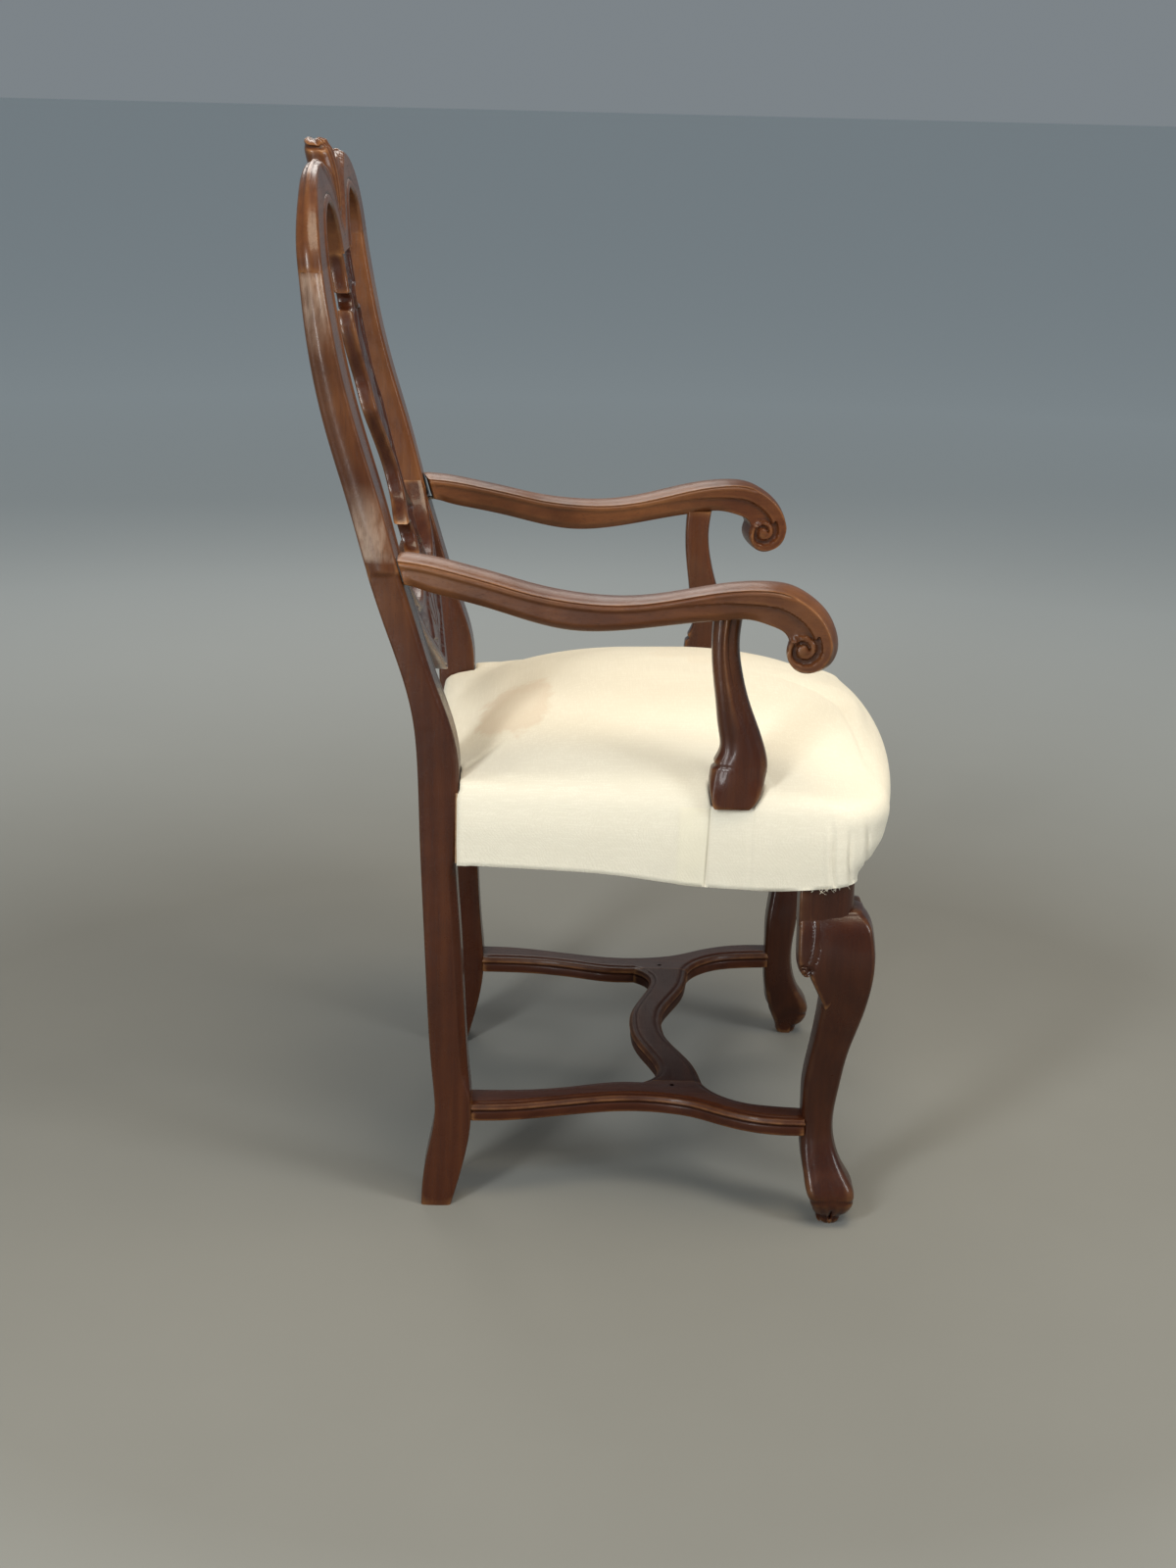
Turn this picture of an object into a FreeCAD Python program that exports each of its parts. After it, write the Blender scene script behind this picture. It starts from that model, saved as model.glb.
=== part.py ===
import FreeCAD, Part
import Sketcher
import math
import os

# Open armchair with a pierced hoop back, scrolled arms, cabriole front legs, a
# flat waved stretcher and a stuffed-over seat in plain muslin.
#
# Frame: millimetres, +Z up, the sitter faces -Y, the sitter's right is -X.
# The origin is on the floor, under the middle of the whole chair.
# The tables below give depth (Y) from the line through the front feet; every
# finished piece is then moved back by front_foot_line, so that the origin lies
# under the middle.

V = FreeCAD.Vector
os.makedirs("parts", exist_ok=True)
doc = FreeCAD.newDocument("armchair")

# ---------------------------------------------------------------- dimensions
dim = doc.addObject("Spreadsheet::Sheet", "Dimensions")
state = {"row": 1}


def put(alias, value):
    n = state["row"]
    dim.set("A%d" % n, alias)
    dim.set("B%d" % n, "%.6g" % value)
    dim.setAlias("B%d" % n, alias)
    state["row"] = n + 1


def put_table(name, columns, rows):
    n0 = state["row"]
    letters = "BCDEFGHIJK"
    dim.set("A%d" % n0, name)
    for j, col in enumerate(columns):
        dim.set("%s%d" % (letters[j], n0), col)
    for i, row in enumerate(rows):
        n = n0 + 1 + i
        dim.set("A%d" % n, "%s %d" % (name, i))
        for j, val in enumerate(row):
            c = "%s%d" % (letters[j], n)
            dim.set(c, "%.6g" % val)
            dim.setAlias(c, "%s_%s_%d" % (name, columns[j], i))
    state["row"] = n0 + 1 + len(rows)
    tables[name] = (columns, len(rows))


tables = {}

put("front_foot_line", 257.5)     # from the front feet to the middle of the chair
put("chair_height", 1100.0)
put("rail_top", 465.0)
put("rail_low", 389.0)
put("front_rail_thick", 30.0)
put("side_rail_thick", 32.0)
put("rear_rail_thick", 27.0)
put("block_inner", 248.0)         # inner face of the front leg's top block
put("block_outer", 294.0)
put("block_front", -8.0)
put("block_rear", 42.0)
put("block_foot", 345.0)
put("block_step", 389.0)
put("block_round", 24.0)
put("block_low_outer", 288.0)
put("block_low_front", -6.0)
put("front_rail_bow", 20.0)
put("side_rail_front_half", 294.0)
put("side_rail_rear_half", 256.3)
put("side_rail_rear_end", 404.0)
put("stretcher_top", 116.0)
put("stretcher_thick", 20.0)
put("stretcher_bevel", 2.5)
put("rail_tenon_thick", 10.0)
put("rail_tenon_long", 24.0)
put("rail_tenon_tall", 52.0)
put("stretcher_tenon_thick", 10.0)
put("stretcher_tenon_wide", 20.0)
put("stretcher_tenon_long", 18.0)
put("crest_joint", 986.0)
put("crest_tenon_thick", 8.0)
put("crest_tenon_wide", 36.0)
put("crest_tenon_tall", 28.0)
put("splat_thick", 15.0)
put("splat_joint", 985.0)
put("splat_seat", 668.0)
put("splat_tenon", 18.0)
put("splat_setback", 2.0)
put("back_rail_thick", 22.0)
put("arm_width", 50.0)
put("arm_splay", 9.0)             # degrees, each arm turns outward to the front
put("arm_tenon_long", 22.0)
put("support_inner", 268.0)
put("support_outer", 296.0)
put("support_tenon_low", 34.0)
put("support_tenon_high", 14.0)
put("peg_diameter", 7.0)
put("small_peg_diameter", 5.0)
put("screw_head", 8.4)
put("screw_shank", 4.6)
put("screw_long", 42.0)
put("arm_screw_long", 55.0)
put("tack_head", 6.0)
put("tack_shank", 1.6)
put("tack_long", 9.0)
put("web_width", 50.0)
put("web_thick", 1.8)
put("hessian_thick", 1.0)
put("scrim_thick", 1.0)
put("wadding_thick", 4.0)
put("cover_thick", 1.2)
put("corner_block_low", 398.0)
put("corner_block_tall", 52.0)
put("crown_height", 541.0)

# Rear leg and back stile, from the floor to the joint under the crest rail:
# front and back edge of the side view, inner and outer edge of the front view.
put_table("stile", ["level", "front", "back", "inner", "outer"], [
    (0, 406, 438, 203, 249.5), (33, 397, 436, 203, 248),
    (70, 388.8, 429.5, 203, 247), (101, 385.5, 424.5, 203.5, 247),
    (147, 388.5, 427, 204, 247.5), (235, 394.5, 433, 205, 249.5),
    (330, 400.5, 437.5, 206, 251), (420, 404.5, 441.5, 207, 253),
    (500, 402.5, 444.5, 208, 256), (537, 411, 448, 208.5, 258),
    (578, 426, 457, 209, 260), (638, 445, 477, 210.5, 263),
    (697, 463, 495.5, 212, 267), (756, 479, 511.5, 212, 269.5),
    (832, 502, 533.5, 211, 274), (889, 517, 546, 210, 279.5),
    (945, 528, 554, 210, 283), (986, 534.6, 558.4, 209.6, 280.5)])

# Rake of the back above the stiles.
put_table("rake", ["level", "front", "back"], [
    (965, 531.7, 556), (978, 533.5, 557.5), (1000, 536.3, 560), (1020, 538.7, 561.8),
    (1050, 543, 563.0), (1080, 549, 564.5), (1110, 556, 566)])

# Right-hand half of the crest rail's outline, outside edge then inside edge.
put_table("crest_out", ["side", "level"], [
    (280.5, 986), (277.5, 999), (266, 1020), (248, 1040), (227, 1056), (199, 1070),
    (165, 1078), (128, 1081), (95, 1080), (60, 1076), (32, 1068), (0, 1063)])
put_table("crest_in", ["side", "level"], [
    (209.6, 986), (208.5, 1000), (198, 1019), (172, 1034.5), (134, 1041), (106, 1037.5),
    (84, 1028), (67, 1014), (56, 998), (50, 985)])

# Right-hand half of the splat's outline, from the top down; the steps are the
# square shoulders of the carved strapwork.
put_table("splat_top", ["side", "level"], [(50, 985), (45, 970), (45, 944)])
put_table("splat_neck", ["side", "level"], [(27, 942), (24, 935), (29, 928)])
put_table("splat_body", ["side", "level"], [
    (45, 926), (51, 912), (49, 893), (41, 868), (37, 848), (43, 826), (33, 800),
    (19, 775), (12.5, 752), (20, 726), (40, 712), (50, 702)])
put_table("splat_foot", ["side", "level"], [(27, 700), (22, 688), (26, 676), (36, 668)])

# Right-hand half of the lower back rail: upper edge inwards, lower edge outwards.
put_table("drop_top", ["side", "level"], [
    (213, 706), (196, 680), (163, 652), (118, 635), (80, 639), (53, 652), (36, 668)])
put_table("drop_low", ["side", "level"], [
    (0, 531), (14, 535), (38, 546.5), (72, 563), (112, 583), (152, 606), (188, 632), (213, 655)])

# Arm, seen from outside: distance forward of the stile along the arm, height.
put_table("arm_top", ["along", "level"], [
    (-14, 706.5), (17, 703.5), (46, 698), (87, 689), (126, 680), (165, 674.5), (204, 673),
    (242, 676.5), (281, 684.5), (319, 692.5), (356, 696), (380, 693.5), (397, 685.5),
    (415, 670), (424, 653), (426.5, 638), (422, 625), (411.5, 617), (399.5, 614.5),
    (389.5, 618), (383, 626), (380.5, 636), (383, 646)])
put_table("arm_low", ["along", "level"], [
    (383, 646), (380, 652), (367, 659.5), (348, 664), (320, 662.5), (281, 657), (243, 650.5),
    (204, 645), (165, 644), (126, 650.5), (87, 660.5), (46, 669.5), (17, 676), (-14, 682)])

# Arm support, seen from outside: rear edge and front edge.
put_table("support_rear", ["depth", "level"], [
    (144, 465), (148, 486), (147.5, 500), (145.5, 509), (139.6, 522), (140.6, 544),
    (144.7, 574), (148.7, 604), (150.7, 633), (149, 672)])
put_table("support_front", ["depth", "level"], [
    (119.5, 672), (123.5, 634.5), (119.5, 604), (111.4, 574), (100.3, 545), (93.3, 524.6),
    (90.2, 505.4), (92.3, 493), (96, 480), (104.4, 465)])

# Front leg, foot to knee: front and rear edge of the side view.  The leg stands
# on the diagonal, so its front view has the same shape.
put_table("leg", ["level", "front", "rear", "round"], [
    (0, -12, 14, 9), (12, -14, 16, 9), (20, -18.5, 19, 9), (34, -21, 24, 10),
    (46, -18.5, 28, 10), (60, -11, 31, 10), (75, -4, 33.5, 9), (105, 2, 35, 8),
    (127, 1, 35, 8), (150, -2, 35, 8), (194, -9, 29.5, 9), (238, -20, 24, 12),
    (262, -25, 22.5, 14), (284, -28, 24, 16), (310, -28.5, 28, 17), (330, -26, 33, 17),
    (345, -21, 38, 16), (352, -16, 40, 14)])

# Side stretcher, plan: outside edge and inside edge, rear to front.
put_table("stretch_out", ["side", "depth"], [
    (243, 400), (243, 385), (241.5, 355), (232, 310), (218, 260), (211, 215), (215, 175),
    (225, 147), (242, 121), (258, 91), (266, 60), (267, 35), (267, 18)])
put_table("stretch_in", ["side", "depth"], [
    (233, 18), (233, 40), (229, 66), (221, 94), (205, 116), (186, 130), (172, 136)])
put_table("stretch_in2", ["side", "depth"], [
    (172, 201), (172, 226), (186, 276), (198, 332), (200, 385), (200, 400)])
# Cross stretcher, plan, right-hand half: rear edge outwards, front edge inwards.
put_table("cross_rear", ["side", "depth"], [
    (0, 209), (28, 207.5), (60, 201), (92, 191), (120, 183.5), (143, 182.5), (161, 190), (172, 201)])
put_table("cross_front", ["side", "depth"], [
    (172, 136), (152, 138.5), (128, 142), (100, 150), (68, 162), (34, 172), (0, 175)])

# Seat, outside of the cover: level, inset of the sides, of the front and of the
# rear, from the widest outline.
put_table("seat", ["level", "side", "front", "rear"], [
    (372, 3.2, 33, 0), (392, 2.8, 30, 0), (404, 2, 19, 0), (412, 1.4, 15, 0), (420, 0.8, 10, 0),
    (440, 0, 3.5, 0), (458, 0.2, 0, 1), (470, 3, 3, 5), (478, 7, 8, 16), (484, 13, 13, 29), (490, 22, 19, 42),
    (496, 37, 24, 54), (503, 57, 30, 68), (510, 80, 39.5, 84), (517, 104, 53, 103), (524, 133, 70, 124),
    (530, 162, 89, 146), (535, 192, 110.5, 168), (538, 218, 135, 188), (541, 246, 160, 208)])
put("seat_rear_half", 258.4)
put("seat_front_half", 307.2)
put("seat_corner", 62.0)
put("seat_rear_corner", 8.0)
put("seat_rear_line", 437.0)
put("seat_front_line", -62.5)
put("seat_front_bow", 20.0)
# Lower edge of the seat cover and of the side rail, front to rear.
put_table("hem", ["depth", "level"], [
    (-80, 387), (-10, 387), (30, 383), (80, 378.5), (120, 378.5), (160, 379.5), (200, 383),
    (245, 387), (300, 388.5), (460, 388.5)])

doc.recompute()


def num(alias):
    return float(getattr(dim, alias))


def table(name):
    columns, count = tables[name]
    return [tuple(num("%s_%s_%d" % (name, c, i)) for c in columns) for i in range(count)]


# A length from the sheet, or a sum of such lengths, with its expression.
class Q:
    def __init__(self, value, text):
        self.value = float(value)
        self.text = text

    def mix(self, other, sign):
        if isinstance(other, Q):
            val, text = other.value, other.text
        else:
            val, text = float(other), "%.6g mm" % abs(other)
            if other < 0:
                sign = "-" if sign == "+" else "+"
        num_val = self.value + val if not text.endswith(" mm") or val >= 0 else self.value + val
        return num_val, text, sign

    def __add__(self, other):
        if isinstance(other, Q):
            return Q(self.value + other.value, "%s + %s" % (self.text, other.text))
        return Q(self.value + other, "%s %s %.6g" % (self.text, "+" if other >= 0 else "-", abs(other)))

    def __sub__(self, other):
        if isinstance(other, Q):
            return Q(self.value - other.value, "%s - (%s)" % (self.text, other.text))
        return self + (-other)

    def __neg__(self):
        return Q(-self.value, "-(%s)" % self.text)

    def times(self, k):
        return Q(self.value * k, "(%s) * %.6g" % (self.text, k))


def d(alias):
    return Q(num(alias), "Dimensions.%s" % alias)


def val(x):
    return x.value if isinstance(x, Q) else float(x)


def bind(obj, prop, x):
    if isinstance(x, Q):
        obj.setExpression(prop, x.text)


# ------------------------------------------------------------- shape helpers
def spline(points, closed=False):
    curve = Part.BSplineCurve()
    if closed:
        curve.interpolate(Points=points, PeriodicFlag=True)
    else:
        curve.interpolate(points)
    return curve.toShape()


def line(a, b):
    return Part.LineSegment(a, b).toShape()


def face_of(edges):
    return Part.Face(Part.Wire(Part.__sortEdges__(edges)))


def mirrored(shape):
    return shape.mirror(V(0, 0, 0), V(1, 0, 0))


def feature(name, shape):
    obj = doc.addObject("Part::Feature", name)
    obj.Shape = shape
    return obj


def mirror_of(name, source):
    obj = doc.addObject("Part::Mirroring", name)
    obj.Source = source
    obj.Base = V(0, 0, 0)
    obj.Normal = V(1, 0, 0)
    return obj


def cut(name, base, tools):
    tools = list(tools)
    obj = doc.addObject("Part::Cut", name)
    obj.Base = base
    if len(tools) == 1:
        obj.Tool = tools[0]
    else:
        group = doc.addObject("Part::Compound", name + "_tools")
        group.Links = tools
        obj.Tool = group
    return obj


def fuse(name, pieces):
    obj = doc.addObject("Part::MultiFuse", name)
    obj.Shapes = list(pieces)
    obj.Refine = True
    return obj


def box(name, x, y, z, lx, ly, lz):
    obj = doc.addObject("Part::Box", name)
    obj.Length, obj.Width, obj.Height = val(lx), val(ly), val(lz)
    obj.Placement = FreeCAD.Placement(V(val(x), val(y), val(z)), FreeCAD.Rotation())
    bind(obj, "Length", lx)
    bind(obj, "Width", ly)
    bind(obj, "Height", lz)
    bind(obj, "Placement.Base.x", x)
    bind(obj, "Placement.Base.y", y)
    bind(obj, "Placement.Base.z", z)
    return obj


def rod(name, diameter, length, base, axis):
    obj = doc.addObject("Part::Cylinder", name)
    obj.Radius = val(diameter) / 2
    obj.Height = length
    obj.Placement = FreeCAD.Placement(V(*base), FreeCAD.Rotation(V(0, 0, 1), V(*axis)))
    if isinstance(diameter, Q):
        obj.setExpression("Radius", "(%s) / 2" % diameter.text)
    return obj


nodes = []


def final(obj, label):
    obj.Label = label
    obj.setExpression("Placement.Base.y", "-Dimensions.front_foot_line")
    nodes.append(obj)
    return obj


def origin_plane(body, role):
    for f in body.Origin.OriginFeatures:
        if f.Role == role:
            return f


def new_sketch(body, role, name, lift=None):
    s = body.newObject("Sketcher::SketchObject", name)
    s.AttachmentSupport = [(origin_plane(body, role), "")]
    s.MapMode = "FlatFace"
    if lift is not None:
        s.AttachmentOffset = FreeCAD.Placement(V(0, 0, val(lift)), FreeCAD.Rotation())
        bind(s, "AttachmentOffset.Base.z", lift)
    return s


def polygon(sketch, points):
    """A closed polygon whose corners are held by distances from the origin."""
    n = len(points)
    first = sketch.GeometryCount
    for i in range(n):
        a, b = points[i], points[(i + 1) % n]
        sketch.addGeometry(Part.LineSegment(V(val(a[0]), val(a[1]), 0), V(val(b[0]), val(b[1]), 0)), False)
    for i in range(n):
        sketch.addConstraint(Sketcher.Constraint("Coincident", first + i, 2, first + (i + 1) % n, 1))
    for i, p in enumerate(points):
        for kind, x in (("DistanceX", p[0]), ("DistanceY", p[1])):
            k = sketch.addConstraint(Sketcher.Constraint(kind, -1, 1, first + i, 1, val(x)))
            if isinstance(x, Q):
                sketch.setExpression("Constraints[%d]" % k, x.text)


def outline(sketch, runs):
    """A closed outline of runs: each run is a smooth curve through its points,
    or a straight line when it has two."""
    for run in runs:
        pts = [V(p[0], p[1], 0) for p in run]
        if len(pts) == 2:
            sketch.addGeometry(Part.LineSegment(pts[0], pts[1]), False)
        else:
            curve = Part.BSplineCurve()
            curve.interpolate(pts)
            sketch.addGeometry(curve, False)


def pad(body, sketch, name, length, reverse=False, middle=False):
    p = body.newObject("PartDesign::Pad", name)
    p.Profile = sketch
    p.Length = val(length)
    bind(p, "Length", length)
    p.Reversed = reverse
    p.Midplane = middle
    sketch.Visibility = False
    body.Tip = p
    return p


# ----------------------------------------------------------- the back's rake
st = table("stile")
rk = table("rake")


def front_at(z):
    rows = [(r[0], r[1]) for r in st] + [(r[0], r[1]) for r in rk if r[0] > 990]
    return along(rows, z)


def back_at(z):
    rows = [(r[0], r[2]) for r in st] + [(r[0], r[2]) for r in rk if r[0] > 990]
    return along(rows, z)


def along(rows, z):
    for (z0, v0), (z1, v1) in zip(rows, rows[1:]):
        if z0 <= z <= z1:
            return v0 + (v1 - v0) * (z - z0) / (z1 - z0)
    return rows[-1][1] if z > rows[-1][0] else rows[0][1]


def band(z0, z1, setback, thick, count=14):
    """The raked slab that a piece of the back is sawn from."""
    zs = [z0 + (z1 - z0) * i / (count - 1.0) for i in range(count)]
    front = [V(-300, front_at(z) + setback, z) for z in zs]
    rear = [V(-300, front_at(z) + setback + thick, z) for z in zs]
    edges = [spline(front), line(front[-1], rear[-1]), spline(rear[::-1]), line(rear[0], front[0])]
    return face_of(edges).extrude(V(600, 0, 0))


def front_view(runs):
    """Extrudes a front-view outline (side, level) through the depth of the back."""
    edges = []
    for run in runs:
        pts = [V(p[0], 330, p[1]) for p in run]
        edges.append(line(pts[0], pts[1]) if len(pts) == 2 else spline(pts))
    return face_of(edges).extrude(V(0, 330, 0))


def flip(run):
    return [(-p[0], p[1]) for p in run][::-1]


# ------------------------------------------------- rear legs and back stiles
front_pts = [V(180, r[1], r[0]) for r in st]
back_pts = [V(180, r[2], r[0]) for r in st]
side_slab = face_of([spline(front_pts), line(front_pts[-1], back_pts[-1]),
                     spline(back_pts[::-1]), line(back_pts[0], front_pts[0])]).extrude(V(140, 0, 0))
in_pts = [V(r[3], 360, r[0]) for r in st]
out_pts = [V(r[4], 360, r[0]) for r in st]
front_slab = face_of([spline(in_pts), line(in_pts[-1], out_pts[-1]),
                      spline(out_pts[::-1]), line(out_pts[0], in_pts[0])]).extrude(V(0, 240, 0))
stile_side_l = feature("stile_side_view", side_slab)
stile_front_l = feature("stile_front_view", front_slab)
stile_l = doc.addObject("Part::Common", "stile_blank_left")
stile_l.Base = stile_side_l
stile_l.Tool = stile_front_l
stile_r = mirror_of("stile_blank_right", stile_l)

# Tenons on top of the stiles, under the ends of the crest rail.
ct_y = (front_at(986) + back_at(986)) / 2 + 1.0
crest_tenon_l = box("crest_tenon_left", 226, ct_y - 4, d("crest_joint") - 6,
                    d("crest_tenon_wide"), d("crest_tenon_thick"), d("crest_tenon_tall") + 6)
crest_tenon_r = mirror_of("crest_tenon_right", crest_tenon_l)

# ---------------------------------------------------------------- crest rail
co = table("crest_out")
ci = table("crest_in")
runs = [co[:-1] + [co[-1]], flip(co), [(-co[0][0], co[0][1]), (-ci[0][0], ci[0][1])],
        [(-p[0], p[1]) for p in ci], [(-ci[-1][0], ci[-1][1]), (ci[-1][0], ci[-1][1])],
        ci[::-1], [(ci[0][0], ci[0][1]), (co[0][0], co[0][1])]]
zs = [r[0] for r in rk]
cf = [V(-300, r[1], r[0]) for r in rk]
cb = [V(-300, r[2], r[0]) for r in rk]
crest_slab = face_of([spline(cf), line(cf[-1], cb[-1]), spline(cb[::-1]), line(cb[0], cf[0])]).extrude(V(600, 0, 0))
crest_plate = doc.addObject("Part::Common", "crest_plate")
crest_plate.Base = feature("crest_front_view", front_view(runs))
crest_plate.Tool = feature("crest_side_view", crest_slab)


def oblong(hx, y0, y1, z):
    pts = [V(-hx, y0, z), V(hx, y0, z), V(hx, y1, z), V(-hx, y1, z)]
    return Part.makePolygon(pts + [pts[0]])


top = num("chair_height")
finial = feature("crest_carving", Part.makeLoft(
    [oblong(13, 541.5, 562, 1026), oblong(23, 544, 569, 1056), oblong(28, 549, 577.5, 1084),
     oblong(24, 556.5, 577.5, top)], True, True))
crest_solid = fuse("crest_solid", [crest_plate, finial])
splat_tenon_top = box("splat_tenon_top", -28, front_at(990) + 6, d("splat_joint") - 4, 56, 7.5, d("splat_tenon") + 4)

# -------------------------------------------------------------- centre splat
a, b, c, e = table("splat_top"), table("splat_neck"), table("splat_body"), table("splat_foot")
right = [a, [a[-1], b[0]], b, [b[-1], c[0]], c, [c[-1], e[0]], e]
left = [[(-p[0], p[1]) for p in run] for run in right]
runs = right + [[e[-1], (-e[-1][0], e[-1][1])]] + left + [[(-a[0][0], a[0][1]), a[0]]]
splat_plate = doc.addObject("Part::Common", "splat_plate")
splat_plate.Base = feature("splat_front_view", front_view(runs))
splat_plate.Tool = feature("splat_side_view", band(655, 995, num("splat_setback"), num("splat_thick"), 18))
splat_tenon_low = box("splat_tenon_low", -24, front_at(660) + 5.2, d("splat_seat") - d("splat_tenon"), 48, 7.5,
                      d("splat_tenon") + 4)

# ----------------------------------------------------------- lower back rail
dt, dl = table("drop_top"), table("drop_low")
runs = [dt, [dt[-1], (-dt[-1][0], dt[-1][1])], [(-p[0], p[1]) for p in dt],
        [(-dt[0][0], dt[0][1]), (-dl[-1][0], dl[-1][1])], [(-p[0], p[1]) for p in dl], dl, [dl[-1], dt[0]]]
drop_plate = doc.addObject("Part::Common", "drop_plate")
drop_plate.Base = feature("drop_front_view", front_view(runs))
drop_zs = [515.0, 560.0, 605.0, 650.0, 690.0, 705.0, 720.0]
drop_ys = [front_at(z_) + 0.8 if z_ >= 690 else front_at(690) + 0.8 - (690 - z_) * 0.238 for z_ in drop_zs]
dfr = [V(-300, y_, z_) for y_, z_ in zip(drop_ys, drop_zs)]
dbk = [V(-300, y_ + num("back_rail_thick"), z_) for y_, z_ in zip(drop_ys, drop_zs)]
drop_plate.Tool = feature("drop_side_view", face_of([
    spline(dfr), line(dfr[-1], dbk[-1]), spline(dbk[::-1]), line(dbk[0], dfr[0])]).extrude(V(600, 0, 0)))
drop_cut = cut("drop_shouldered", drop_plate, [stile_l, stile_r])
drop_tenon_l = box("drop_tenon_left", 206, front_at(678) + 6.5, 664, 24, 9, 30)
drop_tenon_r = mirror_of("drop_tenon_right", drop_tenon_l)

# ---------------------------------------------------------------------- arms
at_, al_ = table("arm_top"), table("arm_low")
splay = math.radians(num("arm_splay"))


def arm_body(name, sign):
    body = doc.addObject("PartDesign::Body", name)
    sk = new_sketch(body, "XZ_Plane", name + "_side_view")
    split = 12
    runs = [at_[:split + 1], at_[split:], al_, [al_[-1], at_[0]]]
    outline(sk, runs)
    # local X runs forward along the arm, local Y points to the sitter's left
    pad(body, sk, name + "_plank", d("arm_width"), reverse=(sign < 0))
    e1 = V(sign * math.sin(splay), -math.cos(splay), 0)
    e2 = V(0, 0, 1).cross(e1)
    m = FreeCAD.Matrix(e1.x, e2.x, 0, sign * 264.0, e1.y, e2.y, 0, 457.0, 0, 0, 1, 0, 0, 0, 0, 1)
    body.Placement = FreeCAD.Placement(m)
    return body


arm_r0 = arm_body("arm_plank_right", -1)
arm_l0 = arm_body("arm_plank_left", 1)
arm_r1 = cut("arm_shouldered_right", arm_r0, [stile_r])
arm_l1 = cut("arm_shouldered_left", arm_l0, [stile_l])
arm_tenon_l = box("arm_tenon_left", 229, 440, 685, 18, d("arm_tenon_long") + 22, 14)
arm_tenon_r = mirror_of("arm_tenon_right", arm_tenon_l)

# -------------------------------------------------------------- arm supports
sr, sf = table("support_rear"), table("support_front")


def yz_face(runs, x):
    edges = []
    for run in runs:
        pts = [V(x, p[0], p[1]) for p in run]
        edges.append(line(pts[0], pts[1]) if len(pts) == 2 else spline(pts))
    return face_of(edges)


si, so = num("support_inner"), num("support_outer")
support_blank_l = feature("support_blank_left", yz_face(
    [sr, [sr[-1], sf[0]], sf, [sf[-1], sr[0]]], si).extrude(V(so - si, 0, 0)))
support_blank_r = mirror_of("support_blank_right", support_blank_l)
sup_tenon_low_l = box("support_tenon_low_left", d("support_inner") + 2, 116, d("rail_top") - d("support_tenon_low"),
                      9, 20, d("support_tenon_low") + 6)
sup_tenon_low_r = mirror_of("support_tenon_low_right", sup_tenon_low_l)
sup_tenon_top_l = box("support_tenon_top_left", d("support_inner") + 8, 128, 650, 12, 14,
                      d("support_tenon_high") + 12)
sup_tenon_top_r = mirror_of("support_tenon_top_right", sup_tenon_top_l)

# ---------------------------------------------------------------- front legs
lg = table("leg")


def leg_section(front, rear, rnd, z):
    """Rounded square on the leg's diagonal, centred where depth and side agree."""
    x0, x1 = 268.0 - rear, 268.0 - front
    y0, y1 = front, rear
    r_out, r_in = rnd, min(rnd, 9.0)
    k = math.cos(math.radians(45))
    pts, edges = [], []
    # corners in order: inner-front, outer-front, outer-rear, inner-rear
    rads = [r_in, r_out, r_in, r_in * 0.8]
    cs = [(x0, y0, 1, 1), (x1, y0, -1, 1), (x1, y1, -1, -1), (x0, y1, 1, -1)]
    arcs = []
    for (x, y, sx, sy), r in zip(cs, rads):
        cx, cy = x + sx * r, y + sy * r
        p_x = V(cx, y, z)            # on the front or rear side
        p_y = V(x, cy, z)            # on the inner or outer side
        m_ = V(cx - sx * r * k, cy - sy * r * k, z)
        arcs.append((p_x, m_, p_y))
    seq = [(arcs[0][2], arcs[0][1], arcs[0][0]), (arcs[1][0], arcs[1][1], arcs[1][2]),
           (arcs[2][2], arcs[2][1], arcs[2][0]), (arcs[3][0], arcs[3][1], arcs[3][2])]
    for i in range(4):
        s0, m_, s1 = seq[i]
        edges.append(Part.Arc(s0, m_, s1).toShape())
        edges.append(line(s1, seq[(i + 1) % 4][0]))
    return Part.Wire(edges)




def smooth_rows(rows, count):
    """Stations along a smooth curve through the rows of a table."""
    curves = []
    for j in range(1, len(rows[0])):
        curve = Part.BSplineCurve()
        curve.interpolate([V(r[0], r[j], 0) for r in rows])
        curves.append(curve)
    out = []
    for i in range(count):
        z = rows[0][0] + (rows[-1][0] - rows[0][0]) * i / (count - 1.0)
        vals = [z]
        for curve in curves:
            u0, u1 = curve.FirstParameter, curve.LastParameter
            for _ in range(40):
                um = (u0 + u1) / 2
                if curve.value(um).x < z:
                    u0 = um
                else:
                    u1 = um
            vals.append(curve.value((u0 + u1) / 2).y)
        out.append(tuple(vals))
    return out


leg_loft = Part.makeLoft([leg_section(r[1], r[2], r[3], r[0]) for r in smooth_rows(lg, 34)], True, True)
# Knee ears: the brackets behind and beside the knee, under the seat.
ear = yz_face([[(10, 352), (49, 352)], [(49, 352), (49, 300), (46, 287)], [(46, 287), (36, 286), (28, 272), (20, 258)],
               [(20, 258), (10, 300), (10, 352)]], 256).extrude(V(34, 0, 0))
ear2 = ear.copy()
ear2.rotate(V(259, 9, 0), V(0, 0, 1), 90)
turned = FreeCAD.Matrix(0, -1, 0, 268, -1, 0, 0, 268, 0, 0, 1, 0, 0, 0, 0, 1)
ear2 = ear.transformGeometry(turned)
leg_form_l = feature("leg_form_left", leg_loft)
ear_a = feature("knee_ear_rear", ear)
ear_b = feature("knee_ear_side", ear2)
block_w, block_d = num("block_outer") - num("block_inner"), num("block_rear") - num("block_front")
high_box = Part.makeBox(block_w, block_d, num("rail_top") - num("block_step") - 1.0,
                        V(num("block_inner"), num("block_front"), num("block_step")))
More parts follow.
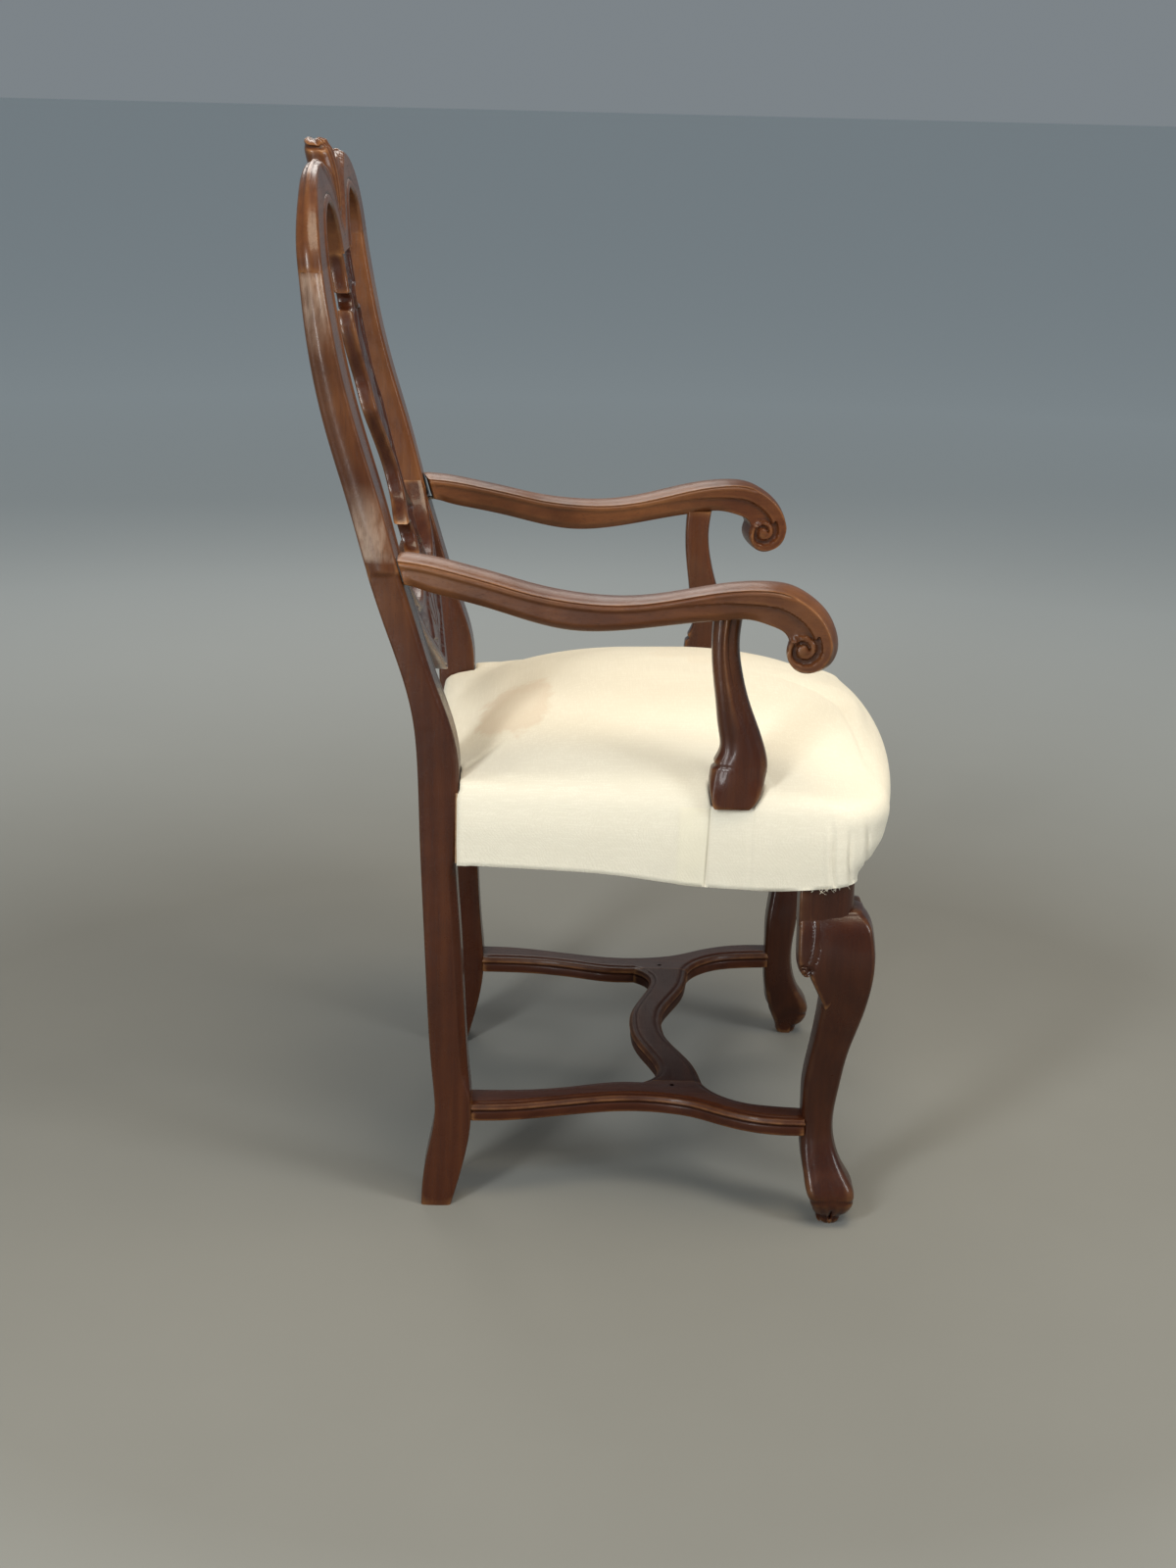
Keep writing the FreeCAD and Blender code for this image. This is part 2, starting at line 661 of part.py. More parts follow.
arris = [e for e in high_box.Edges if abs(e.BoundBox.XMin - num("block_outer")) < 0.01
         and abs(e.BoundBox.YMax - num("block_front")) < 0.01 and e.BoundBox.ZLength > 30]
leg_block = feature("leg_block", high_box.makeFillet(num("block_round"), arris))
# under the seat cover the block steps in, its outer arris well rounded
low_w, low_d = num("block_low_outer") - num("block_inner"), num("block_rear") - num("block_low_front")
low_box = Part.makeBox(low_w, low_d, num("block_step") - num("block_foot") + 0.5,
                       V(num("block_inner"), num("block_low_front"), num("block_foot")))
arris = [e for e in low_box.Edges if abs(e.BoundBox.XMin - num("block_low_outer")) < 0.01
         and abs(e.BoundBox.YMax - num("block_low_front")) < 0.01 and e.BoundBox.ZLength > 30]
leg_block_low = feature("leg_block_low", low_box.makeFillet(17.0, arris))
# behind the block a short cheek stands on the ear, under the side rail
leg_cheek = feature("leg_cheek", Part.makeBox(num("block_low_outer") - 256.0, 10.0, 383.0 - num("block_foot"),
                                              V(256.0, num("block_rear") - 1.0, num("block_foot"))))
leg_blank_l = fuse("leg_blank_left", [leg_form_l, ear_a, ear_b, leg_block_low, leg_block, leg_cheek])
leg_blank_r = mirror_of("leg_blank_right", leg_blank_l)

# ---------------------------------------------------------------- stretchers
sto, sti, sti2 = table("stretch_out"), table("stretch_in"), table("stretch_in2")


def stretcher_body(name, sign):
    body = doc.addObject("PartDesign::Body", name)
    sk = new_sketch(body, "XY_Plane", name + "_plan", d("stretcher_top") - d("stretcher_thick"))
    runs = [sto, [sto[-1], sti[0]], sti, [sti[-1], sti2[0]], sti2, [sti2[-1], sto[0]]]
    outline(sk, [[(sign * p[0], p[1]) for p in run] for run in runs])
    pad(body, sk, name + "_board", d("stretcher_thick"))
    return body


side_l0 = stretcher_body("stretcher_board_left", 1)
side_r0 = stretcher_body("stretcher_board_right", -1)
ends = [box("stretcher_trim_rear_left", 190, 388.5, 90, 70, 30, 34),
        box("stretcher_trim_front_left", 218, 0, 90, 64, 29, 34)]
ends += [mirror_of("stretcher_trim_%d_right" % i, e) for i, e in enumerate(list(ends))]
side_l1 = cut("stretcher_shouldered_left", side_l0, [stile_l, leg_blank_l] + ends[:2])
side_r1 = cut("stretcher_shouldered_right", side_r0, [stile_r, leg_blank_r] + ends[2:])
tz = d("stretcher_top") - 15.0
stt_rear_l = box("stretcher_tenon_rear_left", 212, 380, tz, d("stretcher_tenon_wide"), d("stretcher_tenon_long") + 8,
                 d("stretcher_tenon_thick"))
stt_rear_r = mirror_of("stretcher_tenon_rear_right", stt_rear_l)
stt_front_l = box("stretcher_tenon_front_left", 240, 16, tz, d("stretcher_tenon_wide"),
                  d("stretcher_tenon_long") + 6, d("stretcher_tenon_thick"))
stt_front_r = mirror_of("stretcher_tenon_front_right", stt_front_l)

cr, cfr = table("cross_rear"), table("cross_front")
cross = doc.addObject("PartDesign::Body", "cross_board")
sk = new_sketch(cross, "XY_Plane", "cross_plan", d("stretcher_top") - d("stretcher_thick"))
outline(sk, [cr, [cr[-1], cfr[0]], cfr, flip(cfr), [(-cfr[0][0], cfr[0][1]), (-cr[-1][0], cr[-1][1])], flip(cr)])
pad(cross, sk, "cross_plank", d("stretcher_thick"))
cross_tenon_l = box("cross_tenon_left", 168, 156, tz, 24, 26, d("stretcher_tenon_thick"))
cross_tenon_r = mirror_of("cross_tenon_right", cross_tenon_l)

# ---------------------------------------------------------------- seat rails
rt, rl = d("rail_top"), d("rail_low")
hem = table("hem")

front_rail0 = doc.addObject("PartDesign::Body", "front_rail_plank")
sk = new_sketch(front_rail0, "XY_Plane", "front_rail_plan", rl)
w = num("block_inner")
y_back = num("block_front") + num("front_rail_thick")
arc = Part.Arc(V(w, num("block_front"), 0), V(0, num("block_front") - num("front_rail_bow"), 0),
               V(-w, num("block_front"), 0))
sk.addGeometry(Part.LineSegment(V(-w, y_back, 0), V(w, y_back, 0)), False)
sk.addGeometry(Part.LineSegment(V(w, y_back, 0), V(w, num("block_front"), 0)), False)
sk.addGeometry(Part.Arc(V(w, num("block_front"), 0), V(0, num("block_front") - num("front_rail_bow"), 0),
                        V(-w, num("block_front"), 0)), False)
sk.addGeometry(Part.LineSegment(V(-w, num("block_front"), 0), V(-w, y_back, 0)), False)
sk.addConstraint(Sketcher.Constraint("Coincident", 0, 2, 1, 1))
sk.addConstraint(Sketcher.Constraint("Coincident", 3, 2, 0, 1))
sk.addConstraint(Sketcher.Constraint("Horizontal", 0))
sk.addConstraint(Sketcher.Constraint("Vertical", 1))
sk.addConstraint(Sketcher.Constraint("Vertical", 3))
k = sk.addConstraint(Sketcher.Constraint("DistanceX", -1, 1, 0, 2, w))
sk.setExpression("Constraints[%d]" % k, "Dimensions.block_inner")
k = sk.addConstraint(Sketcher.Constraint("DistanceX", 0, 1, 0, 2, 2 * w))
sk.setExpression("Constraints[%d]" % k, "2 * Dimensions.block_inner")
k = sk.addConstraint(Sketcher.Constraint("DistanceY", -1, 1, 0, 1, y_back))
sk.setExpression("Constraints[%d]" % k, "Dimensions.block_front + Dimensions.front_rail_thick")
pad(front_rail0, sk, "front_rail_board", rt - rl)

fr_ten_l = box("front_rail_tenon_left", d("block_inner") - 4, d("block_front") + 8, rl + 12,
               d("rail_tenon_long") + 4, d("rail_tenon_thick"), d("rail_tenon_tall"))
fr_ten_r = mirror_of("front_rail_tenon_right", fr_ten_l)


def side_rail_body(name, sign):
    """The rail lies along its outside line from the leg block to the stile."""
    y0, y1 = num("block_rear"), num("side_rail_rear_end") + 6.0
    x0 = num("side_rail_front_half")
    x1 = num("side_rail_rear_half")
    run = math.hypot(x0 - x1, num("side_rail_rear_end") - y0)
    ux, uy = -sign * (x0 - x1) / run, (num("side_rail_rear_end") - y0) / run
    length = run + 6.0
    body = doc.addObject("PartDesign::Body", name)
    sk = new_sketch(body, "XZ_Plane", name + "_side_view")
    low = [(-8.0 / uy, 0)] + [((p[0] - y0) / uy, p[1]) for p in hem if p[0] > y0 + 5]
    start = along(hem, y0)
    low = [(0.0, start)] + [((y - y0) / uy, along(hem, y)) for y in (80, 120, 160, 200, 245, 300)] + \
          [(length, along(hem, y1))]
    z1 = num("rail_top")
    outline(sk, [[(p[0], p[1] + 1.6) for p in low], [(length, low[-1][1] + 1.6), (length, z1)],
                 [(length, z1), (0, z1)], [(0, z1), (0, low[0][1] + 1.6)]])
    pad(body, sk, name + "_board", d("side_rail_thick"), reverse=(sign > 0))
    e1 = V(ux, uy, 0)
    e2 = V(0, 0, 1).cross(e1)
    m = FreeCAD.Matrix(e1.x, e2.x, 0, sign * x0, e1.y, e2.y, 0, y0, 0, 0, 1, 0, 0, 0, 0, 1)
    body.Placement = FreeCAD.Placement(m)
    return body


side_rail_l0 = side_rail_body("side_rail_plank_left", 1)
side_rail_r0 = side_rail_body("side_rail_plank_right", -1)
rail_end_l = box("side_rail_trim_left", 200, 404.6, 360, 80, 20, 120)
rail_end_r = mirror_of("side_rail_trim_right", rail_end_l)
side_rail_l1 = cut("side_rail_shouldered_left", side_rail_l0, [stile_l, rail_end_l])
side_rail_r1 = cut("side_rail_shouldered_right", side_rail_r0, [stile_r, rail_end_r])
srt_front_l = box("side_rail_tenon_front_left", 270, d("block_rear") - d("rail_tenon_long") + 2, rl + 12,
                  d("rail_tenon_thick"), d("rail_tenon_long") + 4, d("rail_tenon_tall"))
srt_front_r = mirror_of("side_rail_tenon_front_right", srt_front_l)
srt_rear_l = box("side_rail_tenon_rear_left", 233, 398, rl + 12, d("rail_tenon_thick"),
                 d("rail_tenon_long") + 4, d("rail_tenon_tall"))
srt_rear_r = mirror_of("side_rail_tenon_rear_right", srt_rear_l)

rear_rail0 = doc.addObject("PartDesign::Body", "rear_rail_plank")
sk = new_sketch(rear_rail0, "XY_Plane", "rear_rail_plan", rl)
polygon(sk, [(-212.0, 408.0), (212.0, 408.0), (212.0, 408.0 + d("rear_rail_thick").value),
             (-212.0, 408.0 + d("rear_rail_thick").value)])
pad(rear_rail0, sk, "rear_rail_board", rt - rl)
rear_rail1 = cut("rear_rail_shouldered", rear_rail0, [stile_l, stile_r])
rrt_l = box("rear_rail_tenon_left", 202, 417, rl + 12, 25, 9, d("rail_tenon_tall"))
rrt_r = mirror_of("rear_rail_tenon_right", rrt_l)


# -------------------------------------------------------------- corner blocks
def side_inner(y):
    """Inner face of the side rail at a depth."""
    x0, x1 = num("side_rail_front_half"), num("side_rail_rear_half")
    t = (y - num("block_rear")) / (num("side_rail_rear_end") - num("block_rear"))
    return x0 + (x1 - x0) * t - num("side_rail_thick") * 1.0054


def corner_block(name, pts, sign):
    body = doc.addObject("PartDesign::Body", name)
    sk = new_sketch(body, "XY_Plane", name + "_plan", d("corner_block_low"))
    polygon(sk, [(sign * p[0], p[1]) for p in pts])
    pad(body, sk, name + "_wedge", d("corner_block_tall"))
    return body


fb = num("block_inner")
front_pts_ = [(188, y_back), (fb, y_back), (fb, num("block_rear")), (side_inner(num("block_rear")), num("block_rear")),
              (side_inner(100), 100.0)]
rear_pts_ = [(150, 408.0), (207.0, 408.0), (207.0, 403.0), (side_inner(403), 403.0), (side_inner(350), 350.0)]
blocks = {}
for sign, side in ((-1, "right"), (1, "left")):
    blocks["front_" + side] = corner_block("corner_wedge_front_" + side, front_pts_, sign)
    blocks["rear_" + side] = corner_block("corner_wedge_rear_" + side, rear_pts_, sign)


# -------------------------------------------------------- screws, pegs, tacks
def screw_shape(length, head, shank):
    """Slotted countersunk wood screw, its head at the origin, pointing along +Z."""
    pts = [V(0, 0, 0), V(head / 2, 0, 0), V(head / 2, 0, 0.6), V(shank / 2, 0, 0.6 + (head - shank) / 2),
           V(shank / 2, 0, length * 0.4), V(shank * 0.4, 0, length * 0.42), V(shank * 0.36, 0, length - 6),
           V(0, 0, length)]
    body = Part.Face(Part.makePolygon(pts + [pts[0]])).revolve(V(0, 0, 0), V(0, 0, 1), 360)
    slot = Part.makeBox(head + 2, 1.1, 1.2, V(-head / 2 - 1, -0.55, 0))
    return body.cut(slot)


def plug_shape(length, head, shank):
    """The hole that such a screw fills, with no slot."""
    pts = [V(0, 0, 0), V(head / 2, 0, 0), V(head / 2, 0, 0.6), V(shank / 2, 0, 0.6 + (head - shank) / 2),
           V(shank / 2, 0, length * 0.4), V(shank * 0.4, 0, length * 0.42), V(shank * 0.36, 0, length - 6),
           V(0, 0, length)]
    return Part.Face(Part.makePolygon(pts + [pts[0]])).revolve(V(0, 0, 0), V(0, 0, 1), 360)


def tack_shape(head, shank, length):
    """Cut tack: a low domed head at the origin, its point along +Z."""
    pts = [V(0, 0, -0.9), V(head * 0.3, 0, -0.75), V(head / 2, 0, -0.2), V(head / 2, 0, 0), V(shank / 2, 0, 0),
           V(shank / 2 * 0.8, 0, length * 0.5), V(0, 0, length)]
    return Part.Face(Part.makePolygon(pts + [pts[0]])).revolve(V(0, 0, 0), V(0, 0, 1), 360)


def placed(shape, base, axis):
    s = shape.copy()
    s.Placement = FreeCAD.Placement(V(*base), FreeCAD.Rotation(V(0, 0, 1), V(*axis)))
    return s


def both(items):
    """Each (base, axis) and its twin on the other side."""
    out = []
    for base, axis in items:
        out.append((base, axis))
        out.append(((-base[0], base[1], base[2]), (-axis[0], axis[1], axis[2])))
    return out


hd, sh_, ln = num("screw_head"), num("screw_shank"), num("screw_long")


def toward(a, b_):
    v = V(b_[0] - a[0], b_[1] - a[1], 0)
    v.normalize()
    return (v.x, v.y, 0)


# two screws from the long face of each corner block into the corner
fa, fbp = front_pts_[0], front_pts_[4]
mid_f = ((fa[0] + fbp[0]) / 2, (fa[1] + fbp[1]) / 2)
n_f = V(fbp[1] - fa[1], -(fbp[0] - fa[0]), 0)
n_f.normalize()
ra, rb = rear_pts_[0], rear_pts_[4]
mid_r = ((ra[0] + rb[0]) / 2, (ra[1] + rb[1]) / 2)
n_r = V(-(rb[1] - ra[1]), (rb[0] - ra[0]), 0)
n_r.normalize()
if n_r.y < 0:
    n_r = V(-n_r.x, -n_r.y, 0)
if n_f.x < 0:
    n_f = V(-n_f.x, -n_f.y, 0)
block_screws = both([((mid_f[0], mid_f[1], z), (n_f.x, n_f.y, 0)) for z in (411.0, 437.0)] +
                    [((mid_r[0], mid_r[1], z), (n_r.x, n_r.y, 0)) for z in (411.0, 437.0)])
screw, plug = screw_shape(ln, hd, sh_), plug_shape(ln, hd, sh_)
corner_screws = feature("corner_block_screw_set", Part.makeCompound([placed(screw, *q) for q in block_screws]))
corner_holes = feature("corner_block_screw_holes", Part.makeCompound([placed(plug, *q) for q in block_screws]))

# one screw through each stile from behind into the arm
aln = num("arm_screw_long")
ay = along([(r[0], r[2]) for r in st], 676.0)
arm_axis = (-math.sin(splay) * 0.0 + 0.05, -math.cos(math.radians(4)), math.sin(math.radians(4)))
arm_sc = both([((240.0, ay - 1.2, 677.0), arm_axis)])
ascrew, aplug = screw_shape(aln, hd + 1.2, sh_ + 0.6), plug_shape(aln, hd + 1.2, sh_ + 0.6)
arm_screws = feature("arm_screw_set", Part.makeCompound([placed(ascrew, *q) for q in arm_sc]))
arm_wells = []
for (base, axis) in arm_sc:
    well = Part.makeCylinder((hd + 1.2) / 2, 14.0)
    arm_wells.append(placed(well, (base[0] - axis[0] * 14.0, base[1] - axis[1] * 14.0, base[2] - axis[2] * 14.0), axis))
arm_holes = feature("arm_screw_holes", Part.makeCompound(
    [placed(aplug, *q).fuse(wl) for q, wl in zip(arm_sc, arm_wells)]))

# one screw from inside each side rail into the tenon of the arm support
sup_sc = both([((side_inner(126) - 0.0, 126.0, 444.0), (1.0, 0.0, 0.0))])
sscrew, splug = screw_shape(26.0, hd, sh_), plug_shape(26.0, hd, sh_)
support_screws = feature("arm_support_screw_set", Part.makeCompound([placed(sscrew, *q) for q in sup_sc]))
support_holes = feature("arm_support_screw_holes", Part.makeCompound([placed(splug, *q) for q in sup_sc]))

pd, sp = d("peg_diameter"), d("small_peg_diameter")


def peg_set(name, diameter, items):
    rods = []
    for i, (base, axis, length) in enumerate(items):
        rods.append(rod("%s_%d" % (name, i), diameter, length, base, axis))
    obj = doc.addObject("Part::Compound", name)
    obj.Links = rods
    return obj


def sides(items):
    out = []
    for base, axis, length in items:
        out.append((base, axis, length))
        out.append(((-base[0], base[1], base[2]), (-axis[0], axis[1], axis[2]), length))
    return out


# oak pegs through the tenons of the four seat rails
rail_pegs = peg_set("seat_rail_peg_set", pd, sides([
    ((260.0, -8.0, 414.0), (0, 1, 0), 20.0), ((260.0, -8.0, 440.0), (0, 1, 0), 20.0),
    ((294.0, 32.0, 418.0), (-1, 0, 0), 26.0), ((294.0, 32.0, 445.0), (-1, 0, 0), 26.0),
    ((252.6, 414.0, 418.0), (-1, 0, 0), 22.0), ((252.6, 414.0, 445.0), (-1, 0, 0), 22.0)]))
# small pegs across the back: crest tenons, lower rail tenons
back_pegs = peg_set("back_peg_set", sp, sides([
    ((244.0, back_at(1000) - 0.6, 1000.0), (0, -1, 0), 18.0),
    ((219.0, back_at(679) - 0.6, 679.0), (0, -1, 0), 22.0)]))
# small pegs down through the stretcher tenons
stretch_pegs = peg_set("stretcher_peg_set", sp, sides([
    ((183.0, 169.0, 98.0), (0, 0, 1), 18.0)]))

# -------------------------------------------------------------------- webbing
rtop = num("rail_top")
wt, ww = num("web_thick"), num("web_width")
lengthwise, crosswise = [], []
for i, x in enumerate((-160.0, -80.0, 0.0, 80.0, 160.0)):
    front_end = num("block_front") - num("front_rail_bow") * (1 - (x / num("block_inner")) ** 2) + 5.0
    lengthwise.append(box("web_long_%d" % i, x - ww / 2, front_end, d("rail_top") + 0.1, d("web_width"),
                          433.0 - front_end, d("web_thick")))
for i, y in enumerate((50.0, 200.0, 275.0, 350.0)):
    half = side_inner(y + ww / 2 if y > 40 else y) + 24.0
    crosswise.append(box("web_cross_%d" % i, -half, y - ww / 2, d("rail_top") + d("web_thick") + 0.2, 2 * half,
                         d("web_width"), d("web_thick")))
web_long = doc.addObject("Part::Compound", "web_long_set")
web_long.Links = lengthwise
web_cross = doc.addObject("Part::Compound", "web_cross_set")
web_cross.Links = crosswise

# tacks: two at each end of every strip, and a row under the hem of the cover
tack = tack_shape(num("tack_head"), num("tack_shank"), num("tack_long"))
web_tacks = []
for x in (-160.0, -80.0, 0.0, 80.0, 160.0):
    fe = num("block_front") - num("front_rail_bow") * (1 - (x / num("block_inner")) ** 2) + 13.0
    for dx in (-14.0, 14.0):
        web_tacks.append(((x + dx, fe, rtop + wt + 0.1), (0, 0, -1)))
        web_tacks.append(((x + dx, 424.0, rtop + wt + 0.1), (0, 0, -1)))
for y in (50.0, 200.0, 275.0, 350.0):
    half = side_inner(y + ww / 2) + 14.0
    for dy in (-14.0, 14.0):
        for s in (-1, 1):
            web_tacks.append(((s * half, y + dy, rtop + 2 * wt + 0.2), (0, 0, -1)))
web_tack_set = feature("web_tack_set", Part.makeCompound([placed(tack, *q) for q in web_tacks]))
hem_tacks = []
ct = num("cover_thick")
for x in (-200, -160, -120, -80, -40, 0, 40, 80, 120, 160, 200):
    fy = num("block_front") - num("front_rail_bow") * (1 - (x / num("block_inner")) ** 2) + 7.0
    hem_tacks.append(((float(x), fy, num("rail_low") - ct - 0.1), (0, 0, 1)))
for x in (-180, -140, -100, -60, -20, 20, 60, 100, 140, 180):
    hem_tacks.append(((float(x), 428.0, num("rail_low") - ct - 0.1), (0, 0, 1)))
for y in (64, 100, 136, 172, 208, 244, 280, 316, 352, 388):
    for s in (-1, 1):
        hem_tacks.append(((s * (side_inner(y) + num("side_rail_thick") - 8.0), float(y),
                           along(hem, y) + 1.6 - ct - 0.1), (0, 0, 1)))
hem_tack_set = feature("hem_tack_set", Part.makeCompound([placed(tack, *q) for q in hem_tacks]))

# ----------------------------------------------------------------- upholstery
se = table("seat")
r_half, f_half = num("seat_rear_half"), num("seat_front_half")
y_r, y_f, bow = num("seat_rear_line"), num("seat_front_line"), num("seat_front_bow")


def seat_ring(z, ds, df, dr):
    """Plan outline of the seat at one level: a trapezoid with rounded corners and
    a bowed front."""
    yf, yr = y_f + bow + df, y_r - dr
    slope = (r_half - f_half) / (y_r - y_f - bow)

    def side(y):
        return f_half + slope * (y - y_f - bow) - ds

    span = min(side(yf), side(yr), (yr - yf) / 2)
    tuck = 1.2 * max(0.0, df - 3.5) if z < 450 else 0.0
    rf = min(num("seat_corner") + 1.3 * max(0.0, ds - 1.5) - tuck, 0.9 * span)
    rr = min(num("seat_rear_corner") + 0.9 * dr, 0.9 * span)
    q = math.cos(math.radians(45))
    flat = bow * (1.0 if df < 40 else max(0.25, 1.0 - (df - 40) / 120.0))
    a1 = V(side(yr - rr) - rr * 0 - rr, yr, z)
    a2 = V(side(yr - rr), yr - rr, z)
    am = V(a1.x + rr * q, a2.y + rr * q, z)
    b1 = V(side(yf + rf), yf + rf, z)
    b2 = V(b1.x - rf, yf, z)
    bm = V(b2.x + rf * q, b1.y - rf * q, z)
    edges = [Part.Arc(a1, am, a2).toShape(), line(a2, b1), Part.Arc(b1, bm, b2).toShape(),
             Part.Arc(b2, V(0, yf - flat, z), V(-b2.x, b2.y, z)).toShape(),
             Part.Arc(V(-b2.x, b2.y, z), V(-bm.x, bm.y, z), V(-b1.x, b1.y, z)).toShape(),
             line(V(-b1.x, b1.y, z), V(-a2.x, a2.y, z)),
             Part.Arc(V(-a2.x, a2.y, z), V(-am.x, am.y, z), V(-a1.x, a1.y, z)).toShape(),
             line(V(-a1.x, a1.y, z), a1)]
    return Part.Wire(edges)


def seat_rows(grow, z0, z1):
    """Levels and insets of the seat's form drawn in by a thickness, between two
    levels."""
    rows = []
    for r in se:
        lift = grow * min(1.0, max(0.0, (r[0] - 455.0) / 60.0))
        rows.append((r[0] - lift, r[1] + grow, r[2] + grow, r[3] + grow))

    def at(z):
        if z <= rows[0][0]:
            return (z,) + rows[0][1:]
        for p_, n_ in zip(rows, rows[1:]):
            if z <= n_[0]:
                t = (z - p_[0]) / (n_[0] - p_[0])
                return (z,) + tuple(p_[j] + (n_[j] - p_[j]) * t for j in (1, 2, 3))
        return rows[-1]

    top_row = min(z1, rows[-1][0])
    return [at(z0)] + [r for r in rows if z0 + 1.5 < r[0] < top_row - 1.5] + [at(top_row)]


def seat_body(grow, z0, z1=600.0):
    """That form as a solid."""
    return Part.makeLoft([seat_ring(*r) for r in seat_rows(grow, z0, z1)], True, True)


ct, wd = num("cover_thick"), num("wadding_thick")
support_room = [Part.makeBox(60, 62, 240, V(267.7, 89.5, rtop - 0.2)),
                Part.makeBox(60, 62, 240, V(-327.7, 89.5, rtop - 0.2))]
stile_room = [Part.makeBox(62, 70, 320, V(205.2, 403.2, 340)), Part.makeBox(62, 70, 320, V(-267.2, 403.2, 340)),
              Part.makeBox(62, 10, 192, V(205.2, 400.6, 468)), Part.makeBox(62, 10, 192, V(-267.2, 400.6, 468))]
leg_room = [Part.makeBox(47, 51, 60, V(247.5, -8.5, 340)), Part.makeBox(47, 51, 60, V(-294.5, -8.5, 340))]

# the waved lower edge, as a side view below which everything is cut away
hem_pts = [V(-400, p[0], p[1]) for p in hem]
below = face_of([spline(hem_pts), line(hem_pts[-1], V(-400, 460, 340)), line(V(-400, 460, 340), V(-400, -80, 340)),
                 line(V(-400, -80, 340), hem_pts[0])]).extrude(V(800, 0, 0))
cover_shape = seat_body(0.0, 372.0).cut(seat_body(ct, 366.0))
cover_shape = cover_shape.cut([below] + support_room + stile_room)
if len(cover_shape.Solids) > 1:
    cover_shape = sorted(cover_shape.Solids, key=lambda s_: -s_.Volume)[0]
cover_obj = feature("muslin", cover_shape)

z_web = rtop + 2 * wt + 0.3 + 1.0
z_hes = z_web + num("hessian_thick")
z_first = 503.0
z_scrim = z_first + 0.1 + num("scrim_thick")
stuffed = ct + wd + 0.2


def trimmed(shape):
    """Cut clear of the posts that stand through the seat."""
    out = shape.cut(support_room + stile_room)
    return sorted(out.Solids, key=lambda s_: -s_.Volume)[0]


hes = Part.Face(Part.makePolygon([V(x, y, z_web) for x, y in (
    (197, 430), (197, 395), (248, 395), (262, 168), (262, 84), (286, 60), (286, 6), (244, -2), (120, -16), (0, -22),
    (-120, -16), (-244, -2), (-286, 6), (-286, 60), (-262, 84), (-262, 168), (-248, 395), (-197, 395),
    (-197, 430), (197, 430))])).extrude(V(0, 0, num("hessian_thick")))
first = trimmed(seat_body(stuffed, z_hes + 0.1, z_first))
scrim = trimmed(Part.Face(seat_ring(*seat_rows(stuffed, z_first, 600)[0])).extrude(V(0, 0, num("scrim_thick"))))
scrim.translate(V(0, 0, 0.1))
second = trimmed(seat_body(stuffed, z_scrim + 0.1))
wad = trimmed(seat_body(ct + 0.1, z_hes + 0.1).cut(seat_body(ct + wd, z_hes - 10)))
# the roll of stuffing that rounds the front edge, in front of the rail
rail_plan = Part.Face(Part.Wire([
    line(V(-300, -8.2, 390), V(-num("block_inner"), -8.2, 390)),
    Part.Arc(V(-num("block_inner"), -8.2, 390), V(0, num("block_front") - num("front_rail_bow") - 0.3, 390),
             V(num("block_inner"), -8.2, 390)).toShape(),
    line(V(num("block_inner"), -8.2, 390), V(300, -8.2, 390)), line(V(300, -8.2, 390), V(340, 40, 390)),
    line(V(340, 40, 390), V(340, 460, 390)), line(V(340, 460, 390), V(-340, 460, 390)),
    line(V(-340, 460, 390), V(-340, 40, 390)), line(V(-340, 40, 390), V(-300, -8.2, 390))])).extrude(V(0, 0, 120))
roll = seat_body(ct + 0.2, 398.0, z_hes).cut(rail_plan)
roll = sorted(roll.Solids, key=lambda s_: -s_.Volume)[0]

# ----------------------------------------------------- bring pieces together
all_rail_tools = [fr_ten_l, fr_ten_r]
final(cut("node_stile_r", fuse("stile_tenoned_right", [stile_r, crest_tenon_r]),
          [srt_rear_r, rrt_r, stt_rear_r, drop_tenon_r, arm_tenon_r, rail_pegs, back_pegs, arm_holes, corner_holes]),
      "rear_stile_right")
final(cut("node_stile_l", fuse("stile_tenoned_left", [stile_l, crest_tenon_l]),
          [srt_rear_l, rrt_l, stt_rear_l, drop_tenon_l, arm_tenon_l, rail_pegs, back_pegs, arm_holes, corner_holes]),
      "rear_stile_left")
final(cut("node_crest", crest_solid, [crest_tenon_l, crest_tenon_r, splat_tenon_top, back_pegs]), "crest_rail")
final(fuse("node_splat", [splat_plate, splat_tenon_top, splat_tenon_low]), "back_splat")
final(cut("node_drop", fuse("drop_tenoned", [drop_cut, drop_tenon_l, drop_tenon_r]), [splat_tenon_low, back_pegs]),
      "lower_back_rail")
final(cut("node_arm_r", fuse("arm_tenoned_right", [arm_r1, arm_tenon_r]), [sup_tenon_top_r, arm_holes]), "arm_right")
final(cut("node_arm_l", fuse("arm_tenoned_left", [arm_l1, arm_tenon_l]), [sup_tenon_top_l, arm_holes]), "arm_left")
for side, blank, low, high, arm0 in (("right", support_blank_r, sup_tenon_low_r, sup_tenon_top_r, arm_r0),
                                     ("left", support_blank_l, sup_tenon_low_l, sup_tenon_top_l, arm_l0)):
    shouldered = cut("support_shouldered_" + side, blank, [arm0])
    final(cut("node_support_" + side, fuse("support_tenoned_" + side, [shouldered, low, high]), [support_holes]),
          "arm_support_" + side)
for side, blank, t1, t2, t3 in (("right", leg_blank_r, fr_ten_r, srt_front_r, stt_front_r),
                                ("left", leg_blank_l, fr_ten_l, srt_front_l, stt_front_l)):
    final(cut("node_leg_" + side, blank, [t1, t2, t3, rail_pegs, corner_holes]), "front_leg_" + side)
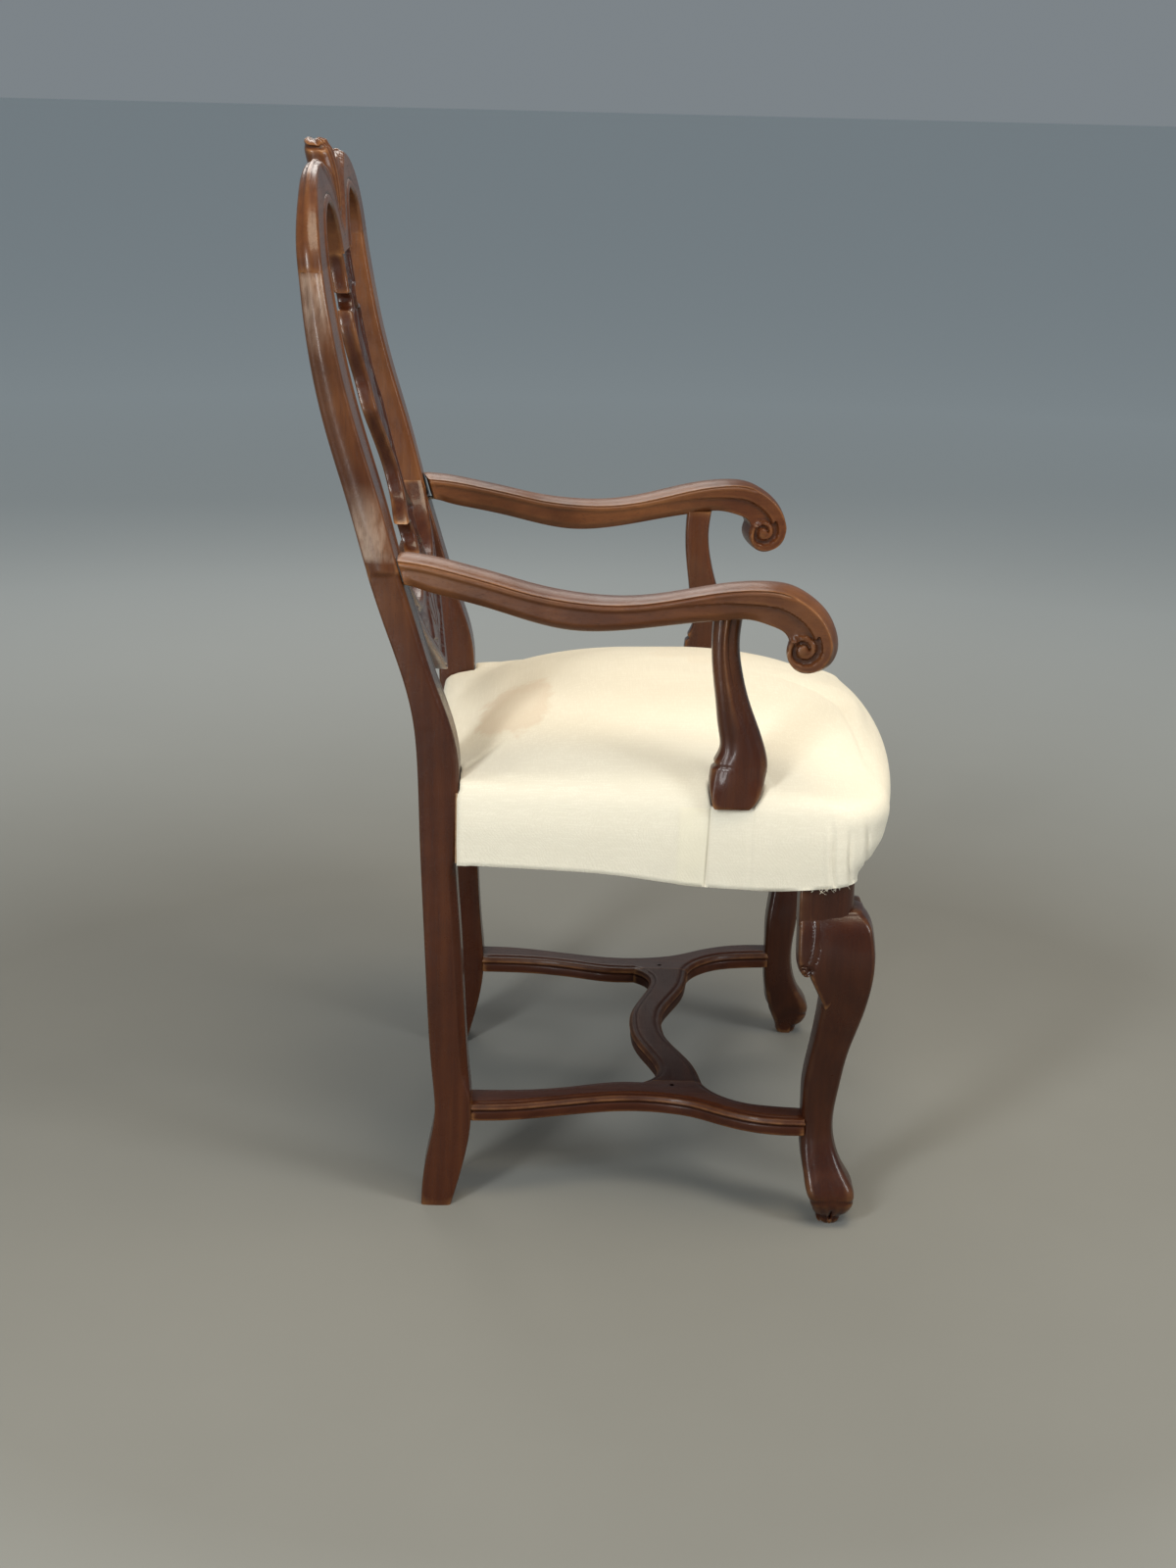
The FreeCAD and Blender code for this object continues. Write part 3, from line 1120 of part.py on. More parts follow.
for side, body, t1, t2, t3 in (("right", side_r1, stt_rear_r, stt_front_r, cross_tenon_r),
                               ("left", side_l1, stt_rear_l, stt_front_l, cross_tenon_l)):
    final(cut("node_side_stretcher_" + side, fuse("side_stretcher_tenoned_" + side, [body, t1, t2]),
              [t3, stretch_pegs]), "side_stretcher_" + side)
final(cut("node_cross", fuse("cross_tenoned", [cross, cross_tenon_l, cross_tenon_r]), [stretch_pegs]),
      "cross_stretcher")
final(cut("node_front_rail", fuse("front_rail_tenoned", [front_rail0, fr_ten_l, fr_ten_r]),
          [rail_pegs, corner_holes, web_tack_set, hem_tack_set]), "seat_front_rail")
final(cut("node_rear_rail", fuse("rear_rail_tenoned", [rear_rail1, rrt_l, rrt_r]),
          [corner_holes, web_tack_set, hem_tack_set]), "seat_rear_rail")
for side, body, t1, t2, t3 in (("right", side_rail_r1, srt_front_r, srt_rear_r, sup_tenon_low_r),
                               ("left", side_rail_l1, srt_front_l, srt_rear_l, sup_tenon_low_l)):
    final(cut("node_side_rail_" + side, fuse("side_rail_tenoned_" + side, [body, t1, t2]),
              [t3, rail_pegs, corner_holes, support_holes, web_tack_set, hem_tack_set]), "seat_side_rail_" + side)
for key in ("front_right", "front_left", "rear_right", "rear_left"):
    final(cut("node_corner_" + key, blocks[key], [corner_holes]), "corner_block_" + key)
final(corner_screws, "corner_block_screws")
final(arm_screws, "arm_screws")
final(support_screws, "arm_support_screws")
for source, label in ((rail_pegs, "seat_rail_pegs"), (back_pegs, "back_pegs"), (stretch_pegs, "stretcher_pegs")):
    copy = doc.addObject("Part::Compound", "node_" + label)
    copy.Links = list(source.Links)
    final(copy, label)
final(cut("node_web_long", web_long, [feature("web_tack_copy_a", web_tack_set.Shape.copy())]), "webbing_lengthwise")
final(cut("node_web_cross", web_cross, [feature("web_tack_copy_b", web_tack_set.Shape.copy())]), "webbing_crosswise")
hes_obj = feature("hessian", hes)
final(hes_obj, "seat_hessian")
final(feature("front_roll", roll), "front_edge_roll")
final(feature("first_pad", first), "first_stuffing")
final(feature("scrim_sheet", scrim), "stuffing_scrim")
final(feature("second_pad", second), "second_stuffing")
final(feature("wadding_sheet", wad), "seat_wadding")
final(cover_obj, "muslin_cover")
final(web_tack_set, "webbing_tacks")
final(hem_tack_set, "cover_tacks")

doc.recompute()
for obj in nodes:
    if obj.TypeId == "Part::Feature":
        obj.Placement = FreeCAD.Placement(V(0, -num("front_foot_line"), 0), FreeCAD.Rotation())
doc.recompute()

# ------------------------------------------------------------- check, export
bad = [o.Name for o in doc.Objects if "Invalid" in o.State or "Error" in o.State]
if bad:
    raise RuntimeError("features that failed: %s" % ", ".join(bad))
labels = [o.Label for o in nodes]
if len(labels) != len(set(labels)):
    raise RuntimeError("two pieces share a name")
if len(labels) > 60:
    raise RuntimeError("too many pieces")
for obj in nodes:
    shape = obj.Shape
    if shape.isNull() or not shape.isValid() or not shape.Solids or shape.Volume <= 0:
        raise RuntimeError("%s has no valid solid" % obj.Label)
for old in os.listdir("parts"):
    if old.endswith(".step") and old[:-5] not in labels:
        os.remove(os.path.join("parts", old))
for obj in nodes:
    obj.Shape.exportStep("parts/%s.step" % obj.Label)
    bb = obj.Shape.BoundBox
    print("%-26s solids %3d  volume %10.1f cm3  x %7.1f..%7.1f  y %7.1f..%7.1f  z %6.1f..%6.1f" % (
        obj.Label, len(obj.Shape.Solids), obj.Shape.Volume / 1000.0, bb.XMin, bb.XMax, bb.YMin, bb.YMax, bb.ZMin,
        bb.ZMax))
print("%d pieces" % len(nodes))
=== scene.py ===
import math

import bpy
import bmesh
import numpy as np
from mathutils import Matrix, Vector, geometry
from mathutils.kdtree import KDTree


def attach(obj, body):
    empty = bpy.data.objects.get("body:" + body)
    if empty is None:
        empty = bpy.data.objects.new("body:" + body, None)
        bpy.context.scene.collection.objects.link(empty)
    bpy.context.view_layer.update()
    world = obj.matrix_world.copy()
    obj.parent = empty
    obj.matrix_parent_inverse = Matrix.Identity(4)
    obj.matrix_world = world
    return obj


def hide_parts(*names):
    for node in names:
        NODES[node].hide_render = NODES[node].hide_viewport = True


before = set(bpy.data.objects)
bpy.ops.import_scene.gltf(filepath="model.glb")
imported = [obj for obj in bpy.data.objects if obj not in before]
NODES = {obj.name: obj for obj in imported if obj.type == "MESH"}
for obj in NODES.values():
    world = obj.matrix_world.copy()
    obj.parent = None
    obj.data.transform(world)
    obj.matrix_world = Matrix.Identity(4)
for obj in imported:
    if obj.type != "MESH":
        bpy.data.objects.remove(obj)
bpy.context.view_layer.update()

LINE = 257.5          # mm from the line through the front feet to the middle

# ------------------------------------------------------------------ curves
def natural(xs, ys):
    """Natural cubic through a table: returns y(x)."""
    xs, ys = np.asarray(xs, float), np.asarray(ys, float)
    n, h = len(xs), np.diff(xs)
    a, r = np.zeros((n, n)), np.zeros(n)
    a[0, 0] = a[-1, -1] = 1
    for i in range(1, n - 1):
        a[i, i - 1:i + 2] = h[i - 1], 2 * (h[i - 1] + h[i]), h[i]
        r[i] = 6 * ((ys[i + 1] - ys[i]) / h[i] - (ys[i] - ys[i - 1]) / h[i - 1])
    m = np.linalg.solve(a, r)

    def f(x):
        x = np.clip(np.asarray(x, float), xs[0], xs[-1])
        i = np.clip(np.searchsorted(xs, x) - 1, 0, n - 2)
        p, q, w = xs[i + 1] - x, x - xs[i], h[i]
        return (m[i] * p ** 3 + m[i + 1] * q ** 3) / (6 * w) + (ys[i] / w - m[i] * w / 6) * p + \
            (ys[i + 1] / w - m[i + 1] * w / 6) * q
    return f


def curve(points, step):
    """Points every step mm along a smooth curve through the given ones, or
    along a straight line when there are two."""
    p = np.asarray(points, float)
    t = np.concatenate([[0], np.cumsum(np.linalg.norm(np.diff(p, axis=0), axis=1))])
    n = max(2, int(round(t[-1] / step)) + 1)
    u = np.linspace(0, t[-1], n)
    if len(p) == 2:
        return np.stack([np.interp(u, t, p[:, k]) for k in range(p.shape[1])], 1)
    return np.stack([natural(t, p[:, k])(u) for k in range(p.shape[1])], 1)


def loop(runs, step):
    """A closed outline of runs, each smooth, with corners between them."""
    out = [curve(r, step)[:-1] for r in runs]
    return np.concatenate(out)


def seg_distance(pts, polylines):
    """Distance of each point to the nearest of some polylines (2D)."""
    a = np.concatenate([p[:-1] for p in polylines])
    b = np.concatenate([p[1:] for p in polylines])
    d = b - a
    dd = np.maximum((d ** 2).sum(1), 1e-9)
    out = np.empty(len(pts))
    for s in range(0, len(pts), 4000):
        q = pts[s:s + 4000, None, :] - a[None]
        t = np.clip((q * d[None]).sum(2) / dd[None], 0, 1)
        out[s:s + 4000] = np.sqrt(((q - t[..., None] * d[None]) ** 2).sum(2).min(1))
    return out


def inside(pts, loops):
    """Even-odd test of points against closed loops (2D)."""
    odd = np.zeros(len(pts), bool)
    for lp in loops:
        a, b = lp, np.roll(lp, -1, axis=0)
        for s in range(0, len(pts), 4000):
            x, y = pts[s:s + 4000, 0][:, None], pts[s:s + 4000, 1][:, None]
            cond = (a[None, :, 1] > y) != (b[None, :, 1] > y)
            dy = b[:, 1] - a[:, 1]
            dy = np.where(np.abs(dy) < 1e-12, 1e-12, dy)
            xx = a[None, :, 0] + (y - a[None, :, 1]) * ((b[:, 0] - a[:, 0]) / dy)[None]
            odd[s:s + 4000] ^= (np.sum(cond & (x < xx), axis=1) % 2).astype(bool)
    return odd


def closed(lp):
    return np.concatenate([lp, lp[:1]])


def area(lp):
    x, y = lp[:, 0], lp[:, 1]
    return 0.5 * np.sum(x * np.roll(y, -1) - np.roll(x, -1) * y)


def smoothstep(a, b, x):
    t = np.clip((np.asarray(x, float) - a) / (b - a), 0, 1)
    return t * t * (3 - 2 * t)


def hump(x, centre, width):
    """1 at the centre, 0 beyond the half width, smooth."""
    t = np.clip(1 - np.abs((np.asarray(x, float) - centre) / width), 0, 1)
    return t * t * (3 - 2 * t)


# ------------------------------------------------------------------ meshes
def mesh_object(name, co, faces, sharp=40.0):
    """co in mm in the tables' frame."""
    co = np.asarray(co, float)
    me = bpy.data.meshes.new(name)
    m = np.empty_like(co)
    m[:, 0], m[:, 1], m[:, 2] = co[:, 0] / 1000, (co[:, 1] - LINE) / 1000, co[:, 2] / 1000
    me.from_pydata(m.tolist(), [], [list(map(int, f)) for f in faces])
    me.validate()
    bm = bmesh.new()
    bm.from_mesh(me)
    bmesh.ops.remove_doubles(bm, verts=bm.verts, dist=2e-6)
    bmesh.ops.dissolve_degenerate(bm, edges=bm.edges, dist=1e-6)
    bmesh.ops.recalc_face_normals(bm, faces=bm.faces)
    bm.to_mesh(me)
    bm.free()
    me.shade_smooth()
    if sharp:
        me.set_sharp_from_angle(angle=math.radians(sharp))
    ob = bpy.data.objects.new(name, me)
    bpy.context.scene.collection.objects.link(ob)
    return ob


def join_data(parts):
    """Several (vertices, faces) as one."""
    co, faces, n = [], [], 0
    for v, f in parts:
        v = np.asarray(v, float)
        co.append(v)
        faces += [[i + n for i in face] for face in f]
        n += len(v)
    return np.concatenate(co), faces


def mirror_data(v, f):
    v = np.array(v, float)
    v[:, 0] *= -1
    return v, [list(face)[::-1] for face in f]


def loft(rings, cap=True):
    """A tube of equal rings (n, m, 3), with fan-free caps."""
    rings = np.asarray(rings, float)
    n, m = rings.shape[:2]
    faces = []
    for i in range(n - 1):
        a, b = i * m, (i + 1) * m
        for j in range(m):
            k = (j + 1) % m
            faces.append([a + j, a + k, b + k, b + j])
    if cap:
        faces.append(list(range(m))[::-1])
        faces.append([(n - 1) * m + j for j in range(m)])
    return rings.reshape(-1, 3), faces


def slab(loops, place, front, back, insets, grid, rows=4, bulge=None, thick=None):
    """A sawn and carved board.  loops: closed outlines (2D, mm), the first one
    outside.  place(u, v, w): a point of the board, w from the front face.
    front(p, d) and back(p, d): how far each face lies under the board's own
    faces at 2D points with edge distance d.  bulge(t, p): how far the edge swells
    outward at a share t of the thickness."""
    loops = [lp if (area(lp) > 0) == (i == 0) else lp[::-1] for i, lp in enumerate(loops)]
    lines = [closed(lp) for lp in loops]
    pts, normals = list(loops), []
    for lp in loops:
        tan = np.roll(lp, -1, 0) - np.roll(lp, 1, 0)
        tan /= np.maximum(np.linalg.norm(tan, axis=1, keepdims=True), 1e-9)
        normals.append(np.stack([tan[:, 1], -tan[:, 0]], 1))
    inner = []
    for ins in insets:
        for lp, nn in zip(loops, normals):
            q = lp - nn * ins
            keep = inside(q, loops)
            q = q[keep]
            if len(q):
                dist = seg_distance(q, lines)
                inner.append(q[dist > ins * 0.93])
    lo, hi = loops[0].min(0), loops[0].max(0)
    gx, gy = np.arange(lo[0], hi[0], grid), np.arange(lo[1], hi[1], grid * 0.866)
    g = np.array([(x + (grid / 2 if j % 2 else 0), y) for j, y in enumerate(gy) for x in gx])
    g = g[inside(g, loops)]
    dist = seg_distance(g, lines)
    g = g[dist > (max(insets) if insets else 0) + 0.55 * grid]
    inner.append(g)
    inner = np.concatenate(inner)
    # thin out points that crowd each other
    key = {}
    keep = []
    cell = 0.45
    for i, q in enumerate(inner):
        c = (int(math.floor(q[0] / cell)), int(math.floor(q[1] / cell)))
        if c not in key:
            key[c] = i
            keep.append(i)
    inner = inner[keep]
    bpts = np.concatenate(loops)
    allp = np.concatenate([bpts, inner])
    edges, start = [], 0
    for lp in loops:
        n = len(lp)
        edges += [(start + i, start + (i + 1) % n) for i in range(n)]
        start += n
    res = geometry.delaunay_2d_cdt([Vector(p) for p in allp], edges, [], 1, 1e-5, True)
    out_v = np.array([(v.x, v.y) for v in res[0]])
    tris = [list(f) for f in res[2]]
    orig = res[3]
    where = {}
    for i, ids in enumerate(orig):
        for k in ids:
            where[k] = i
    cent = np.array([out_v[t].mean(0) for t in tris])
    ok = inside(cent, loops)
    tris = [t for t, o in zip(tris, ok) if o]
    used = sorted({i for t in tris for i in t})
    remap = {o: i for i, o in enumerate(used)}
    tris = [[remap[i] for i in t] for t in tris]
    p2 = out_v[used]
    d = seg_distance(p2, lines)
    wf = front(p2, d)
    T = thick(p2) if thick is not None else None
    wb = T - back(p2, d)
    nv = len(p2)
    co = [place(p2, wf), place(p2, wb)]
    faces = [t[::-1] for t in tris] + [[i + nv for i in t] for t in tris]
    total = 2 * nv
    start = 0
    for lp, nn in zip(loops, normals):
        n = len(lp)
        idx = [remap[where[start + i]] for i in range(n)]
        prev = idx
        for r in range(1, rows):
            t = r / rows
            q = lp + nn * (bulge(t, lp)[:, None] if bulge is not None else 0)
            w = wf[idx] * (1 - t) + wb[idx] * t
            co.append(place(q, w))
            cur = [total + i for i in range(n)]
            total += n
            for i in range(n):
                k = (i + 1) % n
                faces.append([prev[i], prev[k], cur[k], cur[i]])
            prev = cur
        cur = [nv + i for i in idx]
        for i in range(n):
            k = (i + 1) % n
            faces.append([prev[i], prev[k], cur[k], cur[i]])
        start += n
    return np.concatenate(co), faces


def rounded(d, r):
    """Depth of a quarter-round arris of radius r at edge distance d."""
    x = np.clip(r - d, 0, r)
    return r - np.sqrt(np.maximum(r * r - x * x, 0))


def corner(cx, cy, sx, sy, r, k, first, flat=0.0):
    """A rounded or chamfered corner.  first: 'x' when it starts on the side
    facing x."""
    out = []
    for i in range(k + 1):
        a = math.pi / 2 * i / k
        if first == "x":
            p = (cx + sx * r * math.cos(a), cy + sy * r * math.sin(a))
            q = (cx + sx * r * (1 - i / k), cy + sy * r * i / k)
        else:
            p = (cx + sx * r * math.sin(a), cy + sy * r * math.cos(a))
            q = (cx + sx * r * i / k, cy + sy * r * (1 - i / k))
        out.append((p[0] * (1 - flat) + q[0] * flat, p[1] * (1 - flat) + q[1] * flat))
    return out


def rect_ring(x0, x1, y0, y1, radii, k=5, s=4, flats=(0, 0, 0, 0), bow=(0, 0, 0, 0)):
    """Closed ring, from the inner-front corner: front side, outer side, rear
    side, inner side.  radii, flats: inner-front, outer-front, outer-rear,
    inner-rear.  bow: how far each side swells."""
    rif, rof, ror, rir = radii
    c = [corner(x0 + rif, y0 + rif, -1, -1, rif, k, "x", flats[0]),
         corner(x1 - rof, y0 + rof, 1, -1, rof, k, "y", flats[1]),
         corner(x1 - ror, y1 - ror, 1, 1, ror, k, "x", flats[2]),
         corner(x0 + rir, y1 - rir, -1, 1, rir, k, "y", flats[3])]
    nrm = [(0, -1), (1, 0), (0, 1), (-1, 0)]
    pts = []
    for i in range(4):
        pts += c[i]
        a, b = c[i][-1], c[(i + 1) % 4][0]
        for j in range(1, s + 1):
            t = j / (s + 1)
            off = bow[i] * 4 * t * (1 - t)
            pts.append((a[0] + (b[0] - a[0]) * t + nrm[i][0] * off, a[1] + (b[1] - a[1]) * t + nrm[i][1] * off))
    return np.array(pts)


def with_z(ring2, z):
    z = np.broadcast_to(np.asarray(z, float), (len(ring2),))
    return np.column_stack([ring2, z])


def add_convexity(ob, rounds=3):
    """Stores how convex (+) or hollow (-) the surface is at each vertex, which
    the materials use for wear on arrises and dirt in grooves."""
    me = ob.data
    n = len(me.vertices)
    co = np.empty(n * 3)
    no = np.empty(n * 3)
    me.vertices.foreach_get("co", co)
    me.vertices.foreach_get("normal", no)
    co, no = co.reshape(-1, 3), no.reshape(-1, 3)
    e = np.empty(len(me.edges) * 2, int)
    me.edges.foreach_get("vertices", e)
    e = e.reshape(-1, 2)
    a, b = e[:, 0], e[:, 1]
    d = co[b] - co[a]
    ln = np.maximum(np.linalg.norm(d, axis=1), 1e-7)
    k = ((no[b] - no[a]) * d).sum(1) / ln / ln      # 1/m, positive where convex
    acc, w = np.zeros(n), np.zeros(n)
    for i in (a, b):
        np.add.at(acc, i, k * ln)
        np.add.at(w, i, ln)
    val = np.clip(acc / np.maximum(w, 1e-9) / 260.0, -1.5, 1.5)
    for _ in range(rounds):
        acc, w = val * 1.0, np.ones(n)
        np.add.at(acc, a, val[b] * 0.6)
        np.add.at(acc, b, val[a] * 0.6)
        np.add.at(w, a, 0.6)
        np.add.at(w, b, 0.6)
        val = acc / w
    val = np.clip(val, -1, 1)
    at = me.attributes.get("convex") or me.attributes.new("convex", "FLOAT", "POINT")
    at.data.foreach_set("value", val.astype(np.float32))


# --------------------------------------------------------------- materials
def nodes_of(mat):
    mat.use_nodes = True
    nt = mat.node_tree
    nt.nodes.clear()
    out = nt.nodes.new("ShaderNodeOutputMaterial")
    bs = nt.nodes.new("ShaderNodeBsdfPrincipled")
    nt.links.new(bs.outputs[0], out.inputs[0])
    return nt, bs


def N(nt, kind, **kw):
    n = nt.nodes.new(kind)
    for k, v in kw.items():
        setattr(n, k, v)
    return n


def link(nt, a, b):
    nt.links.new(a, b)


def math_node(nt, op, a, b=None, c=None, clamp=False):
    n = N(nt, "ShaderNodeMath", operation=op, use_clamp=clamp)
    for i, v in enumerate((a, b, c)):
        if v is None:
            continue
        if isinstance(v, (int, float)):
            n.inputs[i].default_value = v
        else:
            link(nt, v, n.inputs[i])
    return n.outputs[0]


def mix_colour(nt, fac, a, b, blend="MIX"):
    n = N(nt, "ShaderNodeMix", data_type="RGBA", blend_type=blend)
    n.clamp_factor = True
    if isinstance(fac, (int, float)):
        n.inputs[0].default_value = fac
    else:
        link(nt, fac, n.inputs[0])
    for sock, v in ((n.inputs[6], a), (n.inputs[7], b)):
        if isinstance(v, tuple):
            sock.default_value = (*v, 1.0) if len(v) == 3 else v
        else:
            link(nt, v, sock)
    return n.outputs[2]


def ramp(nt, fac, stops, interp="LINEAR"):
    n = N(nt, "ShaderNodeValToRGB")
    n.color_ramp.interpolation = interp
    el = n.color_ramp.elements
    while len(el) > 1:
        el.remove(el[-1])
    el[0].position = stops[0][0]
    v = stops[0][1]
    el[0].color = (v, v, v, 1) if isinstance(v, (int, float)) else (*v, 1)
    for pos, v in stops[1:]:
        e = el.new(pos)
        e.color = (v, v, v, 1) if isinstance(v, (int, float)) else (*v, 1)
    link(nt, fac, n.inputs[0])
    return n.outputs[0]


def noise(nt, vec, scale, detail=3.0, rough=0.55, distortion=0.0, w=None):
    n = N(nt, "ShaderNodeTexNoise")
    n.inputs["Scale"].default_value = scale
    n.inputs["Detail"].default_value = detail
    n.inputs["Roughness"].default_value = rough
    n.inputs["Distortion"].default_value = distortion
    link(nt, vec, n.inputs["Vector"])
    return n.outputs["Fac"]


def mapping(nt, vec, scale=(1, 1, 1), rot=(0, 0, 0), loc=(0, 0, 0)):
    n = N(nt, "ShaderNodeMapping")
    n.inputs["Scale"].default_value = scale
    n.inputs["Rotation"].default_value = rot
    n.inputs["Location"].default_value = loc
    link(nt, vec, n.inputs["Vector"])
    return n.outputs[0]


def bump(nt, height, strength, distance, normal=None):
    n = N(nt, "ShaderNodeBump")
    n.inputs["Strength"].default_value = strength
    n.inputs["Distance"].default_value = distance
    link(nt, height, n.inputs["Height"])
    if normal is not None:
        link(nt, normal, n.inputs["Normal"])
    return n.outputs[0]


def show_wood(name, rot, seed, dark=0.0, golden=0.0, gloss=1.0, painted_sheen=False):
    """Old polished hardwood, dark red-brown; rot turns the grain to local Z."""
    mat = bpy.data.materials.new(name)
    nt, bs = nodes_of(mat)
    tc = N(nt, "ShaderNodeTexCoord")
    p = mapping(nt, tc.outputs["Object"], rot=rot, loc=(seed * 1.37, seed * 0.71, seed * 0.43))
    along = mapping(nt, p, scale=(1, 1, 0.07))
    fibre = mapping(nt, p, scale=(1, 1, 0.022))
    # broad figure, from growth rings cut lengthwise
    warp = noise(nt, along, 14.0, 4.0, 0.6, 0.6)
    wave = N(nt, "ShaderNodeTexWave", wave_type="RINGS", rings_direction="Z", wave_profile="SIN")
    wave.inputs["Scale"].default_value = 26.0
    wave.inputs["Distortion"].default_value = 5.0
    wave.inputs["Detail"].default_value = 3.0
    wave.inputs["Detail Scale"].default_value = 1.3
    link(nt, mapping(nt, along, loc=(0.31, 0.22, 0)), wave.inputs["Vector"])
    fib = noise(nt, fibre, 520.0, 3.0, 0.6)
    fine = noise(nt, fibre, 1500.0, 2.0, 0.5)
    cloudy = noise(nt, p, 9.0, 3.0, 0.6)
    streak = noise(nt, fibre, 130.0, 4.0, 0.62, 0.3)
    figure = math_node(nt, "ADD", math_node(nt, "MULTIPLY", wave.outputs["Fac"], 0.13),
                       math_node(nt, "MULTIPLY", warp, 0.42))
    figure = math_node(nt, "ADD", figure, math_node(nt, "MULTIPLY", streak, 0.45))
    k = 1.0 - dark
    g = k ** 1.15
    tone = ramp(nt, figure, [(0.30, (0.040 * k, 0.0095 * g, 0.0038 * g)), (0.46, (0.082 * k, 0.0215 * g, 0.0074 * g)),
                             (0.60, (0.135 * k, 0.0400 * g, 0.0125 * g)), (0.78, (0.200 * k, 0.0680 * g, 0.0205 * g))])
    tone = mix_colour(nt, math_node(nt, "MULTIPLY", math_node(nt, "SUBTRACT", fib, 0.50, clamp=True), 1.1),
                      tone, (0.230 * k, 0.083 * g, 0.0260 * g), "MIX")
    if dark > 0.3:
        tone = mix_colour(nt, 0.55, tone, (0.090 * k, 0.0225 * g, 0.0068 * g))
    if golden > 0:
        # the old polish is worn to a golden brown where hands and sleeves pass; the same ramp by height also paints the
        # upper parts lighter, as painted light from above
        broad = noise(nt, p, 5.5, 3.0, 0.55)
        high = N(nt, "ShaderNodeSeparateXYZ")
        link(nt, tc.outputs["Object"], high.inputs[0])
        height_wear_and_light = ramp(nt, high.outputs[2], [(0.55, 0.0), (0.74, 1.0)])
        wear_and_light = math_node(nt, "MULTIPLY", ramp(nt, broad, [(0.34, 0.25), (0.62, 1.0)]), height_wear_and_light)
        tone = mix_colour(nt, math_node(nt, "MULTIPLY", wear_and_light, golden), tone,
                          mix_colour(nt, streak, (0.17, 0.058, 0.018), (0.33, 0.140, 0.048)))
    if painted_sheen:
        # painted sheen: the outer face is painted pale just under the crest and just over the arm, standing in for
        # highlights there
        geo = N(nt, "ShaderNodeNewGeometry")
        faces_ = N(nt, "ShaderNodeSeparateXYZ")
        link(nt, geo.outputs["Normal"], faces_.inputs[0])
        outer_ = math_node(nt, "MULTIPLY", ramp(nt, math_node(nt, "ABSOLUTE", high.outputs[0]), [(0.232, 0.0), (0.246, 1.0)]),
                           ramp(nt, math_node(nt, "ABSOLUTE", faces_.outputs[0]), [(0.55, 0.0), (0.88, 1.0)]))
        spots = math_node(nt, "ADD", ramp(nt, high.outputs[2], [(0.905, 0.0), (0.950, 1.0), (0.983, 1.0), (0.986, 0.0)]),
                          ramp(nt, high.outputs[2], [(0.703, 0.0), (0.709, 1.0), (0.730, 1.0), (0.785, 0.0)]))
        thin_ = ramp(nt, noise(nt, mapping(nt, p, scale=(1, 1, 0.3)), 46.0, 4.0, 0.65), [(0.38, 0.15), (0.60, 1.0)])
        sheen_mask = math_node(nt, "MULTIPLY", math_node(nt, "MULTIPLY", spots, outer_), thin_)
        # mixes the painted highlight colour into the wood
        tone = mix_colour(nt, math_node(nt, "MULTIPLY", sheen_mask, 0.56), tone, (0.52, 0.39, 0.30))
    # open pores: short dark dashes
    pores = ramp(nt, fine, [(0.30, 1.0), (0.40, 0.0)])
    tone = mix_colour(nt, math_node(nt, "MULTIPLY", pores, 0.50), tone, (0.016, 0.0048, 0.0028))
    tone = mix_colour(nt, ramp(nt, cloudy, [(0.30, 0.55), (0.55, 0.0)]), tone, (0.028, 0.0075, 0.0036))
    # wear on the arrises, old polish and dust in the hollows
    at = N(nt, "ShaderNodeAttribute", attribute_name="convex")
    worn = noise(nt, p, 38.0, 4.0, 0.65)
    edge = math_node(nt, "MULTIPLY", ramp(nt, at.outputs["Fac"], [(0.10, 0.0), (0.55, 1.0)]),
                     ramp(nt, worn, [(0.34, 0.12), (0.62, 0.95)]))
    tone = mix_colour(nt, math_node(nt, "MULTIPLY", edge, 0.66), tone, (0.34, 0.150, 0.052))
    hollow = ramp(nt, math_node(nt, "MULTIPLY", at.outputs["Fac"], -1.0), [(0.06, 0.0), (0.50, 1.0)])
    tone = mix_colour(nt, math_node(nt, "MULTIPLY", hollow, 0.72), tone, (0.012, 0.0060, 0.0048))
    # a few pale knocks and scratches
    scr = noise(nt, mapping(nt, p, scale=(1, 1, 0.35), rot=(0.5, 0.3, 0.8)), 70.0, 6.0, 0.75)
    knock = ramp(nt, scr, [(0.735, 0.0), (0.765, 1.0)])
    tone = mix_colour(nt, math_node(nt, "MULTIPLY", knock, 0.35), tone, (0.34, 0.20, 0.11))
    link(nt, tone, bs.inputs["Base Color"])
    smear = noise(nt, p, 16.0, 5.0, 0.7)
    r = math_node(nt, "ADD", 0.12 + 0.30 * (1 - gloss), math_node(nt, "MULTIPLY", smear, 0.20))
    r = math_node(nt, "ADD", r, math_node(nt, "MULTIPLY", hollow, 0.28))
    r = math_node(nt, "ADD", r, math_node(nt, "MULTIPLY", pores, 0.16), clamp=True)
    link(nt, r, bs.inputs["Roughness"])
    bs.inputs["IOR"].default_value = 1.5
    bs.inputs["Specular IOR Level"].default_value = 0.14 + 0.20 * gloss
    bs.inputs["Coat Weight"].default_value = 0.30 * gloss ** 2
    bs.inputs["Coat Roughness"].default_value = 0.07
    uneven = noise(nt, p, 30.0, 3.0, 0.5)
    b1 = bump(nt, uneven, 0.35, 0.0030)
    b2 = bump(nt, math_node(nt, "ADD", math_node(nt, "MULTIPLY", fib, 0.6), math_node(nt, "MULTIPLY", pores, -0.5)),
              0.30, 0.00022, b1)
    b3 = bump(nt, knock, 0.4, 0.0004, b2)
    link(nt, b3, bs.inputs["Normal"])
    return mat


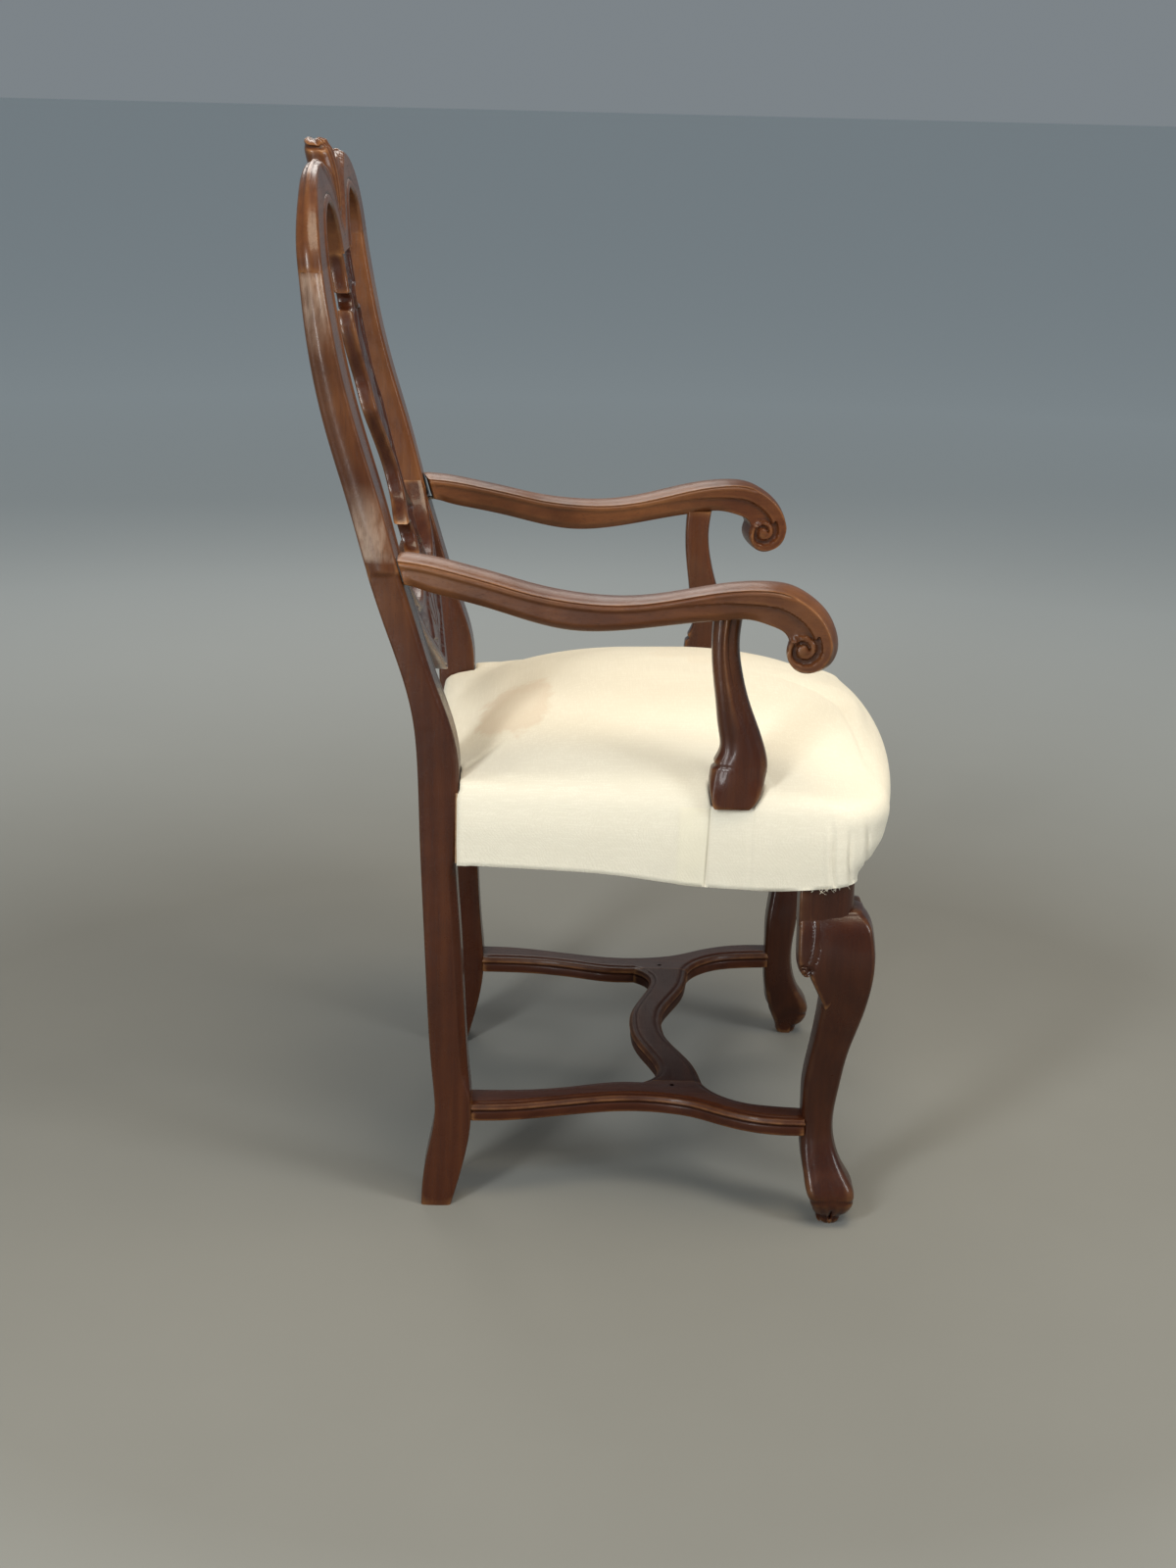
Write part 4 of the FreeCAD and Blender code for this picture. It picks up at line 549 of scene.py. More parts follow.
def rail_wood(name, rot, seed, colours):
    """Unpolished sawn wood inside the seat."""
    mat = bpy.data.materials.new(name)
    nt, bs = nodes_of(mat)
    tc = N(nt, "ShaderNodeTexCoord")
    p = mapping(nt, tc.outputs["Object"], rot=rot, loc=(seed, seed * 0.3, seed * 0.9))
    along = mapping(nt, p, scale=(1, 1, 0.08))
    figure = noise(nt, along, 42.0, 5.0, 0.6, 1.0)
    flecks = noise(nt, mapping(nt, p, scale=(1, 1, 0.09)), 420.0, 2.0, 0.5)
    tone = ramp(nt, figure, [(0.25, colours[0]), (0.55, colours[1]), (0.8, colours[2])])
    tone = mix_colour(nt, ramp(nt, flecks, [(0.62, 0.0), (0.70, 0.5)]), tone, colours[0])
    dust = noise(nt, p, 20.0, 4.0, 0.6)
    tone = mix_colour(nt, ramp(nt, dust, [(0.45, 0.0), (0.75, 0.45)]), tone, (0.12, 0.085, 0.055))
    link(nt, tone, bs.inputs["Base Color"])
    link(nt, math_node(nt, "ADD", 0.62, math_node(nt, "MULTIPLY", flecks, 0.25)), bs.inputs["Roughness"])
    saw = N(nt, "ShaderNodeTexWave", wave_type="BANDS", bands_direction="Z")
    saw.inputs["Scale"].default_value = 260.0
    saw.inputs["Distortion"].default_value = 1.5
    link(nt, p, saw.inputs["Vector"])
    b1 = bump(nt, saw.outputs["Fac"], 0.25, 0.0004)
    link(nt, bump(nt, flecks, 0.3, 0.0003, b1), bs.inputs["Normal"])
    return mat


def woven(name, warp_scale, colour, shade, rough=0.9, depth=0.0004, uv=False, sheen=0.25, stains=0.3,
          slub=0.5):
    """Plain weave from two crossed sets of threads."""
    mat = bpy.data.materials.new(name)
    nt, bs = nodes_of(mat)
    tc = N(nt, "ShaderNodeTexCoord")
    src = tc.outputs["UV"] if uv else tc.outputs["Object"]
    jitter = noise(nt, tc.outputs["Object"], 26.0, 3.0, 0.6)
    jv = N(nt, "ShaderNodeVectorMath", operation="SCALE")
    comb = N(nt, "ShaderNodeCombineXYZ")
    link(nt, jitter, comb.inputs[0])
    link(nt, noise(nt, tc.outputs["Object"], 31.0, 2.0, 0.5), comb.inputs[1])
    link(nt, comb.outputs[0], jv.inputs[0])
    jv.inputs["Scale"].default_value = 0.0035
    ad = N(nt, "ShaderNodeVectorMath", operation="ADD")
    link(nt, src, ad.inputs[0])
    link(nt, jv.outputs[0], ad.inputs[1])
    sep = N(nt, "ShaderNodeSeparateXYZ")
    link(nt, ad.outputs[0], sep.inputs[0])
    su = math_node(nt, "SINE", math_node(nt, "MULTIPLY", sep.outputs[0], warp_scale * 2 * math.pi))
    sv = math_node(nt, "SINE", math_node(nt, "MULTIPLY", sep.outputs[1], warp_scale * 2 * math.pi))
    prod = math_node(nt, "MULTIPLY", su, sv)
    over = math_node(nt, "GREATER_THAN", prod, 0.0)
    au, av = math_node(nt, "ABSOLUTE", su), math_node(nt, "ABSOLUTE", sv)
    weave = math_node(nt, "ADD", math_node(nt, "MULTIPLY", over, au),
                      math_node(nt, "MULTIPLY", math_node(nt, "SUBTRACT", 1.0, over), av))
    s1 = noise(nt, mapping(nt, src, scale=(1, 0.03, 1)), warp_scale * 0.5, 2.0, 0.5)
    s2 = noise(nt, mapping(nt, src, scale=(0.03, 1, 1), loc=(3, 5, 0)), warp_scale * 0.5, 2.0, 0.5)
    slubs = math_node(nt, "ADD", s1, s2)
    big = noise(nt, tc.outputs["Object"], 6.0, 4.0, 0.6)
    tone = mix_colour(nt, ramp(nt, slubs, [(0.85, 0.0), (1.25, slub)]), colour, shade)
    tone = mix_colour(nt, math_node(nt, "MULTIPLY", math_node(nt, "SUBTRACT", 1.0, weave), 0.18), tone, shade)
    tone = mix_colour(nt, ramp(nt, big, [(0.50, 0.0), (0.72, stains)]), tone, shade)
    link(nt, tone, bs.inputs["Base Color"])
    bs.inputs["Roughness"].default_value = rough
    bs.inputs["Sheen Weight"].default_value = sheen
    bs.inputs["Sheen Roughness"].default_value = 0.5
    bs.inputs["Specular IOR Level"].default_value = 0.25
    h = math_node(nt, "ADD", weave, math_node(nt, "MULTIPLY", slubs, 0.5))
    link(nt, bump(nt, h, 0.35, depth), bs.inputs["Normal"])
    return mat, nt, bs


def steel(name, base, rough):
    mat = bpy.data.materials.new(name)
    nt, bs = nodes_of(mat)
    tc = N(nt, "ShaderNodeTexCoord")
    n1 = noise(nt, tc.outputs["Object"], 400.0, 4.0, 0.6)
    n2 = noise(nt, tc.outputs["Object"], 90.0, 3.0, 0.6)
    tone = mix_colour(nt, ramp(nt, n2, [(0.45, 0.0), (0.7, 0.8)]), base, (0.11, 0.060, 0.035))
    link(nt, tone, bs.inputs["Base Color"])
    bs.inputs["Metallic"].default_value = 0.85
    link(nt, math_node(nt, "ADD", rough, math_node(nt, "MULTIPLY", n1, 0.3)), bs.inputs["Roughness"])
    link(nt, bump(nt, n1, 0.3, 0.0002), bs.inputs["Normal"])
    return mat


HALF = math.pi / 2
# the stiles' woods carry painted highlights on their outer faces
WOOD_Z = show_wood("wood_upright", (0, 0, 0), 0.3, dark=0.40, golden=0.50, gloss=0.8, painted_sheen=True)
WOOD_Z2 = show_wood("wood_upright_2", (0, 0, 0.4), 1.9, dark=0.40, golden=0.50, gloss=0.8, painted_sheen=True)
WOOD_LEG = show_wood("wood_leg", (0, 0, 0.2), 3.4, dark=0.58, gloss=0.75)
WOOD_LEG2 = show_wood("wood_leg_2", (0, 0, 0.7), 7.7, dark=0.58, gloss=0.75)
WOOD_Y = show_wood("wood_arm", (HALF, 0, 0), 2.7, dark=0.34, golden=0.66, gloss=0.5)
WOOD_Y2 = show_wood("wood_arm_2", (HALF, 0, 0.3), 4.1, dark=0.34, golden=0.66, gloss=0.5)
WOOD_X = show_wood("wood_cross", (0, HALF, 0), 5.3, dark=0.62, gloss=0.15)
WOOD_TOP = show_wood("wood_crest", (0, HALF, 0.2), 9.2, dark=0.42, golden=0.35, gloss=0.7)
WOOD_X2 = show_wood("wood_cross_2", (0.3, HALF, 0), 6.1, dark=0.45, gloss=0.8)
WOOD_SPLAT = show_wood("wood_splat", (0, 0, 0.9), 7.1, dark=0.52, gloss=0.8)
WOOD_LOW = show_wood("wood_runner", (HALF, 0, 0.5), 8.3, dark=0.45, gloss=0.40)
BEECH = ((0.23, 0.125, 0.062), (0.36, 0.215, 0.112), (0.47, 0.30, 0.165))
OAK = ((0.06, 0.026, 0.012), (0.11, 0.050, 0.022), (0.17, 0.085, 0.04))
RAIL_X = rail_wood("beech_across", (0, HALF, 0), 0.7, BEECH)
RAIL_Y = rail_wood("beech_along", (HALF, 0, 0), 1.7, BEECH)
BLOCK = rail_wood("beech_block", (0.2, HALF, 0.7), 2.7, BEECH)
PEG = rail_wood("oak_peg", (0, 0, 0), 3.3, OAK)
SCREW = steel("screw_metal", (0.33, 0.31, 0.28), 0.35)
TACK = steel("tack_metal", (0.06, 0.06, 0.075), 0.32)

pieces = []


def finish_piece(ob, mat, slot, *nodes, wear=True):
    ob.data.materials.clear()
    ob.data.materials.append(mat)
    if wear:
        add_convexity(ob)
    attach(ob, "root")
    if nodes:
        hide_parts(*nodes)
    pieces.append(ob)
    return ob


# ------------------------------------------------------ the back's own tables
STILE = np.array([
    (0, 406, 438, 203, 249.5), (33, 397, 436, 203, 248), (70, 388.8, 429.5, 203, 247),
    (101, 385.5, 424.5, 203.5, 247), (147, 388.5, 427, 204, 247.5), (235, 394.5, 433, 205, 249.5),
    (330, 400.5, 437.5, 206, 251), (420, 404.5, 441.5, 207, 253), (500, 402.5, 444.5, 208, 256),
    (537, 411, 448, 208.5, 258), (578, 426, 457, 209, 260), (638, 445, 477, 210.5, 263),
    (697, 463, 495.5, 212, 267), (756, 479, 511.5, 212, 269.5), (832, 502, 533.5, 211, 274),
    (889, 517, 546, 210, 279.5), (945, 528, 554, 210, 283), (986, 534.6, 558.4, 209.6, 280.5)])
RAKE = np.array([(1000, 536.3, 560), (1020, 538.7, 561.8), (1050, 543, 563), (1080, 549, 564.5), (1110, 556, 566)])
_z = np.concatenate([STILE[:, 0], RAKE[:, 0]])
FRONT = natural(_z, np.concatenate([STILE[:, 1], RAKE[:, 1]]))
BACK = natural(_z, np.concatenate([STILE[:, 2], RAKE[:, 2]]))
INNER = natural(STILE[:, 0], STILE[:, 3])
OUTER = natural(STILE[:, 0], STILE[:, 4])


def back_place(setback, extra=0.0):
    """Maps the front view (side, level) and a depth to the raked back."""
    def place(p, w):
        y = FRONT(p[:, 1]) + setback + w
        return np.column_stack([p[:, 0], y, p[:, 1]])
    return place


def bead(d, start, width, height):
    """A rounded moulding of that width, starting at edge distance start:
    negative is proud."""
    t = np.clip((d - start) / width, 0, 1)
    return -height * np.sin(np.pi * t) ** 0.7


def groove(d, at, width, depth):
    return depth * np.clip(1 - np.abs(d - at) / (width / 2), 0, 1)


# ------------------------------------------------------------------- stiles
def stile_data():
    zs = np.concatenate([np.arange(0, 685, 5.0), np.arange(685, 702, 1.4), np.arange(702, 982, 5.0), [986.0]])
    rings = []
    k = 6
    for z in zs:
        f, b, xi, xo = (float(fn(z)) for fn in (FRONT, BACK, INNER, OUTER))
        up = float(smoothstep(689, 696, z))           # above the arm the outside is rounded
        soft = float(smoothstep(455, 480, z)) * (1 - up)
        r_fo = 2.6 + up * 1.9 + soft * 2.4
        r_bo = 3.0 + up * 2.5
        xo -= 0.8 * up
        r_i = 2.2
        cham = float(smoothstep(118, 150, z) * (1 - smoothstep(372, 398, z)))
        r_fo = r_fo * (1 - cham) + 8.5 * cham
        flat = max(cham, 0.75 * soft)
        foot = 1 - float(smoothstep(0, 8, z))
        r_fo, r_bo = r_fo + foot * 1.5, r_bo + foot * 1.5
        c = [corner(xi + r_i, f + r_i, -1, -1, r_i, 3, "x"),
             corner(xo - r_fo, f + r_fo, 1, -1, r_fo, k, "y", flat),
             corner(xo - r_bo, b - r_bo, 1, 1, r_bo, k, "x"),
             corner(xi + 3.0, b - 3.0, -1, 1, 3.0, 4, "y")]
        pts = list(c[0])
        # front face, with a bead along the opening above the seat
        on = float(smoothstep(690, 696, z)) * 0.85 + 0.15 * float(smoothstep(545, 552, z))
        dist = np.array([3.2, 4.6, 6.0, 7.4, 8.6, 9.4, 10.2, 11.2, 13.0, 17.0, 22.0])
        span = (xo - r_fo) - (xi + r_i)
        dist = np.concatenate([dist, np.linspace(22.0, xo - r_fo - xi, 6)[1:-1]]) if span > 24 else \
            np.linspace(3.2, xo - r_fo - xi - 1, 15)
        y = f + on * (bead(dist, 0.5, 8.2, 1.6) + groove(dist, 9.6, 2.6, 1.3))
        pts += [(xi + dd, yy) for dd, yy in zip(dist, y)]
        pts += c[1]
        swell = up * 3.0 + (1 - up) * 0.5
        for t in (0.1, 0.22, 0.36, 0.5, 0.64, 0.78, 0.9):
            a, bb = c[1][-1], c[2][0]
            pts.append((xo + swell * 4 * t * (1 - t), a[1] + (bb[1] - a[1]) * t))
        pts += c[2]
        for t in (0.15, 0.3, 0.45, 0.6, 0.75, 0.88):
            a, bb = c[2][-1], c[3][0]
            pts.append((a[0] + (bb[0] - a[0]) * t, b + up * 0.8 * 4 * t * (1 - t)))
        pts += c[3]
        for t in (0.25, 0.5, 0.75):
            a, bb = c[3][-1], c[0][0]
            pts.append((xi, a[1] + (bb[1] - a[1]) * t))
        # the outside is planed back a little below the arm, so the rounded part ends in a step
        ring = np.array(pts)
        low = 1 - up
        outer_zone = smoothstep(xo - 16, xo - 3, ring[:, 0])
        ring[:, 0] -= low * outer_zone * 1.6 * float(smoothstep(560, 688, z))
        rings.append(with_z(ring, z))
    return loft(rings)


v, f = stile_data()
stile_l = finish_piece(mesh_object("stile_left", v, f, 50), WOOD_Z2, "show_wood", "rear_stile_left")
v, f = mirror_data(v, f)
stile_r = finish_piece(mesh_object("stile_right", v, f, 50), WOOD_Z, "show_wood", "rear_stile_right")

# --------------------------------------------------------------- crest rail
CREST_OUT = [(280.5, 986), (277.5, 999), (266, 1020), (248, 1040), (227, 1056), (199, 1070), (165, 1078), (128, 1081),
             (95, 1080), (60, 1076), (32, 1068), (0, 1063)]
CREST_IN = [(209.6, 986), (208.5, 1000), (198, 1019), (172, 1034.5), (134, 1041), (106, 1037.5), (84, 1028), (67, 1014),
            (56, 998), (50, 985)]


def flip(run):
    return [(-p[0], p[1]) for p in run][::-1]


crest_runs = [CREST_OUT + flip(CREST_OUT)[1:], [(-280.5, 986), (-209.6, 986)], [(-p[0], p[1]) for p in CREST_IN],
              [(-50, 985), (50, 985)], CREST_IN[::-1], [(209.6, 986), (280.5, 986)]]
crest_loop = loop(crest_runs, 2.4)
opening_edge = [curve(CREST_IN, 2.5), curve([(-p[0], p[1]) for p in CREST_IN], 2.5)]
outer_edge = [curve(CREST_OUT, 2.5), curve([(-p[0], p[1]) for p in CREST_OUT], 2.5)]
# the hoops' own outline runs on into a V under the plume
VEE = [(122, 1081), (100, 1074.5), (80, 1067), (62, 1059), (46, 1047), (33, 1034), (18, 1020), (0, 1010)]
vee = [curve(VEE, 2.0), curve([(-p[0], p[1]) for p in VEE], 2.0)]
vee_y = natural([p[0] for p in VEE][::-1], [p[1] for p in VEE][::-1])


def crest_front(p, d):
    do, di, dv = seg_distance(p, outer_edge), seg_distance(p, opening_edge), seg_distance(p, vee)
    h = rounded(do, 4.5)
    h = h + rounded(di, 2.0) + bead(di, 0.5, 8.2, 1.6) + groove(di, 9.6, 2.6, 1.3)
    x, z = np.abs(p[:, 0]), p[:, 1]
    # above the V lies the plume's ground, sunk and reeded
    above = smoothstep(-1.5, 1.5, z - vee_y(np.clip(x, 0, 122))) * (x < 121)
    fan = np.arctan2(p[:, 0], np.maximum(z - 985.0, 1.0))
    reeds = np.abs(np.sin(fan * 15.0))
    h = h + above * (4.2 - 2.4 * reeds)
    h = h + groove(dv, 1.2, 4.2, 2.4) * (1 - above * 0.6) + bead(dv, 2.6, 6.0, 1.3) * (1 - above)
    side = smoothstep(975, 978.6, p[:, 1]) * 0 + 1
    return np.minimum(h, 11.0) * side


def crest_back(p, d):
    do, di = seg_distance(p, outer_edge), seg_distance(p, opening_edge)
    return rounded(do, 5.5) + rounded(di, 2.5)


def crest_bulge(t, p):
    return 2.2 * 4 * t * (1 - t) * smoothstep(1.5, 0.3, seg_distance(p, outer_edge))


v, f = slab([crest_loop], back_place(0.0), crest_front, crest_back, [0.35, 0.9, 1.7, 2.8, 4.2, 6.0, 8.2, 9.6, 11.0, 13.0],
            3.2, rows=8, bulge=crest_bulge, thick=lambda p: BACK(p[:, 1]) - FRONT(p[:, 1]))


def plume():
    """The carved crest: a reeded shell that curls back at the top."""
    lv = [(1016, 9, 541.0, 556), (1026, 13, 540.0, 560), (1040, 18, 540.0, 564), (1056, 23.5, 541.5, 569),
          (1070, 27, 544.0, 573.5), (1082, 28.5, 547.5, 576.5), (1090, 28, 551.0, 577.5), (1096, 26, 555, 577.4),
          (1099.2, 22, 560, 576), (1100, 15, 564, 574)]
    zf = [natural([r[0] for r in lv], [r[j] for r in lv]) for j in (1, 2, 3)]
    rings = []
    m = 120
    for z in list(np.arange(1016, 1098, 1.6)) + [1098.4, 1099.4, 1100.0]:
        hx, y0, y1 = (float(q(z)) for q in zf)
        yc, hy = (y0 + y1) / 2, (y1 - y0) / 2
        t = np.arange(m) / m * 2 * math.pi
        cx, sy = np.cos(t), np.sin(t)
        x = hx * np.sign(cx) * np.abs(cx) ** 0.62
        y = yc + hy * np.sign(sy) * np.abs(sy) ** 0.55
        front = smoothstep(0.05, -0.55, sy)
        amt = 2.3 * smoothstep(1018, 1040, z) * (1 - 0.25 * smoothstep(1090, 1100, z))
        lobes = np.abs(np.sin(x / np.maximum(hx, 1) * math.pi * 2.5 + math.pi / 2))
        y = y + front * amt * (1 - lobes) * 1.15
        edge = smoothstep(0.75, 0.98, np.abs(cx))
        top = smoothstep(1084, 1099, z)
        zz = z - top * 4.5 * (1 - lobes) * (0.4 + 0.6 * front) - top * 3.0 * (x / 28.0) ** 2
        rings.append(np.column_stack([x, y, np.minimum(zz, 1100.0)]))
    return loft(rings)


v2, f2 = plume()
v, f = join_data([(v, f), (v2, f2)])
crest = finish_piece(mesh_object("crest", v, f, 48), WOOD_TOP, "show_wood", "crest_rail")

# -------------------------------------------------------------------- splat
S_TOP = [(50, 985), (45, 970), (45, 944)]
S_NECK = [(27, 942), (24, 935), (29, 928)]
S_BODY = [(45, 926), (51, 912), (49, 893), (41, 868), (37, 848), (43, 826), (33, 800), (19, 775), (12.5, 752),
          (20, 726), (40, 712), (50, 702)]
S_FOOT = [(27, 700), (22, 688), (26, 676), (36, 668)]
half = [S_TOP, [S_TOP[-1], S_NECK[0]], S_NECK, [S_NECK[-1], S_BODY[0]], S_BODY, [S_BODY[-1], S_FOOT[0]], S_FOOT]
runs = half + [[S_FOOT[-1], (-36, 668)]] + [[(-p[0], p[1]) for p in run][::-1] for run in half[::-1]] + \
    [[(-50, 985), (50, 985)]]
splat_loop = loop(runs, 1.9)
splat_lines = [curve(run, 2.0) for run in half] + [curve([(-p[0], p[1]) for p in run], 2.0) for run in half]


def splat_front(p, d):
    de = seg_distance(p, splat_lines)
    x, z = p[:, 0], p[:, 1]
    h = rounded(de, 1.6) + bead(de, 0.8, 5.2, 1.2) + groove(de, 7.0, 2.6, 2.0)
    field = smoothstep(7.6, 9.0, de)
    # a long acanthus leaf down the middle of the body
    t = np.clip((z - 775) / (925 - 775), 0, 1)
    w = 24 * np.sin(np.pi * np.clip(t, 0, 1) ** 0.85) ** 0.8 + 3
    u = np.clip(np.abs(x) / np.maximum(w, 1), 0, 1.4)
    leaf = smoothstep(1.02, 0.90, u) * smoothstep(772, 782, z) * smoothstep(929, 921, z)
    vein = np.abs(np.sin((z + np.abs(x) * 0.9) / 9.0))
    h = h + field * (2.2 - leaf * (3.4 * (1 - 0.55 * u ** 2) - 1.0 * (1 - vein) * smoothstep(0.08, 0.3, u))
                     + leaf * groove(np.abs(x), 0, 2.2, 1.0))
    # a row of graduated husks below it
    for zc, r in ((762, 7.5), (744, 6.5), (727, 8.0)):
        q = np.sqrt((x / r) ** 2 + ((z - zc) / (r * 1.25)) ** 2)
        h = h - 2.6 * np.sqrt(np.clip(1 - q ** 2, 0, 1))
    # a rosette in the collar above
    q = np.sqrt(x ** 2 + (z - 957) ** 2)
    ang = np.arctan2(z - 957, x)
    h = h - smoothstep(15.5, 13.5, q) * (1.8 + 0.9 * np.cos(ang * 8) * smoothstep(3, 8, q)) * \
        np.clip(1 - (q / 22) ** 2, 0, 1)
    h = h - 1.6 * np.sqrt(np.clip(1 - (q / 4.2) ** 2, 0, 1))
    return h


def splat_back(p, d):
    return rounded(seg_distance(p, splat_lines), 2.0)


v, f = slab([splat_loop], back_place(1.2), splat_front, splat_back,
            [0.3, 0.8, 1.6, 2.6, 3.8, 5.0, 6.0, 7.0, 8.0, 9.2], 2.0, rows=4, thick=lambda p: 15.5 + 0 * p[:, 0])
splat = finish_piece(mesh_object("splat", v, f, 48), WOOD_SPLAT, "show_wood", "back_splat")

# ---------------------------------------------------------- lower back rail
D_TOP = [(213, 706), (196, 680), (163, 652), (118, 635), (80, 639), (53, 652), (36, 668)]
D_LOW = [(0, 531), (14, 535), (38, 546.5), (72, 563), (112, 583), (152, 606), (188, 632), (213, 655)]
runs = [D_TOP, [(36, 668), (-36, 668)], flip(D_TOP), [(-213, 706), (-213, 655)],
        flip(D_LOW), D_LOW, [(213, 655), (213, 706)]]
drop_loop = loop(runs, 2.2)
drop_top = [curve(D_TOP, 2.2), curve([(-p[0], p[1]) for p in D_TOP], 2.2)]
drop_low = [curve(D_LOW, 2.2), curve([(-p[0], p[1]) for p in D_LOW], 2.2)]


def drop_place(p, w):
    """The rail is a flat board; its front leaves the stiles' curve below."""
    z = p[:, 1]
    top_y = float(FRONT(690.0)) + 0.6
    y = np.where(z >= 690, FRONT(z) + 0.6, top_y - (690 - z) * 0.238)
    return np.column_stack([p[:, 0], y + w, z])


def drop_front(p, d):
    dt, dl = seg_distance(p, drop_top), seg_distance(p, drop_low)
    x, z = np.abs(p[:, 0]), p[:, 1]
    h = rounded(dt, 1.6) + rounded(dl, 1.8)
    h = h + bead(dt, 0.5, 8.2, 1.4) + groove(dt, 9.6, 2.4, 1.2)
    # a broad raised border follows the lower edge, with a line cut along it
    rim = smoothstep(16.8, 15.2, dl)
    h = h + groove(dl, 4.6, 1.8, 0.9) * 0.9 + groove(dl, 16.6, 2.2, 1.3)
    field = (1 - rim) * smoothstep(10.5, 12.0, dt)
    # a flat shell over the pointed drop
    cx, cz = 0.0, 566.0
    rr = np.hypot(p[:, 0] - cx, z - cz)
    an = np.arctan2(p[:, 0] - cx, z - cz)
    lobes = np.abs(np.cos(an * 4.5))
    shell = smoothstep(61, 58, rr + 5 * (1 - lobes)) * smoothstep(1.50, 1.38, np.abs(an))
    ribs = smoothstep(0.06, 0.30, np.abs(np.sin(an * 4.5)))
    h = h + field * 2.4 - field * shell * (2.0 * ribs * np.clip(rr / 26, 0.25, 1) + 0.3 * np.clip(1 - rr / 60, 0, 1))
    # scalloped points where the border meets the stile's side
    for xc, zc in ((186, 648), (158, 628)):
        q = np.hypot(x - xc, z - zc)
        h = h - field * 1.9 * np.sqrt(np.clip(1 - (q / 9.5) ** 2, 0, 1))
    t = np.clip((x - 66) / 84, 0, 1)
    mid = 603 + 17 * t ** 1.2
    w = 9.5 * np.sin(np.pi * t) ** 0.8 + 0.01
    u = np.abs(z - mid) / w
    leaf = smoothstep(1.0, 0.8, u) * (x > 66) * (x < 150)
    h = h - field * leaf * (1.8 * (1 - 0.5 * u ** 2)) + field * leaf * groove(z - mid, 0, 1.6, 0.7)
    return h


def drop_back(p, d):
    return rounded(np.minimum(seg_distance(p, drop_top), seg_distance(p, drop_low)), 2.5)


v, f = slab([drop_loop], drop_place, drop_front, drop_back,
            [0.4, 1.0, 2.0, 3.2, 4.6, 6.0, 7.6, 9.0, 10.2, 11.8, 13.2], 2.4, rows=4,
            thick=lambda p: 22.4 + 0 * p[:, 0])
drop = finish_piece(mesh_object("back_apron", v, f, 48), WOOD_X2, "show_wood", "lower_back_rail")

# --------------------------------------------------------------------- arms
ARM_TOP = [(-8, 706), (17, 703.5), (46, 698), (87, 689), (126, 680), (165, 674.5), (204, 673), (242, 676.5),
           (281, 684.5), (319, 692.5), (356, 696), (380, 693.5), (397, 685.5), (415, 670), (424, 653), (426.5, 638),
           (422, 625), (411.5, 617), (399.5, 614.5), (389.5, 618), (383, 626), (380.5, 636), (383, 646)]
ARM_LOW = [(383, 646), (380, 652), (367, 659.5), (348, 664), (320, 662.5), (281, 657), (243, 650.5), (204, 645),
           (165, 644), (126, 650.5), (87, 660.5), (46, 669.5), (17, 676), (-1, 682)]
ARM_WIDE = 50.0
SPLAY = math.radians(9.0)
EYE = (397.0, 638.0)


def arm_place(sign):
    """Local: forward along the arm, up, and inward from the outside face."""
    e1 = np.array([sign * math.sin(SPLAY), -math.cos(SPLAY)])
    e2 = np.array([-sign * math.cos(SPLAY), -math.sin(SPLAY)])

    def place(p, w):
        x = sign * 264.0 + p[:, 0] * e1[0] + w * e2[0]
        y = 457.0 + p[:, 0] * e1[1] + w * e2[1]
        return np.column_stack([x, y, p[:, 1]])
    return place


arm_top_line = curve(ARM_TOP[:18], 2.0)
arm_low_line = curve(ARM_LOW, 2.0)


COIL = np.array([  # turn in degrees from the front, downwards; inner and outer radius
    (-45, 21.6, 34.3), (0, 18.8, 28.4), (45, 16.5, 25.3), (90, 14, 21), (135, 13.1, 18), (180, 10.8, 14.6),
    (225, 10.2, 14.5), (270, 9.9, 14.7), (315, 9.2, 13.6), (360, 6.4, 12.1), (405, 2.5, 9.6), (450, 0, 7.9),
    (540, 0, 5.6), (630, 0, 5.6), (765, 0, 5.6)])


def volute(p):
    """The scroll's raised band, which winds in to the eye."""
    x, z = p[:, 0] - EYE[0], p[:, 1] - EYE[1]
    rho = np.hypot(x, z)
    t0 = -np.degrees(np.arctan2(z, x))
    rim = np.zeros(len(p))
    for k in (0, 1, 2):
        t = t0 + 360.0 * k
        ok = (t >= -46) & (t <= 765)
        ri, ro = np.interp(t, COIL[:, 0], COIL[:, 1]), np.interp(t, COIL[:, 0], COIL[:, 2])
        band = np.where(ri > 0.1, smoothstep(-0.9, 0.5, rho - ri), 1.0) * smoothstep(0.9, -0.5, rho - ro)
        rim = np.maximum(rim, band * ok)
    return rim, rho, t0


def arm_face(p, d):
    dt, dl = seg_distance(p, [arm_top_line]), seg_distance(p, [arm_low_line])
    rim, rho, t0 = volute(p)
    s = p[:, 0]
    sunk = 1.1 + 2.9 * smoothstep(250, 385, s)
    wide = 5.2 + 9.0 * smoothstep(255, 380, s)
    straight = ((t0 < -44) & (p[:, 1] > EYE[1])) | (s < 372)
    band = smoothstep(1.8 + wide + 0.9, 1.8 + wide - 0.7, dt) * straight
    raised = np.maximum(band, rim * (s > 366) * (rho < 36))
    h = sunk * (1 - raised)
    # the worn upper arris, a dark line under it and a bead
    along_top = straight * smoothstep(392, 378, s)
    h = h + groove(dt, 1.5, 2.4, 1.5) * along_top - 0.45 * hump(dt, 4.4, 2.6) * along_top
    h = h + rounded(d, 1.9)
    # a hollow chamfer along the underside
    under = smoothstep(366, 330, s) * smoothstep(-2, 10, s)
    h = h + under * 6.0 * np.clip(1 - dl / 8.5, 0, 1) ** 1.4
    # the eye stands proud and is a little domed
    h = h - 1.1 * np.sqrt(np.clip(1 - (rho / 5.6) ** 2, 0, 1))
    return h


